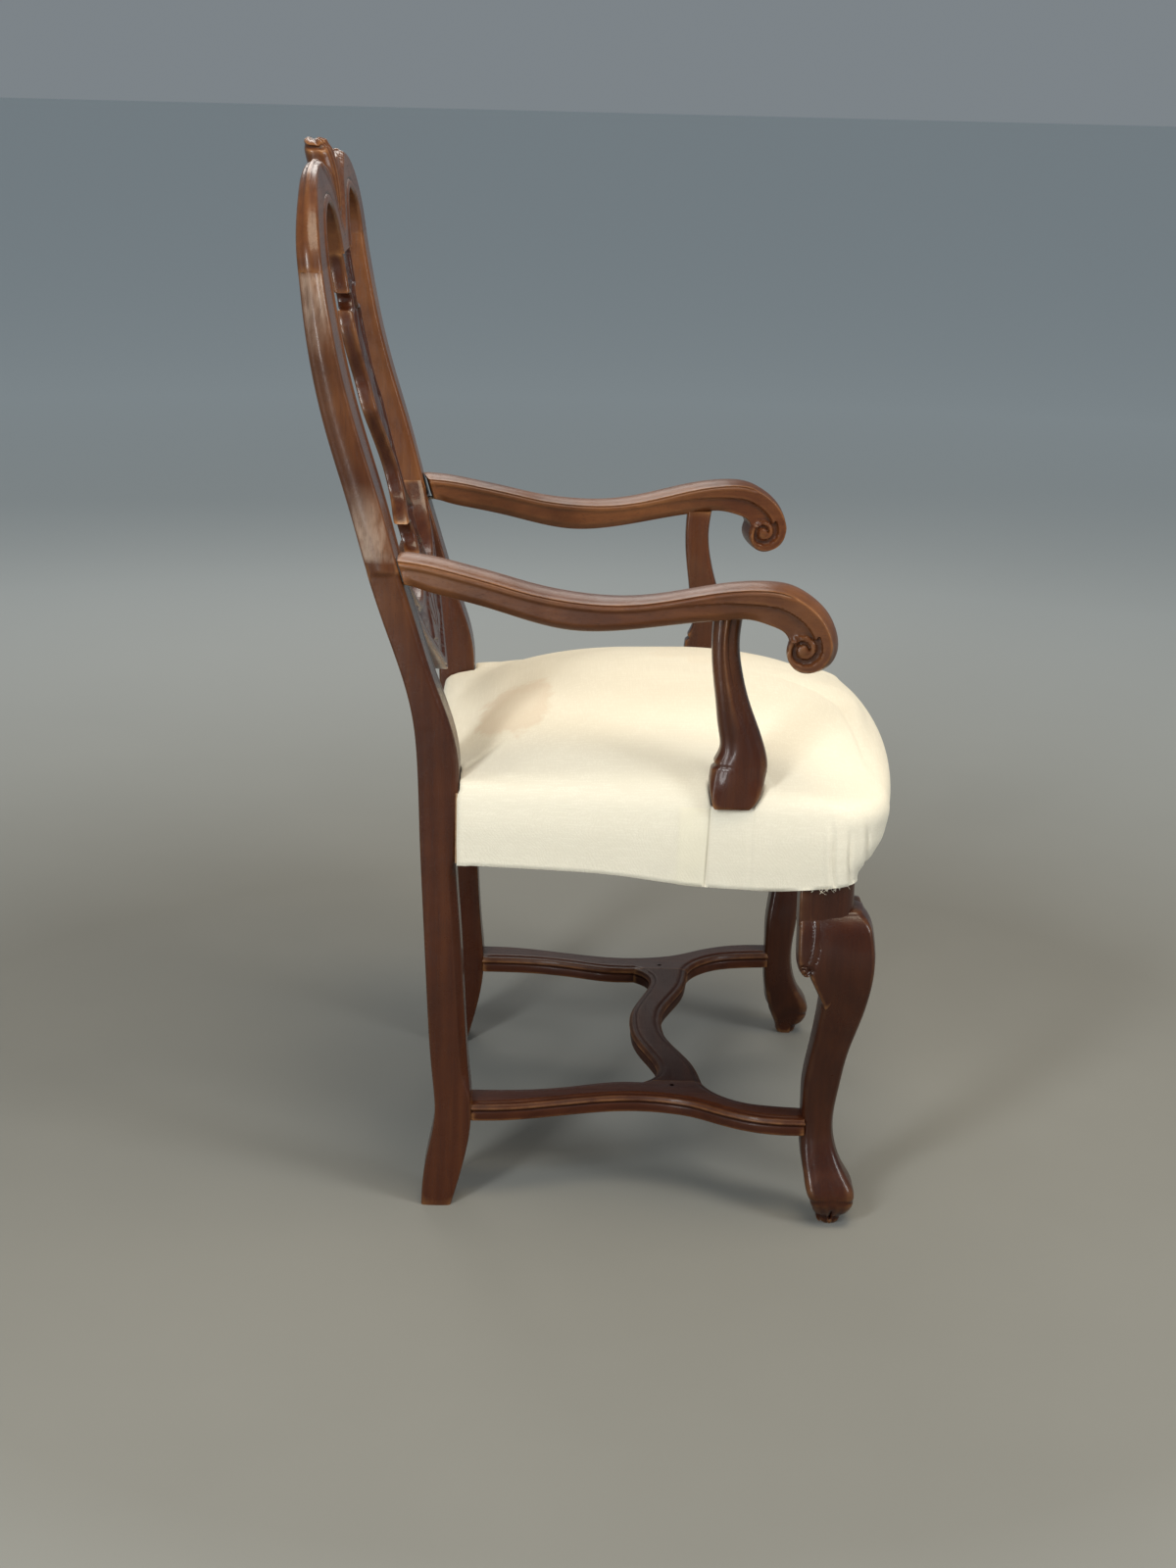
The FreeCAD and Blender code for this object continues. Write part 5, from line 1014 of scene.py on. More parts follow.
def arm_bulge(t, p):
    dt = seg_distance(p, [arm_top_line])
    up = smoothstep(3.0, 0.5, dt)
    return 4 * t * (1 - t) * (4.4 * up + 0.5 * (1 - up)) - 1.0 * up


arm_loop = loop([ARM_TOP, ARM_LOW, [ARM_LOW[-1], ARM_TOP[0]]], 2.0)
for sign, side, mat in ((-1, "right", WOOD_Y), (1, "left", WOOD_Y2)):
    v, f = slab([arm_loop], arm_place(sign), arm_face, arm_face,
                [0.4, 1.0, 1.7, 2.5, 3.4, 4.4, 5.4, 6.4, 7.2, 8.2, 9.6], 1.6, rows=14, bulge=arm_bulge,
                thick=lambda p: ARM_WIDE + 0 * p[:, 0])
    finish_piece(mesh_object("armrest_" + side, v, f, 46), mat, "show_wood", "arm_" + side)

# ------------------------------------------------------------- arm supports
SUP_REAR = [(466, 144), (486, 148), (500, 147.5), (509, 145.5), (522, 139.6), (544, 140.6), (574, 144.7),
            (604, 148.7), (633, 150.7), (672, 149)]
SUP_FRONT = [(466, 104.4), (480, 96), (493, 92.3), (505.4, 90.2), (524.6, 93.3), (545, 100.3), (574, 111.4),
             (604, 119.5), (634.5, 123.5), (672, 119.5)]
sup_rear = natural([p[0] for p in SUP_REAR], [p[1] for p in SUP_REAR])
sup_front = natural([p[0] for p in SUP_FRONT], [p[1] for p in SUP_FRONT])


def support_data():
    rings = []
    for z in np.concatenate([[465.2, 466.0, 467.5], np.arange(469, 516, 1.5), np.arange(516, 668, 4.0)]):
        y0, y1 = float(sup_front(max(z, 466))), float(sup_rear(max(z, 466)))
        x0, x1 = 268.0, 296.0
        low = 1 - float(smoothstep(470, 500, z))
        r_fo = 11.5 - 7.5 * low
        r_bo = 5.0 - 2.5 * low
        if z < 467.6:
            e = (467.6 - z) * 0.45
            x1, y0, y1 = x1 - e, y0 + e, y1 - e
        # a carved lip behind, over the square foot
        lip = float(groove(np.array(z), 508.5, 7.0, 3.0))
        y1 -= lip
        waist = 1.4 * float(hump(z, 535, 45))
        full = 3.4 * (1 - low)
        ring = rect_ring(x0 + waist * 0.5, x1 - waist - full, y0, y1, (4.5, r_fo, r_bo + full, 3.0), k=6, s=9,
                         bow=(0.6, 0.2 + 1.25 * full, 0.3, 0.2))
        # a line cut along the front contour, which leaves a raised flat in front
        x, y = ring[:, 0], ring[:, 1]
        face = (x > x1 - 3.5 - full)
        cut_ = groove(y, y0 + r_fo + 2.6, 3.0, 1.0) * float(smoothstep(476, 500, z)) * face
        ring[:, 0] = x - cut_
        # the front stands on a raised flat down the outer face
        rings.append(with_z(ring, z))
    return loft(rings)


v, f = support_data()
finish_piece(mesh_object("arm_post_left", v, f, 50), WOOD_Z, "show_wood", "arm_support_left")
v, f = mirror_data(v, f)
finish_piece(mesh_object("arm_post_right", v, f, 50), WOOD_Z2, "show_wood", "arm_support_right")

# --------------------------------------------------------------- front legs
LEG = np.array([
    (0, -12, 14, 9), (12, -14, 16, 9), (20, -18.5, 19, 9), (34, -21, 24, 10), (46, -18.5, 28, 10), (60, -11, 31, 9),
    (75, -4, 33.5, 8), (105, 2, 35, 7), (127, 1, 35, 6.5), (150, -2, 35, 6), (194, -9, 29.5, 6), (238, -20, 24, 5.5),
    (262, -25, 22.5, 5), (284, -28, 24, 4.5), (310, -28.5, 28, 4.5), (330, -26, 33, 5), (345, -21, 38, 6.5),
    (352, -15.5, 40, 9)])
leg_f, leg_b, leg_r = (natural(LEG[:, 0], LEG[:, j]) for j in (1, 2, 3))


def leg_data():
    rings = []
    k, s = 9, 9
    zs = np.concatenate([[0.0, 1.0, 2.5], np.arange(4, 62, 1.4), np.arange(62, 340, 3.5),
                         np.arange(340, 352, 1.5), [352.0, 353.6, 354.8, 355.6]])
    for z in zs:
        zz = min(z, 352.0)
        f0, b0, r0 = float(leg_f(zz)), float(leg_b(zz)), float(leg_r(zz))
        if z > 352:
            t = (z - 352) / 3.6
            f0 += 9.0 * (1 - math.sqrt(max(0.0, 1 - t * t)))
        if z < 3:
            f0, b0 = f0 + (3 - z) * 0.6, b0 - (3 - z) * 0.6
        x0, x1 = 268.0 - b0, 268.0 - f0
        inner_r = min(9.0, r0 + 3)
        swell_ = 0.035 * (b0 - f0) + 0.6
        knee = float(smoothstep(318, 345, z))
        join = float(smoothstep(272, 300, z))
        inner_r = inner_r * (1 - join) + 3.0 * join
        ring = rect_ring(x0, x1, f0, b0, (inner_r, r0, inner_r, 6.0), k=k, s=s,
                         bow=(swell_, swell_, 0.5, 0.5))
        cx, cy = (x0 + x1) / 2, (f0 + b0) / 2
        dx, dy = ring[:, 0] - cx, ring[:, 1] - cy
        # angle from the outward diagonal
        ang = np.arctan2(dy, dx) + math.pi / 4
        ang = (ang + math.pi) % (2 * math.pi) - math.pi
        rad = np.hypot(dx, dy)
        # the paw: a pad on the floor, toes that overhang it, tendons up the ankle
        on = np.abs(ang) < 2.0
        lobe = np.abs(np.cos(ang * 2.0))
        over = float(smoothstep(11.5, 15.5, z) * (1 - smoothstep(34, 60, z)))
        rad = rad - on * 3.0 * float(smoothstep(12.5, 8.0, z)) * 1.0
        rad = rad + over * on * (2.6 * lobe ** 0.7 - 0.4)
        cleft = (1 - smoothstep(0, 0.26, lobe)) * on
        rad = rad - cleft * 4.2 * float(smoothstep(23, 13, z)) * float(smoothstep(3, 9, z))
        ridge = float(smoothstep(26, 40, z) * (1 - smoothstep(60, 92, z)))
        rad = rad + ridge * on * 1.5 * (lobe ** 2 - 0.35)
        # the scalloped skin over each toe
        rad = rad - on * 1.0 * float(hump(z, 30, 3.2)) * (0.4 + 0.6 * lobe)
        if 100 < z < 330:
            side = hump(np.abs(ang), math.pi / 2 * 0.55, 0.32)
            rad = rad - side * 1.0 * float(smoothstep(100, 150, z)) * float(1 - smoothstep(250, 300, z))
        x, y = cx + np.cos(ang - math.pi / 4) * rad, cy + np.sin(ang - math.pi / 4) * rad
        zr = np.full(len(x), float(z))
        # the knee's top falls away from the outer corner to both sides
        zr = zr - 2.0 * knee * smoothstep(0.7, 1.5, np.abs(ang)) * on
        rings.append(np.column_stack([x, y, zr]))
    return loft(rings)


EAR = [[(8, 350.5), (46.5, 350.5), (50, 347.5)], [(50, 347.5), (50, 330), (50, 308), (49, 297), (46.5, 290), (42.5, 286.5),
       (38.5, 287), (36.5, 290), (37.5, 293.5)], [(37.5, 293.5), (35.5, 284), (30, 272), (24.5, 260), (19, 248)],
       [(19, 248), (8, 262), (8, 350.5)]]
ear_loop = loop(EAR, 1.5)
ear_under = [curve(EAR[1], 1.5), curve(EAR[2], 1.5)]


def ear_front(p, d):
    y, z = p[:, 0], p[:, 1]
    de = seg_distance(p, ear_under)
    h = rounded(d, 2.6)
    # scrolled lines sweeping down from the top of the bracket to the curl
    q = np.hypot(y - 43.5, z - 292.5)
    curl = smoothstep(9.5, 7.5, q)
    turn = (np.arctan2(z - 292.5, y - 43.5)) / (2 * math.pi)
    spiral = np.abs(((q - 2.4) / 3.1 + turn) % 1.0 - 0.5) * 2
    h = h + curl * 1.6 * (1 - smoothstep(0.25, 0.7, spiral)) * (q > 1.6)
    sweep = natural([285, 300, 320, 340, 356], [47, 41, 37.0, 36, 38])(z)
    h = h + groove(y - sweep, 0, 3.0, 1.5) * (1 - curl) * smoothstep(296, 304, z)
    sweep2 = natural([285, 300, 320, 340, 356], [40, 33, 28.5, 27, 28])(z)
    h = h + groove(y - sweep2, 0, 3.0, 1.3) * (1 - curl) * smoothstep(290, 300, z)
    return h


def ear_place(kind):
    def place(p, w):
        a, b = p[:, 0], p[:, 1]
        out = 268.0 - leg_f(np.clip(b, 236, 350)) + 0.15 - 0.06 * np.clip(a - 34, 0, 40)
        if kind == "rear":        # behind the knee, its carved side outward
            return np.column_stack([out - w, a, b])
        return np.column_stack([268.0 - a, 268.0 - (out - w), b])
    return place


def leg_parts():
    parts = [leg_data()]
    for kind in ("rear", "side"):
        parts.append(slab([ear_loop], ear_place(kind), ear_front, lambda p, d: rounded(d, 2.0),
                          [0.4, 1.0, 1.8, 2.8, 4.0], 1.7, rows=6, thick=lambda p: 36 + 0 * p[:, 0],
                          bulge=lambda t, p: 1.2 * 4 * t * (1 - t) + 0 * p[:, 0]))
    rings = []
    for z in (338, 345, 352, 360, 370, 380, 389.4):
        rings.append(with_z(rect_ring(248.0, 288.0, -6.0, 41.5, (3.0, 17.0, 3.0, 3.0), k=8, s=4), z))
    parts.append(loft(rings))
    rings = [with_z(rect_ring(256.0 + e, 287.9 - e, 30.0, 51.0 - e, (2.0, 2.0, 2.5, 2.0), k=4, s=4), z)
             for z, e in ((340, 0.0), (350, 0.0), (365, 0.0), (381.5, 0.0), (383.0, 0.8))]
    parts.append(loft(rings))
    rings = [with_z(rect_ring(248.0, 293.9, -7.9, 42.0, (2.0, 24.0, 2.0, 2.0), k=8, s=4), z) for z in (389.3, 420, 464)]
    parts.append(loft(rings))
    return join_data(parts)


v, f = leg_parts()
finish_piece(mesh_object("cabriole_left", v, f, 46), WOOD_LEG2, "show_wood", "front_leg_left")
v, f = mirror_data(v, f)
finish_piece(mesh_object("cabriole_right", v, f, 46), WOOD_LEG, "show_wood", "front_leg_right")

# --------------------------------------------------------------- stretchers
ST_OUT = [(243, 386), (241.5, 355), (232, 310), (218, 260), (211, 215), (215, 175), (225, 147), (242, 121), (258, 91),
          (266, 60), (267, 32)]
ST_IN = [(233, 32), (229, 66), (221, 94), (205, 116), (186, 130), (172, 136)]
ST_IN2 = [(172, 201), (172, 226), (186, 276), (198, 332), (200, 386)]
CR_REAR = [(0, 209), (28, 207.5), (60, 201), (92, 191), (120, 183.5), (143, 182.5), (161, 190), (172, 201)]
CR_FRONT = [(172, 136), (152, 138.5), (128, 142), (100, 150), (68, 162), (34, 172), (0, 175)]
moulded = []
for run in (ST_OUT, ST_IN, ST_IN2, CR_REAR, CR_FRONT):
    moulded += [curve(run, 2.0), curve([(-p[0], p[1]) for p in run], 2.0)]


def stretcher_top(p, d):
    de = seg_distance(p, moulded)
    h = rounded(de, 2.4)
    h = h + 1.5 * smoothstep(6.6, 5.6, de) + groove(de, 6.6, 1.6, 0.7)
    return h


def stretcher_under(p, d):
    return rounded(seg_distance(p, moulded), 1.5)


def stretcher_bulge(t, p):
    de = seg_distance(p, moulded)
    on = smoothstep(1.0, 0.2, de)
    # a bead over a fillet, then a plain square edge
    return on * (1.5 * np.exp(-((t - 0.14) / 0.10) ** 2) - 1.6 * np.exp(-((t - 0.36) / 0.05) ** 2)
                 + 0.2 * np.exp(-((t - 0.7) / 0.2) ** 2))


def flat_place(p, w):
    return np.column_stack([p[:, 0], p[:, 1], 116.0 - w])


for sign, side, mat in ((1, "left", WOOD_LOW), (-1, "right", WOOD_LOW)):
    runs = [ST_OUT, [ST_OUT[-1], ST_IN[0]], ST_IN, [ST_IN[-1], ST_IN2[0]], ST_IN2, [ST_IN2[-1], ST_OUT[0]]]
    lp = loop([[(sign * p[0], p[1]) for p in r] for r in runs], 2.2)
    v, f = slab([lp], flat_place, stretcher_top, stretcher_under, [0.4, 1.0, 1.8, 2.8, 4.4, 5.5, 6.1, 6.7, 7.6], 2.6,
                rows=16, bulge=stretcher_bulge, thick=lambda p: 20 + 0 * p[:, 0])
    finish_piece(mesh_object("runner_" + side, v, f, 46), mat, "show_wood", "side_stretcher_" + side)
runs = [CR_REAR, [CR_REAR[-1], CR_FRONT[0]], CR_FRONT, flip(CR_FRONT), [(-172, 136), (-172, 201)], flip(CR_REAR)]
v, f = slab([loop(runs, 2.2)], flat_place, stretcher_top, stretcher_under,
            [0.4, 1.0, 1.8, 2.8, 4.4, 5.5, 6.1, 6.7, 7.6], 2.6, rows=16, bulge=stretcher_bulge,
            thick=lambda p: 20 + 0 * p[:, 0])
finish_piece(mesh_object("runner_cross", v, f, 46), WOOD_X, "show_wood", "cross_stretcher")

# --------------------------------------------------------------------- seat
SEAT = np.array([
    (372, 3.2, 33, 0), (392, 2.8, 30, 0), (404, 2, 19, 0), (412, 1.4, 15, 0), (420, 0.8, 10, 0), (440, 0.1, 3.5, 0),
    (452, 0.8, 1.2, 0.1), (461, 1.9, 1.4, 0.5), (470, 4.6, 3.8, 4.5), (478, 8.8, 8.6, 16), (484, 13.6, 13.2, 29), (490, 22, 19, 42), (496, 37, 24, 54),
    (503, 57, 30, 68), (510, 80, 39.5, 84), (517, 104, 53, 103), (524, 133, 70, 124), (530, 162, 89, 146),
    (535, 192, 110.5, 168), (538, 218, 135, 188), (541, 246, 160, 208)], float)
HEM = natural([-80, -10, 30, 80, 120, 160, 200, 245, 300, 460],
              [387, 387, 383, 378.5, 378.5, 379.5, 383, 387, 388.5, 388.5])
R_HALF, F_HALF, Y_R, Y_F, BOW = 258.4, 307.2, 437.0, -62.5, 20.0
STILE_X, STILE_LOW, STILE_HIGH = 205.2, 403.2, 400.6      # room for the stiles
FOOT_X, FOOT_Z = 267.7, 464.8                             # and for the arm supports


def foot_rear(z):
    """Rear limit of the room for the arm support at a height."""
    return np.interp(z, [466, 476, 486, 500], [144.5, 146.7, 148.6, 148.2])


def foot_front(z):
    """Front limit of the room for the arm support at a height."""
    return np.interp(z, [466, 473, 480, 486, 493], [103.6, 99.0, 95.0, 92.9, 91.2])


N_REAR, N_FOOT, N_FRONT = 128, 20, 180


def seat_half(ds, df, dr, z):
    """Half the pad's plan outline at one level, from the middle of the rear to
    the middle of the front."""
    yf, yr = Y_F + BOW + df, Y_R - dr
    slope = (R_HALF - F_HALF) / (Y_R - Y_F - BOW)
    side = lambda y: F_HALF + slope * (y - Y_F - BOW) - ds
    span = min(side(yf), side(yr), (yr - yf) / 2)
    tuck = 1.2 * max(0.0, df - 3.5) if z < 450 else 0.0
    rf = min(62 + 1.3 * max(0.0, ds - 1.5) - tuck, 0.9 * span)
    rr = min(8 + 0.9 * dr, 0.9 * span)
    flat = BOW * (1.0 if df < 40 else max(0.25, 1.0 - (df - 40) / 120.0))
    a = np.linspace(0, math.pi / 2, 25)
    rear = np.column_stack([side(yr - rr) - rr + rr * np.sin(a), yr - rr + rr * np.cos(a)])
    front = np.column_stack([side(yf + rf) - rf + rf * np.cos(a), yf + rf - rf * np.sin(a)])
    xb = front[-1, 0]
    t = np.linspace(0, 1, 40)[1:]
    mid = np.column_stack([xb * (1 - t), yf - flat * (1 - (1 - t) ** 2)])
    return np.concatenate([[(0, yr)], rear, front, mid])


def seat_ring(ds, df, dr, z, share=None):
    """A whole outline whose points keep their places from level to level; two
    pairs of them stand at the corners of the room for the arm support."""
    line = seat_half(ds, df, dr, z)
    t = np.concatenate([[0], np.cumsum(np.linalg.norm(np.diff(line, axis=0), axis=1))])
    if share is None:
        share = [float(np.interp(-y, -line[:, 1] + 1e-7 * np.arange(len(line)), t)) / t[-1] for y in (float(foot_rear(z)), float(foot_front(z)))]
    q = np.linspace(0, 1, N_REAR)
    near_ = (1.55 * q - 0.55 * q * q) * share[0]
    q = np.linspace(0, 1, N_FRONT)
    far_ = share[1] + (0.62 * q + 0.38 * q * q) * (1 - share[1])
    u = np.concatenate([near_, np.linspace(share[0], share[1], N_FOOT), far_]) * t[-1]
    hp = np.column_stack([np.interp(u, t, line[:, 0]), np.interp(u, t, line[:, 1]), np.full(len(u), z)])
    return hp, share


def keep_room(hp, foot):
    """Draws the outline in round the stile and, above the rail, the arm support."""
    x, y, z = hp.T.copy()
    yn = STILE_LOW + (STILE_HIGH - STILE_LOW) * smoothstep(462, 468, z)
    t = np.clip(np.minimum(x - STILE_X, y - yn), 0, None)
    x, y = x - t, y - t
    if foot:
        i = np.arange(len(x))
        on = (i >= N_REAR) & (i < N_REAR + N_FOOT)
        wide = x > FOOT_X
        x = np.where(on, np.minimum(x, FOOT_X), x)
        a, b = N_REAR, N_REAR + N_FOOT - 1
        for k, lim in ((a, True), (b, False)):
            o = k - 1 if lim else k + 1
            firm = float(smoothstep(490, 481, z[k]))
            both = firm * float((foot_rear if lim else foot_front)(z[k])) + (1 - firm) * (y[k] + y[o]) / 2
            y[k] = y[o] = both
            z[k] = z[o] = (z[k] + z[o]) / 2
            if not wide[k]:
                x[k] = x[o] = (x[k] + x[o]) / 2
    else:
        for k in (N_REAR, N_REAR + N_FOOT):
            x[k] = x[k - 1] = (x[k] + x[k - 1]) / 2
            y[k] = y[k - 1] = (y[k] + y[k - 1]) / 2
            z[k] = z[k - 1] = (z[k] + z[k - 1]) / 2
    return np.column_stack([x, y, z])


def sag(hp):
    """The pad falls away towards its corners."""
    x, y, z = hp.T
    up = smoothstep(466, 505, z)
    fall = 13.5 * np.exp(-((x - 225) ** 2 + (y - 392) ** 2) / 92.0 ** 2) + \
        19.0 * np.exp(-((x - 262) ** 2 + (y + 6) ** 2) / 92.0 ** 2)
    return np.column_stack([x, y, z - up * fall])


def seat_rows():
    """Levels and insets from the hem to the crown, and which rows stand above
    the side rails."""
    t = np.concatenate([[0], np.cumsum(np.hypot(np.diff(SEAT[:, 0]), 0.75 * np.diff(SEAT[:, 1])))])
    cols = [natural(t, SEAT[:, j]) for j in range(4)]
    many = np.linspace(0, t[-1], 4000)
    heights = np.maximum.accumulate(cols[0](many))
    t0, t1 = (float(np.interp(z, heights, many)) for z in (378.0, FOOT_Z))
    levels = [tuple(float(c(u)) for c in cols) for u in np.concatenate([np.linspace(t0, t1, 20), np.linspace(t1, t[-1], 74)])]
    return levels[:20], levels[20:]


def seat_sheet(room=True):
    """The outside of the cover as rows of half outlines."""
    low, high = seat_rows()
    out, share = [], None
    for z, ds, df, dr in low:
        hp, _ = seat_ring(ds, df, dr, z)
        w = 1 - smoothstep(0, 1, (z - 378) / 60.0)
        hp[:, 2] += w * (HEM(hp[:, 1]) - 378)
        out.append(keep_room(hp, False))
    for i, (z, ds, df, dr) in enumerate(high):
        hp, now = seat_ring(ds, df, dr, z, share)
        if z >= 489 and share is None:
            share = now
        out.append(keep_room(sag(hp), room))
    return np.array(out), len(low)


def muslin_cloth():
    """Unbleached cotton, cream, with faint marks from handling."""
    mat, nt, bs = woven("muslin", 1250.0, (0.85, 0.785, 0.645), (0.77, 0.70, 0.56), rough=0.93, depth=0.00035,
                        sheen=0.12, stains=0.34, slub=0.50)
    base = bs.inputs["Base Color"].links[0].from_socket
    tc = N(nt, "ShaderNodeTexCoord")
    sep = N(nt, "ShaderNodeSeparateXYZ")
    link(nt, tc.outputs["Object"], sep.inputs[0])
    edge = noise(nt, tc.outputs["Object"], 28.0, 5.0, 0.65)

    def patch(cx, cy, rx, ry, soft):
        dx = math_node(nt, "DIVIDE", math_node(nt, "SUBTRACT", sep.outputs[0], cx), rx)
        dy = math_node(nt, "DIVIDE", math_node(nt, "SUBTRACT", sep.outputs[1], cy), ry)
        r = math_node(nt, "SQRT", math_node(nt, "ADD", math_node(nt, "MULTIPLY", dx, dx),
                                            math_node(nt, "MULTIPLY", dy, dy)))
        r = math_node(nt, "ADD", r, math_node(nt, "MULTIPLY", math_node(nt, "SUBTRACT", edge, 0.5), 1.3))
        return ramp(nt, r, [(0.30, soft * 0.75), (0.72, soft), (0.92, 0.0)])

    tone = mix_colour(nt, patch(-0.080, 0.088, 0.098, 0.047, 0.55), base, (0.72, 0.57, 0.42))
    tone = mix_colour(nt, patch(0.09, -0.12, 0.10, 0.07, 0.20), tone, (0.80, 0.66, 0.48))
    # the sewn join under the foot of each arm support, drawn as a thin dark line of painted shadow, and the turned
    # cloth behind it
    slant = math_node(nt, "ADD", math_node(nt, "MULTIPLY", sep.outputs[2], 0.035), -0.1271)
    across = math_node(nt, "ADD", sep.outputs[1], math_node(nt, "ADD", slant, 0.2219))
    below_ = math_node(nt, "MULTIPLY", math_node(nt, "LESS_THAN", sep.outputs[2], 0.4635),
                       math_node(nt, "GREATER_THAN", math_node(nt, "ABSOLUTE", sep.outputs[0]), 0.245))
    seam_shadow = math_node(nt, "MULTIPLY", ramp(nt, math_node(nt, "MULTIPLY", math_node(nt, "ABSOLUTE", across), 100.0),
                                            [(0.045, 1.0), (0.13, 0.0)]), below_)
    band = math_node(nt, "MULTIPLY", ramp(nt, math_node(nt, "MULTIPLY", across, 10.0),
                                          [(0.0, 0.0), (0.012, 1.0), (0.27, 1.0), (0.33, 0.0)]), below_)
    tone = mix_colour(nt, math_node(nt, "MULTIPLY", band, 0.45), tone, (0.86, 0.79, 0.60))
    # painted shadow along the seam
    tone = mix_colour(nt, math_node(nt, "MULTIPLY", seam_shadow, 0.55), tone, (0.44, 0.38, 0.27))
    # the cloth is darker towards the bottom, where it turns under the rails
    low = ramp(nt, math_node(nt, "ADD", sep.outputs[2], math_node(nt, "MULTIPLY", edge, 0.02)),
               [(0.395, 0.30), (0.420, 0.0)])
    tone = mix_colour(nt, low, tone, (0.62, 0.58, 0.48))
    link(nt, tone, bs.inputs["Base Color"])
    return mat, nt, bs


def rail_line():
    """Outside of the seat rails, rear to front, on one side."""
    t = np.linspace(0, 1, 14)[1:]
    front = [(248 * (1 - q), -8.4 - 20.0 * (1 - (1 - q) ** 2)) for q in t]
    turn = [(269.9 + 24.5 * math.cos(q), 16.1 - 24.5 * math.sin(q)) for q in np.linspace(0, math.pi / 2, 9)]
    return np.array([(0, 435.5), (204.8, 435.5), (204.8, 402.8), (256.7, 402.8), (294.4, 42)] + turn
                    + [(248, -8.4)] + front)


def nearest_on(line, p):
    a, b = line[:-1], line[1:]
    d = b - a
    t = np.clip(((p[:, None] - a[None]) * d[None]).sum(2) / np.maximum((d ** 2).sum(1), 1e-9)[None], 0, 1)
    q = a[None] + t[..., None] * d[None]
    i = np.argmin(((p[:, None] - q) ** 2).sum(2), axis=1)
    return q[np.arange(len(p)), i], d[i]


def whole(hp):
    """Mirrors a half outline; both middles are kept once."""
    return np.concatenate([hp, (hp[1:-1] * np.array([-1, 1, 1]))[::-1]])


def swell(sheet, cap=5.0):
    """How far each point of the cover moves when a closed copy of the pad is
    blown up against its own cloth."""
    low = sheet[0].copy()
    low[:, 2] = 388.0
    body = []
    for r in [low] + [s for s in sheet if s[0, 2] > 396][::2]:
        q = r.copy()
        q[:, 0] *= 0.985
        q[:, 1] = 190 + (q[:, 1] - 190) * 0.985
        q[:, 2] = q[:, 2] - 3.0 * smoothstep(420, 500, q[:, 2])
        body.append(whole(q))
    v, f = loft(body)
    ob = mesh_object("pad_form", v, f, None)
    scene = bpy.context.scene
    mod = ob.modifiers.new("even", "REMESH")
    mod.mode, mod.voxel_size = "VOXEL", 0.006
    dg = bpy.context.evaluated_depsgraph_get()
    me = bpy.data.meshes.new_from_object(ob.evaluated_get(dg))
    ob.modifiers.clear()
    ob.data = me
    n = len(me.vertices)
    co = np.empty(n * 3)
    me.vertices.foreach_get("co", co)
    start = co.reshape(-1, 3).copy()
    held = ob.vertex_groups.new(name="held")
    held.add([int(i) for i in np.nonzero(start[:, 2] < 0.400)[0]], 1.0, "REPLACE")
    cl = ob.modifiers.new("cover", "CLOTH")
    st = cl.settings
    st.quality, st.mass, st.air_damping = 5, 0.35, 1.0
    st.tension_stiffness = st.compression_stiffness = 14.0
    st.shear_stiffness, st.bending_stiffness = 6.0, 0.6
    st.use_pressure, st.uniform_pressure_force = True, 4.0
    st.vertex_group_mass = "held"
    st.effector_weights.gravity = 0.0
    cl.collision_settings.use_collision = False
    cl.point_cache.frame_start, cl.point_cache.frame_end = 1, 20
    for fr in range(1, 21):
        scene.frame_set(fr)
    dg = bpy.context.evaluated_depsgraph_get()
    ev = ob.evaluated_get(dg)
    co = np.empty(len(ev.data.vertices) * 3)
    ev.data.vertices.foreach_get("co", co)
    now = co.reshape(-1, 3)
    shift = (now - start) * 1000.0
    scene.frame_set(1)
    ob.modifiers.clear()
    tree = KDTree(n)
    for i, p in enumerate(start):
        tree.insert(p, i)
    tree.balance()
    out = np.zeros(sheet.shape)
    for r in range(sheet.shape[0]):
        for c in range(0, sheet.shape[1]):
            p = sheet[r, c]
            near = tree.find_n((p[0] / 1000, (p[1] - LINE) / 1000, p[2] / 1000), 4)
            wts = np.array([1.0 / (q[2] + 0.002) for q in near])
            out[r, c] = (np.array([shift[q[1]] for q in near]) * wts[:, None]).sum(0) / wts.sum()
    bpy.data.objects.remove(ob)
    size = np.linalg.norm(out, axis=2, keepdims=True)
    out = out / np.maximum(size, 1e-6) * np.minimum(size, cap)
    for _ in range(3):
        out[1:-1] = (out[:-2] + 2 * out[1:-1] + out[2:]) / 4
        out[:, 1:-1] = (out[:, :-2] + 2 * out[:, 1:-1] + out[:, 2:]) / 4
    return out


def press(x, y, z, pts, width):
    """1 along a line of points on the cover, fading to 0 at the half width."""
    d = seg3(np.column_stack([x, y, z]), np.asarray(pts, float))
    t = np.clip(1 - d / width, 0, 1)
    return t * t * (3 - 2 * t)


def seg3(p, line):
    best = np.full(len(p), 1e9)
    for a, b in zip(line[:-1], line[1:]):
        d = b - a
        t = np.clip(((p - a) @ d) / max(float(d @ d), 1e-9), 0, 1)
        best = np.minimum(best, np.linalg.norm(p - (a + t[:, None] * d), axis=1))
    return best


sheet0, n_low = seat_sheet()
move = swell(sheet0)
plain, _ = seat_sheet(False)


def even(a, k):
    """Smooths along both directions; the middle columns keep their own."""
    for _ in range(k):
        a[1:-1] = (a[:-2] + 2 * a[1:-1] + a[2:]) / 4
        a[:, 1:-1] = (a[:, :-2] + 2 * a[:, 1:-1] + a[:, 2:]) / 4
    return a


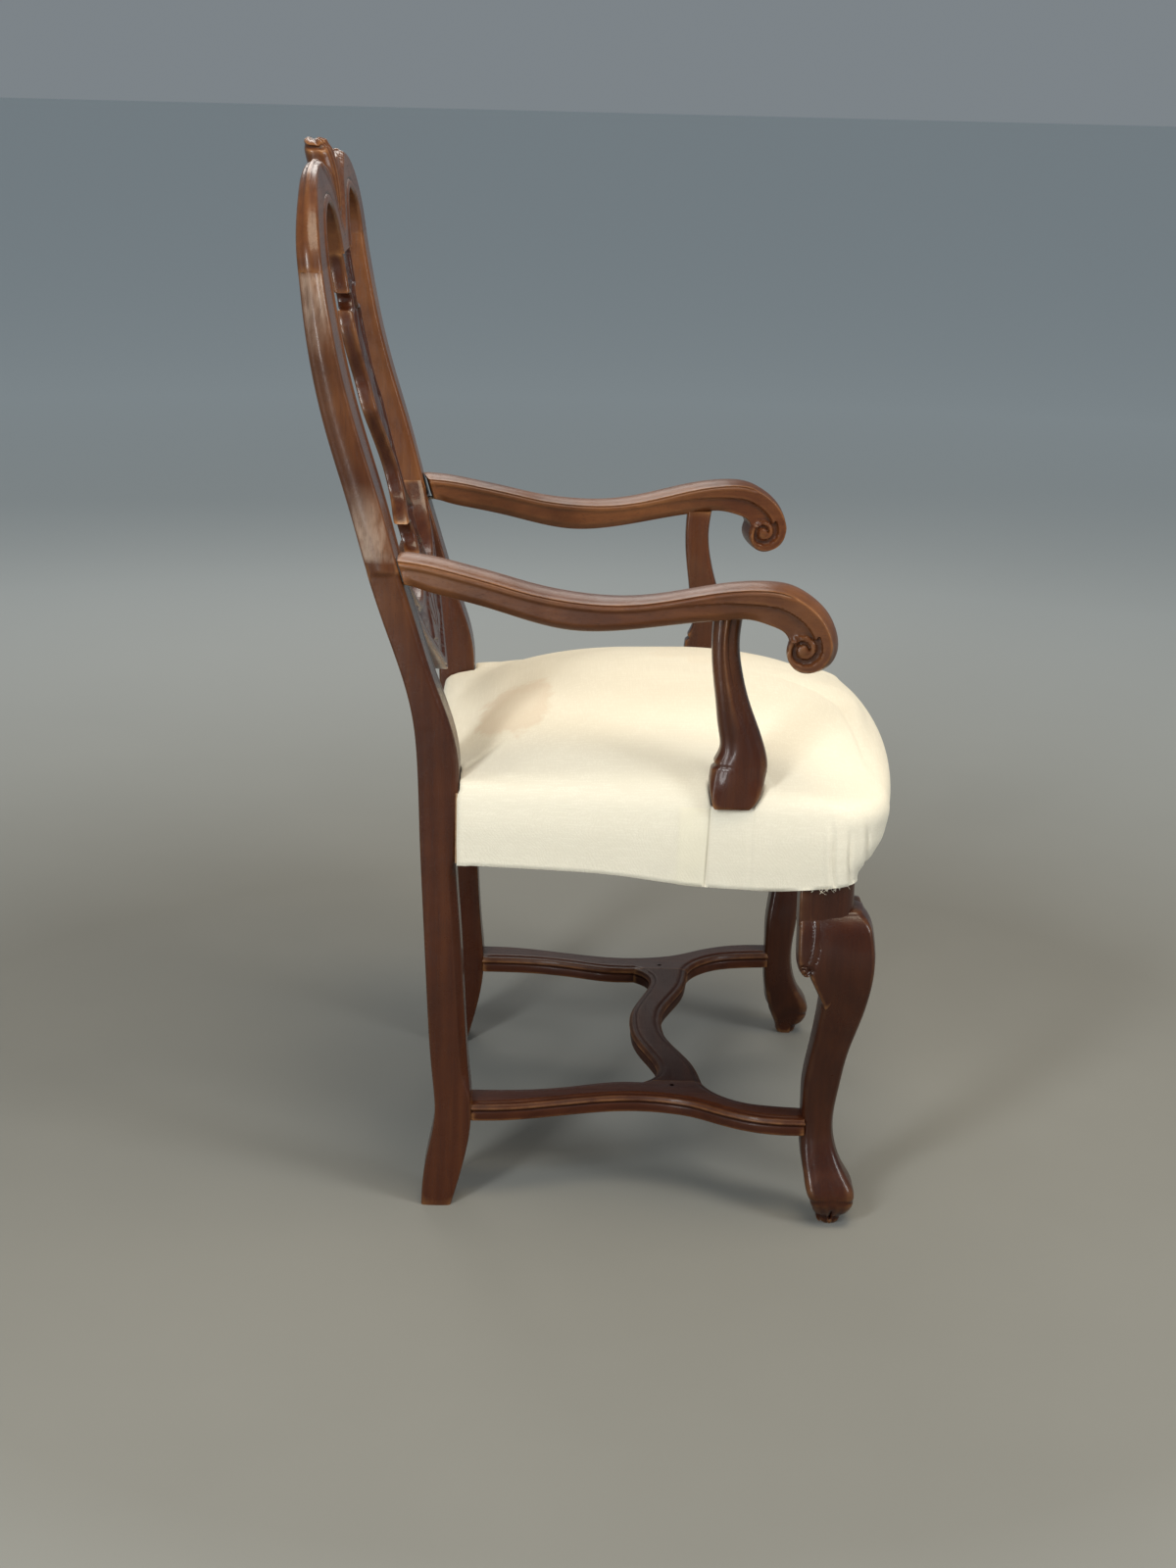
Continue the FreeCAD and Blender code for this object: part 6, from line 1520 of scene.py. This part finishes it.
# the outline's own outward direction
along_ = np.zeros(plain.shape[:2] + (2,))
along_[:, 1:-1] = plain[:, 2:, :2] - plain[:, :-2, :2]
along_[:, 0], along_[:, -1] = (1.0, 0.0), (-1.0, 0.0)
for k in (N_REAR, N_REAR + N_FOOT):
    along_[:, k - 1] = along_[:, k] = plain[:, k + 1, :2] - plain[:, k - 2, :2]
nrm = np.stack([along_[..., 1], -along_[..., 0]], -1) * -1.0
nrm /= np.maximum(np.linalg.norm(nrm, axis=2, keepdims=True), 1e-6)
lean = np.clip((plain[..., 2] - 470) / 34.0, 0.0, 1.0)[..., None]
out_dir = np.concatenate([nrm * (1 - lean), lean], 2)
out_dir /= np.linalg.norm(out_dir, axis=2, keepdims=True)
amount = (move * out_dir).sum(2)
amount = np.clip(amount - np.mean(amount[n_low:]), -2.5, 2.5)
amount = np.where(amount < 0, amount * (0.08 + 0.92 * smoothstep(472, 500, plain[..., 2])), amount)
amount = even(amount, 24)
calm = smoothstep(400, 430, plain[..., 2])
cols_ = np.arange(plain.shape[1])
beside = np.maximum(0, np.maximum(N_REAR - cols_, cols_ - (N_REAR + N_FOOT - 1)))
hold = smoothstep(0, 16, beside)[None, :] * np.ones((plain.shape[0], 1))
hold = 1 - (1 - hold) * smoothstep(452, 462, plain[..., 2]) * smoothstep(512, 500, plain[..., 2])
grid = sheet0 + out_dir * (amount * calm * hold * 0.8)[..., None]
grid[:, 0, 0] = grid[:, -1, 0] = 0.0
free = (cols_ < N_REAR - 1) | (cols_ > N_REAR + N_FOOT)
grid[n_low - 1, free] = grid[n_low, free]
flat_ = np.minimum(1.0, np.maximum(0.0, (sheet0[..., 2] - 478) / 30.0))
rows_up = grid.shape[0]
rng = np.random.default_rng(11)


def waves(y, k, seed):
    q = np.random.default_rng(seed)
    out = np.zeros_like(y)
    for _ in range(k):
        out += q.uniform(0.3, 1.0) * np.sin(y / q.uniform(9, 40) + q.uniform(0, 6.3))
    return out / k


def dress(g, near):
    """Folds, pleats and the seams on one side of the cover, as inward and
    downward shifts."""
    x, y, z = g[..., 0].ravel(), g[..., 1].ravel(), g[..., 2].ravel()
    nx, ny = nrm[..., 0].ravel(), nrm[..., 1].ravel()
    up = flat_.ravel()
    inn = np.zeros_like(x)
    # seam below the rear corner of the arm support, with the turned edge behind it
    side = smoothstep(240, 256, x) * smoothstep(467, 464, z)
    seam = np.clip(1 - np.abs(y - 146.6 - (464 - z) * 0.035 - 0.5 * np.sin(z / 13.0)) / 2.2, 0, 1)
    inn += side * 1.5 * seam
    inn += side * 0.45 * np.clip(1 - np.abs(y - 104.0 - 0.8 * np.sin(z / 11.0)) / 3.0, 0, 1)
    inn -= side * 0.55 * smoothstep(147.5, 150, y) * smoothstep(180, 175, y)
    # pleats at the front corner
    for yc, z0, z1, deep in ((22.0, 392, 462, 2.6), (4.0, 394, 458, 3.0), (-15.0, 400, 466, 2.4)):
        yy = yc + (z - 430) * (0.09 if near else 0.05) + 0.8 * np.sin(z / 9.0)
        m = np.clip(1 - np.abs(y - yy) / 3.4, 0, 1) ** 1.2 * smoothstep(z1, z1 - 38, z) * (x > 225)
        inn += deep * m
        inn -= 0.8 * np.clip(1 - np.abs(y - yy - 5.5) / 4.0, 0, 1) * smoothstep(z1, z1 - 30, z) * (x > 225)
    # gathers where the cloth is drawn under the front and side rails
    low = smoothstep(430, 386, z)
    near_front = 0.45 + 0.55 * smoothstep(70, 30, y)
    inn += low * near_front * (0.9 * waves(y + x * 0.8, 7, 3 if near else 5) + 0.35)
    # small puckers along the tack line
    inn += smoothstep(404, 386, z) * 0.25 * np.abs(np.sin((y + x * 0.6) / 11.0))
    # a crease that runs in from the stile, and shallow ones beside it
    down = 1.9 * press(x, y, z, [(219, 400, 479), (200, 389, 483), (189, 381, 486), (168, 361, 496), (150, 344, 502)], 5.0) \
        * smoothstep(140, 190, x)
    down += 1.2 * press(x, y, z, [(232, 398, 476), (246, 372, 478), (252, 340, 478)], 8.0)
    # the cover dips softly before and behind the foot of the arm support
    down += 2.6 * np.exp(-((x - 268) ** 2 + (y - 78) ** 2) / 17.0 ** 2) + \
        1.6 * np.exp(-((x - 266) ** 2 + (y - 160) ** 2) / 15.0 ** 2)
    down += up * (0.28 * waves(x * 0.30 + y * 0.20, 6, 8 if near else 9) + 0.2 * waves(y * 0.26 - x * 0.13, 6, 10))
    q = g.reshape(-1, 3).copy()
    keep = hold.ravel()
    inn = inn * (1 - up)
    q[:, 0] -= nx * inn
    q[:, 1] -= ny * inn
    q[:, 2] -= down * keep
    return q.reshape(g.shape)


def with_room(g):
    out = g.copy()
    for r in range(len(out)):
        out[r] = keep_room(out[r], r >= n_low)
    return out


right_half = with_room(dress(grid, True))       # the sitter's right, nearest the camera
left_half = with_room(dress(grid, False))
right_half[:, [0, -1], 0] = left_half[:, [0, -1], 0] = 0.0
mid_z = (right_half[:, [0, -1], 2] + left_half[:, [0, -1], 2]) / 2
mid_y = (right_half[:, [0, -1], 1] + left_half[:, [0, -1], 1]) / 2
for g in (right_half, left_half):
    g[:, [0, -1], 2], g[:, [0, -1], 1] = mid_z, mid_y


def ring_of(lft, rgt):
    return np.concatenate([lft, (rgt[1:-1] * np.array([-1, 1, 1]))[::-1]])


outer = [ring_of(a, b) for a, b in zip(left_half, right_half)]
# under side: round the hem, in under the rails, back and up their outside, and
# across over the hessian
edge = sheet0[0]
rl, rd = nearest_on(rail_line(), edge[:, :2])
inward = np.array([[0.0, 190.0]]) - rl
side_like = (edge[:, 1] > 62) & (edge[:, 1] < 392) & (edge[:, 0] > 230)
front_like = (edge[:, 1] < 0) & (edge[:, 0] < 236)
rear_like = (edge[:, 1] > 430) & (edge[:, 0] < 196)
fl = np.zeros((len(edge), 2))
fl[side_like] = (-15.0, 0.0)
fl[front_like] = (0.0, 15.0)
fl[rear_like] = (0.0, -12.0)
on = (side_like | front_like | rear_like)
rail_low = np.where(side_like, HEM(edge[:, 1]) + 1.6, 389.0)
ins = edge.copy()
ins[:, :2] = edge[:, :2] * 0.45 + rl * 0.55
ins[:, 2] = np.minimum(HEM(edge[:, 1]) - 0.2, rail_low - 1.35)
rows_in = []
rows_in.append(ins)
a = np.column_stack([rl + fl, np.where(on, rail_low - 1.3, ins[:, 2])])
b = np.column_stack([rl + fl, np.where(on, rail_low - 0.12, ins[:, 2] + 0.1)])
c = np.column_stack([rl, np.where(on, rail_low - 0.12, ins[:, 2] + 0.2)])
rows_in += [a, b, c]
for z in (400, 420, 440, 458, 464.6):
    rows_in.append(np.column_stack([rl, np.full(len(rl), float(z))]))
top = rl.copy()
i = np.arange(len(top))
foot_i = (i >= N_REAR) & (i < N_REAR + N_FOOT)
top[foot_i, 0] = np.minimum(top[foot_i, 0], FOOT_X - 1.5)
top[:, 1] = np.where((top[:, 0] > 204) & (top[:, 1] > 399), np.minimum(top[:, 1], STILE_HIGH - 1.0), top[:, 1])
rows_in.append(np.column_stack([top, np.full(len(rl), 464.7)]))
rows_in.append(np.column_stack([top[:, 0] * 0.93, 190 + (top[:, 1] - 190) * 0.93, np.full(len(rl), 471.2)]))
for s in (0.8, 0.5, 0.2):
    rows_in.append(np.column_stack([top[:, 0] * s, 190 + (top[:, 1] - 190) * s, np.full(len(rl), 471.2)]))
inner_rings = [ring_of(r, r) for r in rows_in][::-1]
crown = outer[-1]
mid = crown.mean(0)
crown_rings = []
for s in (0.75, 0.5, 0.25):
    q = mid + (crown - mid) * s
    q[:, 2] = crown[:, 2] * s + (1 - s) * (mid[2]) + 0.15 * (1 - s)
    crown_rings.append(q)
v, f = loft(inner_rings + outer + crown_rings)
seat = mesh_object("seat_pad", v, f, None)
muslin, nt, bs = muslin_cloth()
finish_piece(seat, muslin, "muslin", "muslin_cover", "seat_wadding", "second_stuffing", "first_stuffing",
             "stuffing_scrim", "front_edge_roll", wear=False)


def strands():
    """Loose threads at the raw edge under the front corners."""
    q = np.random.default_rng(5)
    parts = []
    for sx in (-1, 1):
        for _ in range(16):
            y = q.normal(28, 12)
            x = 296.5 - max(0.0, y) * 0.02 + q.uniform(-3, 2)
            z = float(HEM(y)) + q.uniform(0.0, 1.5)
            ln = q.uniform(3.0, 9.0)
            ax, ay = q.uniform(-0.5, 0.3), q.uniform(-0.9, 0.9)
            pts = []
            for t in np.linspace(0, 1, 6):
                pts.append((x + ax * ln * t, y + ay * ln * t, z - ln * (t - 0.35 * t * t) * 0.9))
            pts = np.array(pts)
            rings = []
            for p_ in pts:
                for_r = 0.22
                ang = np.arange(5) / 5 * 2 * math.pi
                rings.append(np.column_stack([p_[0] + for_r * np.cos(ang), p_[1] + for_r * np.sin(ang), np.full(5, p_[2])]))
            rings = np.array(rings)
            rings[..., 0] *= sx
            parts.append(loft(rings))
    return join_data(parts)


v, f = strands()
threads = finish_piece(mesh_object("raw_edge_threads", v, f, None), muslin, "muslin", wear=False)

# --------------------------------------------------- webbing and hessian
WEB_X = (-160.0, -80.0, 0.0, 80.0, 160.0)
WEB_Y = (50.0, 200.0, 275.0, 350.0)
WEB_HALF = (282.4, 266.8, 259.0, 251.1)


def strap(p0, p1, width, heights, seed):
    """A woven strap from p0 to p1 (plan), whose middle height is heights(t)."""
    p0, p1 = np.array(p0, float), np.array(p1, float)
    ln = float(np.linalg.norm(p1 - p0))
    d = (p1 - p0) / ln
    nn = np.array([-d[1], d[0]])
    ts = np.linspace(0, 1, int(ln / 4) + 1)
    q = np.random.default_rng(seed)
    ph = q.uniform(0, 6.3)
    rings = []
    cols = np.array([-1, -0.985, -0.95, -0.6, -0.3, 0, 0.3, 0.6, 0.95, 0.985, 1.0])
    half_t = 0.85
    prof = np.array([0.2, 0.7, 1, 1, 1, 1, 1, 1, 1, 0.7, 0.2]) * half_t
    for t in ts:
        c = p0 + d * ln * t
        zc = heights(t * ln)
        wd = width / 2 * (1 + 0.008 * math.sin(t * ln / 21.0 + ph))
        up = [(c[0] + nn[0] * wd * s, c[1] + nn[1] * wd * s, zc + h) for s, h in zip(cols, prof)]
        dn = [(c[0] + nn[0] * wd * s, c[1] + nn[1] * wd * s, zc - h) for s, h in zip(cols[::-1], prof[::-1])]
        rings.append(up + dn)
    v, f = loft(np.array(rings))
    return v, f, ln


def heights_along(start, crossings, first):
    """Over one strap and under the next: 466 is below, 467.9 above."""
    def z(s):
        at = start + s
        out = first
        best = None
        for c, over in crossings:
            w = float(np.clip(1 - (abs(at - c) - 27.0) / 11.0, 0, 1)) if abs(at - c) > 27 else 1.0
            w = w * w * (3 - 2 * w)
            tgt = 467.95 if over else 466.0
            out = out * (1 - w) + tgt * w
        return out
    return z


jute, _, _ = woven("jute_web", 420.0, (0.44, 0.33, 0.19), (0.27, 0.19, 0.10), rough=0.95, depth=0.0006, sheen=0.1)
for i, x in enumerate(WEB_X):
    fe = -8.0 - 20.0 * (1 - (x / 248.0) ** 2) + 5.0
    # at both ends the strap lies on the rail; between, it is woven over and under
    zf_ = heights_along(fe, [(y, (i + j) % 2 == 0) for j, y in enumerate(WEB_Y)], 466.0)
    ends = lambda s, z=zf_, L=433.0 - fe: 466.0 + (z(s) - 466.0) * float(smoothstep(4, 30, s) * smoothstep(L - 4, L - 26, s))
    v, f, ln = strap((x, fe), (x, 433.0), 50.0, ends, 40 + i)
    ob = finish_piece(mesh_object("web_long_%d" % i, v, f, 40), jute, "webbing", "webbing_lengthwise", wear=False)
for j, y in enumerate(WEB_Y):
    half_w = WEB_HALF[j]
    zf_ = heights_along(-half_w, [(x, (i + j) % 2 == 1) for i, x in enumerate(WEB_X)], 467.95)
    v, f, ln = strap((-half_w, y), (half_w, y), 50.0, zf_, 60 + j)
    ob = finish_piece(mesh_object("web_cross_%d" % j, v, f, 40), jute, "webbing", "webbing_crosswise", wear=False)

HES = [(197, 430), (197, 395), (248, 395), (262, 168), (262, 84), (286, 60), (286, 6), (244, -2), (120, -16), (0, -22)]
hes_loop = np.array(HES + [(-p[0], p[1]) for p in HES[-2::-1]], float)
hes_loop = np.concatenate([curve([a_, b_], 6.0)[:-1] for a_, b_ in zip(hes_loop, np.roll(hes_loop, -1, 0))])


def hes_low(p, d):
    """The cloth dips a little between the straps."""
    x, y = p[:, 0], p[:, 1]
    gx = np.min([np.abs(x - c) for c in WEB_X], axis=0)
    gy = np.min([np.abs(y - c) for c in WEB_Y], axis=0)
    return 0.55 * smoothstep(26, 36, gx) * smoothstep(26, 36, gy) * smoothstep(0, 30, d)


v, f = slab([hes_loop], lambda p, w: np.column_stack([p[:, 0], p[:, 1], 470.9 - w]), hes_low,
            lambda p, d: -hes_low(p, d), [], 7.0, rows=2, thick=lambda p: 0.9 + 0 * p[:, 0])
hessian, _, _ = woven("jute_cloth", 560.0, (0.42, 0.31, 0.17), (0.25, 0.17, 0.09), rough=0.95, depth=0.0006, sheen=0.1)
ob = finish_piece(mesh_object("hessian_sheet", v, f, None), hessian, "hessian", "seat_hessian", wear=False)
round(abs(float(area(hes_loop))) / 1e6, 5)

# -------------------------------------------------- what stays from the solids
def give(node, mat):
    ob = NODES[node]
    ob.data.materials.clear()
    ob.data.materials.append(mat)


for n in ("seat_front_rail", "seat_rear_rail"):
    give(n, RAIL_X)
for n in ("seat_side_rail_right", "seat_side_rail_left"):
    give(n, RAIL_Y)
for n in ("corner_block_front_right", "corner_block_front_left", "corner_block_rear_right", "corner_block_rear_left"):
    give(n, BLOCK)
for n in ("seat_rail_pegs", "back_pegs", "stretcher_pegs"):
    give(n, PEG)
for n in ("corner_block_screws", "arm_screws", "arm_support_screws"):
    give(n, SCREW)
for n in ("webbing_tacks", "cover_tacks"):
    give(n, TACK)

# ---------------------------------------------------------- floor and lights
me = bpy.data.meshes.new("floor")
me.from_pydata([(-40, -40, 0), (40, -40, 0), (40, 40, 0), (-40, 40, 0)], [], [(0, 1, 2, 3)])
floor = bpy.data.objects.new("floor", me)
bpy.context.scene.collection.objects.link(floor)
fm = bpy.data.materials.new("floor_paper")
nt, bs = nodes_of(fm)
tc = N(nt, "ShaderNodeTexCoord")
n1 = noise(nt, tc.outputs["Object"], 1.6, 4.0, 0.6)
sep = N(nt, "ShaderNodeSeparateXYZ")
link(nt, tc.outputs["Object"], sep.inputs[0])
paper = mix_colour(nt, n1, (0.215, 0.211, 0.192), (0.250, 0.245, 0.224))
far_off = math_node(nt, "SQRT", math_node(nt, "ADD", math_node(nt, "MULTIPLY", sep.outputs[0], sep.outputs[0]),
                                          math_node(nt, "MULTIPLY", sep.outputs[1], sep.outputs[1])))
link(nt, mix_colour(nt, ramp(nt, math_node(nt, "MULTIPLY", far_off, 0.1), [(0.09, 0.0), (0.30, 0.6), (0.60, 1.0)]),
                    paper, (0.80, 0.85, 0.86)), bs.inputs["Base Color"])
bs.inputs["Roughness"].default_value = 0.9
bs.inputs["Specular IOR Level"].default_value = 0.12
me.materials.append(fm)

world = bpy.data.worlds.new("studio")
bpy.context.scene.world = world
world.use_nodes = True
world.node_tree.nodes["Background"].inputs[0].default_value = (0.66, 0.74, 0.80, 1)
world.node_tree.nodes["Background"].inputs[1].default_value = 0.31


def area_light(name, loc, target, size, energy, colour=(1, 1, 1)):
    li = bpy.data.lights.new(name, "AREA")
    li.shape = "RECTANGLE"
    li.size, li.size_y = size
    li.energy = energy
    li.color = colour
    ob = bpy.data.objects.new(name, li)
    ob.location = loc
    ob.rotation_euler = (Vector(target) - Vector(loc)).to_track_quat("-Z", "Y").to_euler()
    bpy.context.scene.collection.objects.link(ob)
    return ob


area_light("over", (-0.7, -0.5, 2.7), (0, 0.05, 0.45), (1.6, 1.2), 45, (1.0, 0.865, 0.65))
area_light("side", (-2.7, 1.5, 2.1), (0, 0.1, 0.6), (0.45, 1.4), 54, (0.95, 1.0, 1.0))
area_light("front", (-1.6, -2.4, 1.8), (0, 0, 0.5), (0.8, 1.4), 37, (0.93, 0.98, 1.0))
area_light("low", (-2.45, 1.25, 0.42), (0, 0.1, 0.55), (0.35, 0.75), 11, (1.0, 1.0, 1.0))
area_light("far", (2.4, 0.4, 2.3), (0, 0, 0.6), (1.6, 1.2), 22, (1.0, 0.95, 0.88))

# ------------------------------------------------------------------- camera
cam_pos = np.array([-2.69433, 0.31154 - LINE / 1000, 1.2079])
yaw, pitch, roll = 0.0171, 0.29089, -0.02522
fw = np.array([math.cos(pitch) * math.cos(yaw), -math.cos(pitch) * math.sin(yaw), -math.sin(pitch)])
rt = np.array([-math.sin(yaw), -math.cos(yaw), 0.0])
dn = np.cross(fw, rt)
r2 = math.cos(roll) * rt + math.sin(roll) * dn
d2 = -math.sin(roll) * rt + math.cos(roll) * dn
cam = bpy.data.cameras.new("camera")
cam.lens, cam.sensor_width, cam.sensor_fit = 57.375, 36.0, "AUTO"
cam.clip_end = 100
co = bpy.data.objects.new("camera", cam)
m4 = Matrix.Identity(4)
for i, col in enumerate((r2, -d2, -fw)):
    for j in range(3):
        m4[j][i] = col[j]
for j in range(3):
    m4[j][3] = cam_pos[j]
co.matrix_world = m4
bpy.context.scene.collection.objects.link(co)
bpy.context.scene.camera = co
bpy.context.scene.view_settings.view_transform = "Standard"
bpy.context.scene.view_settings.look = "None"
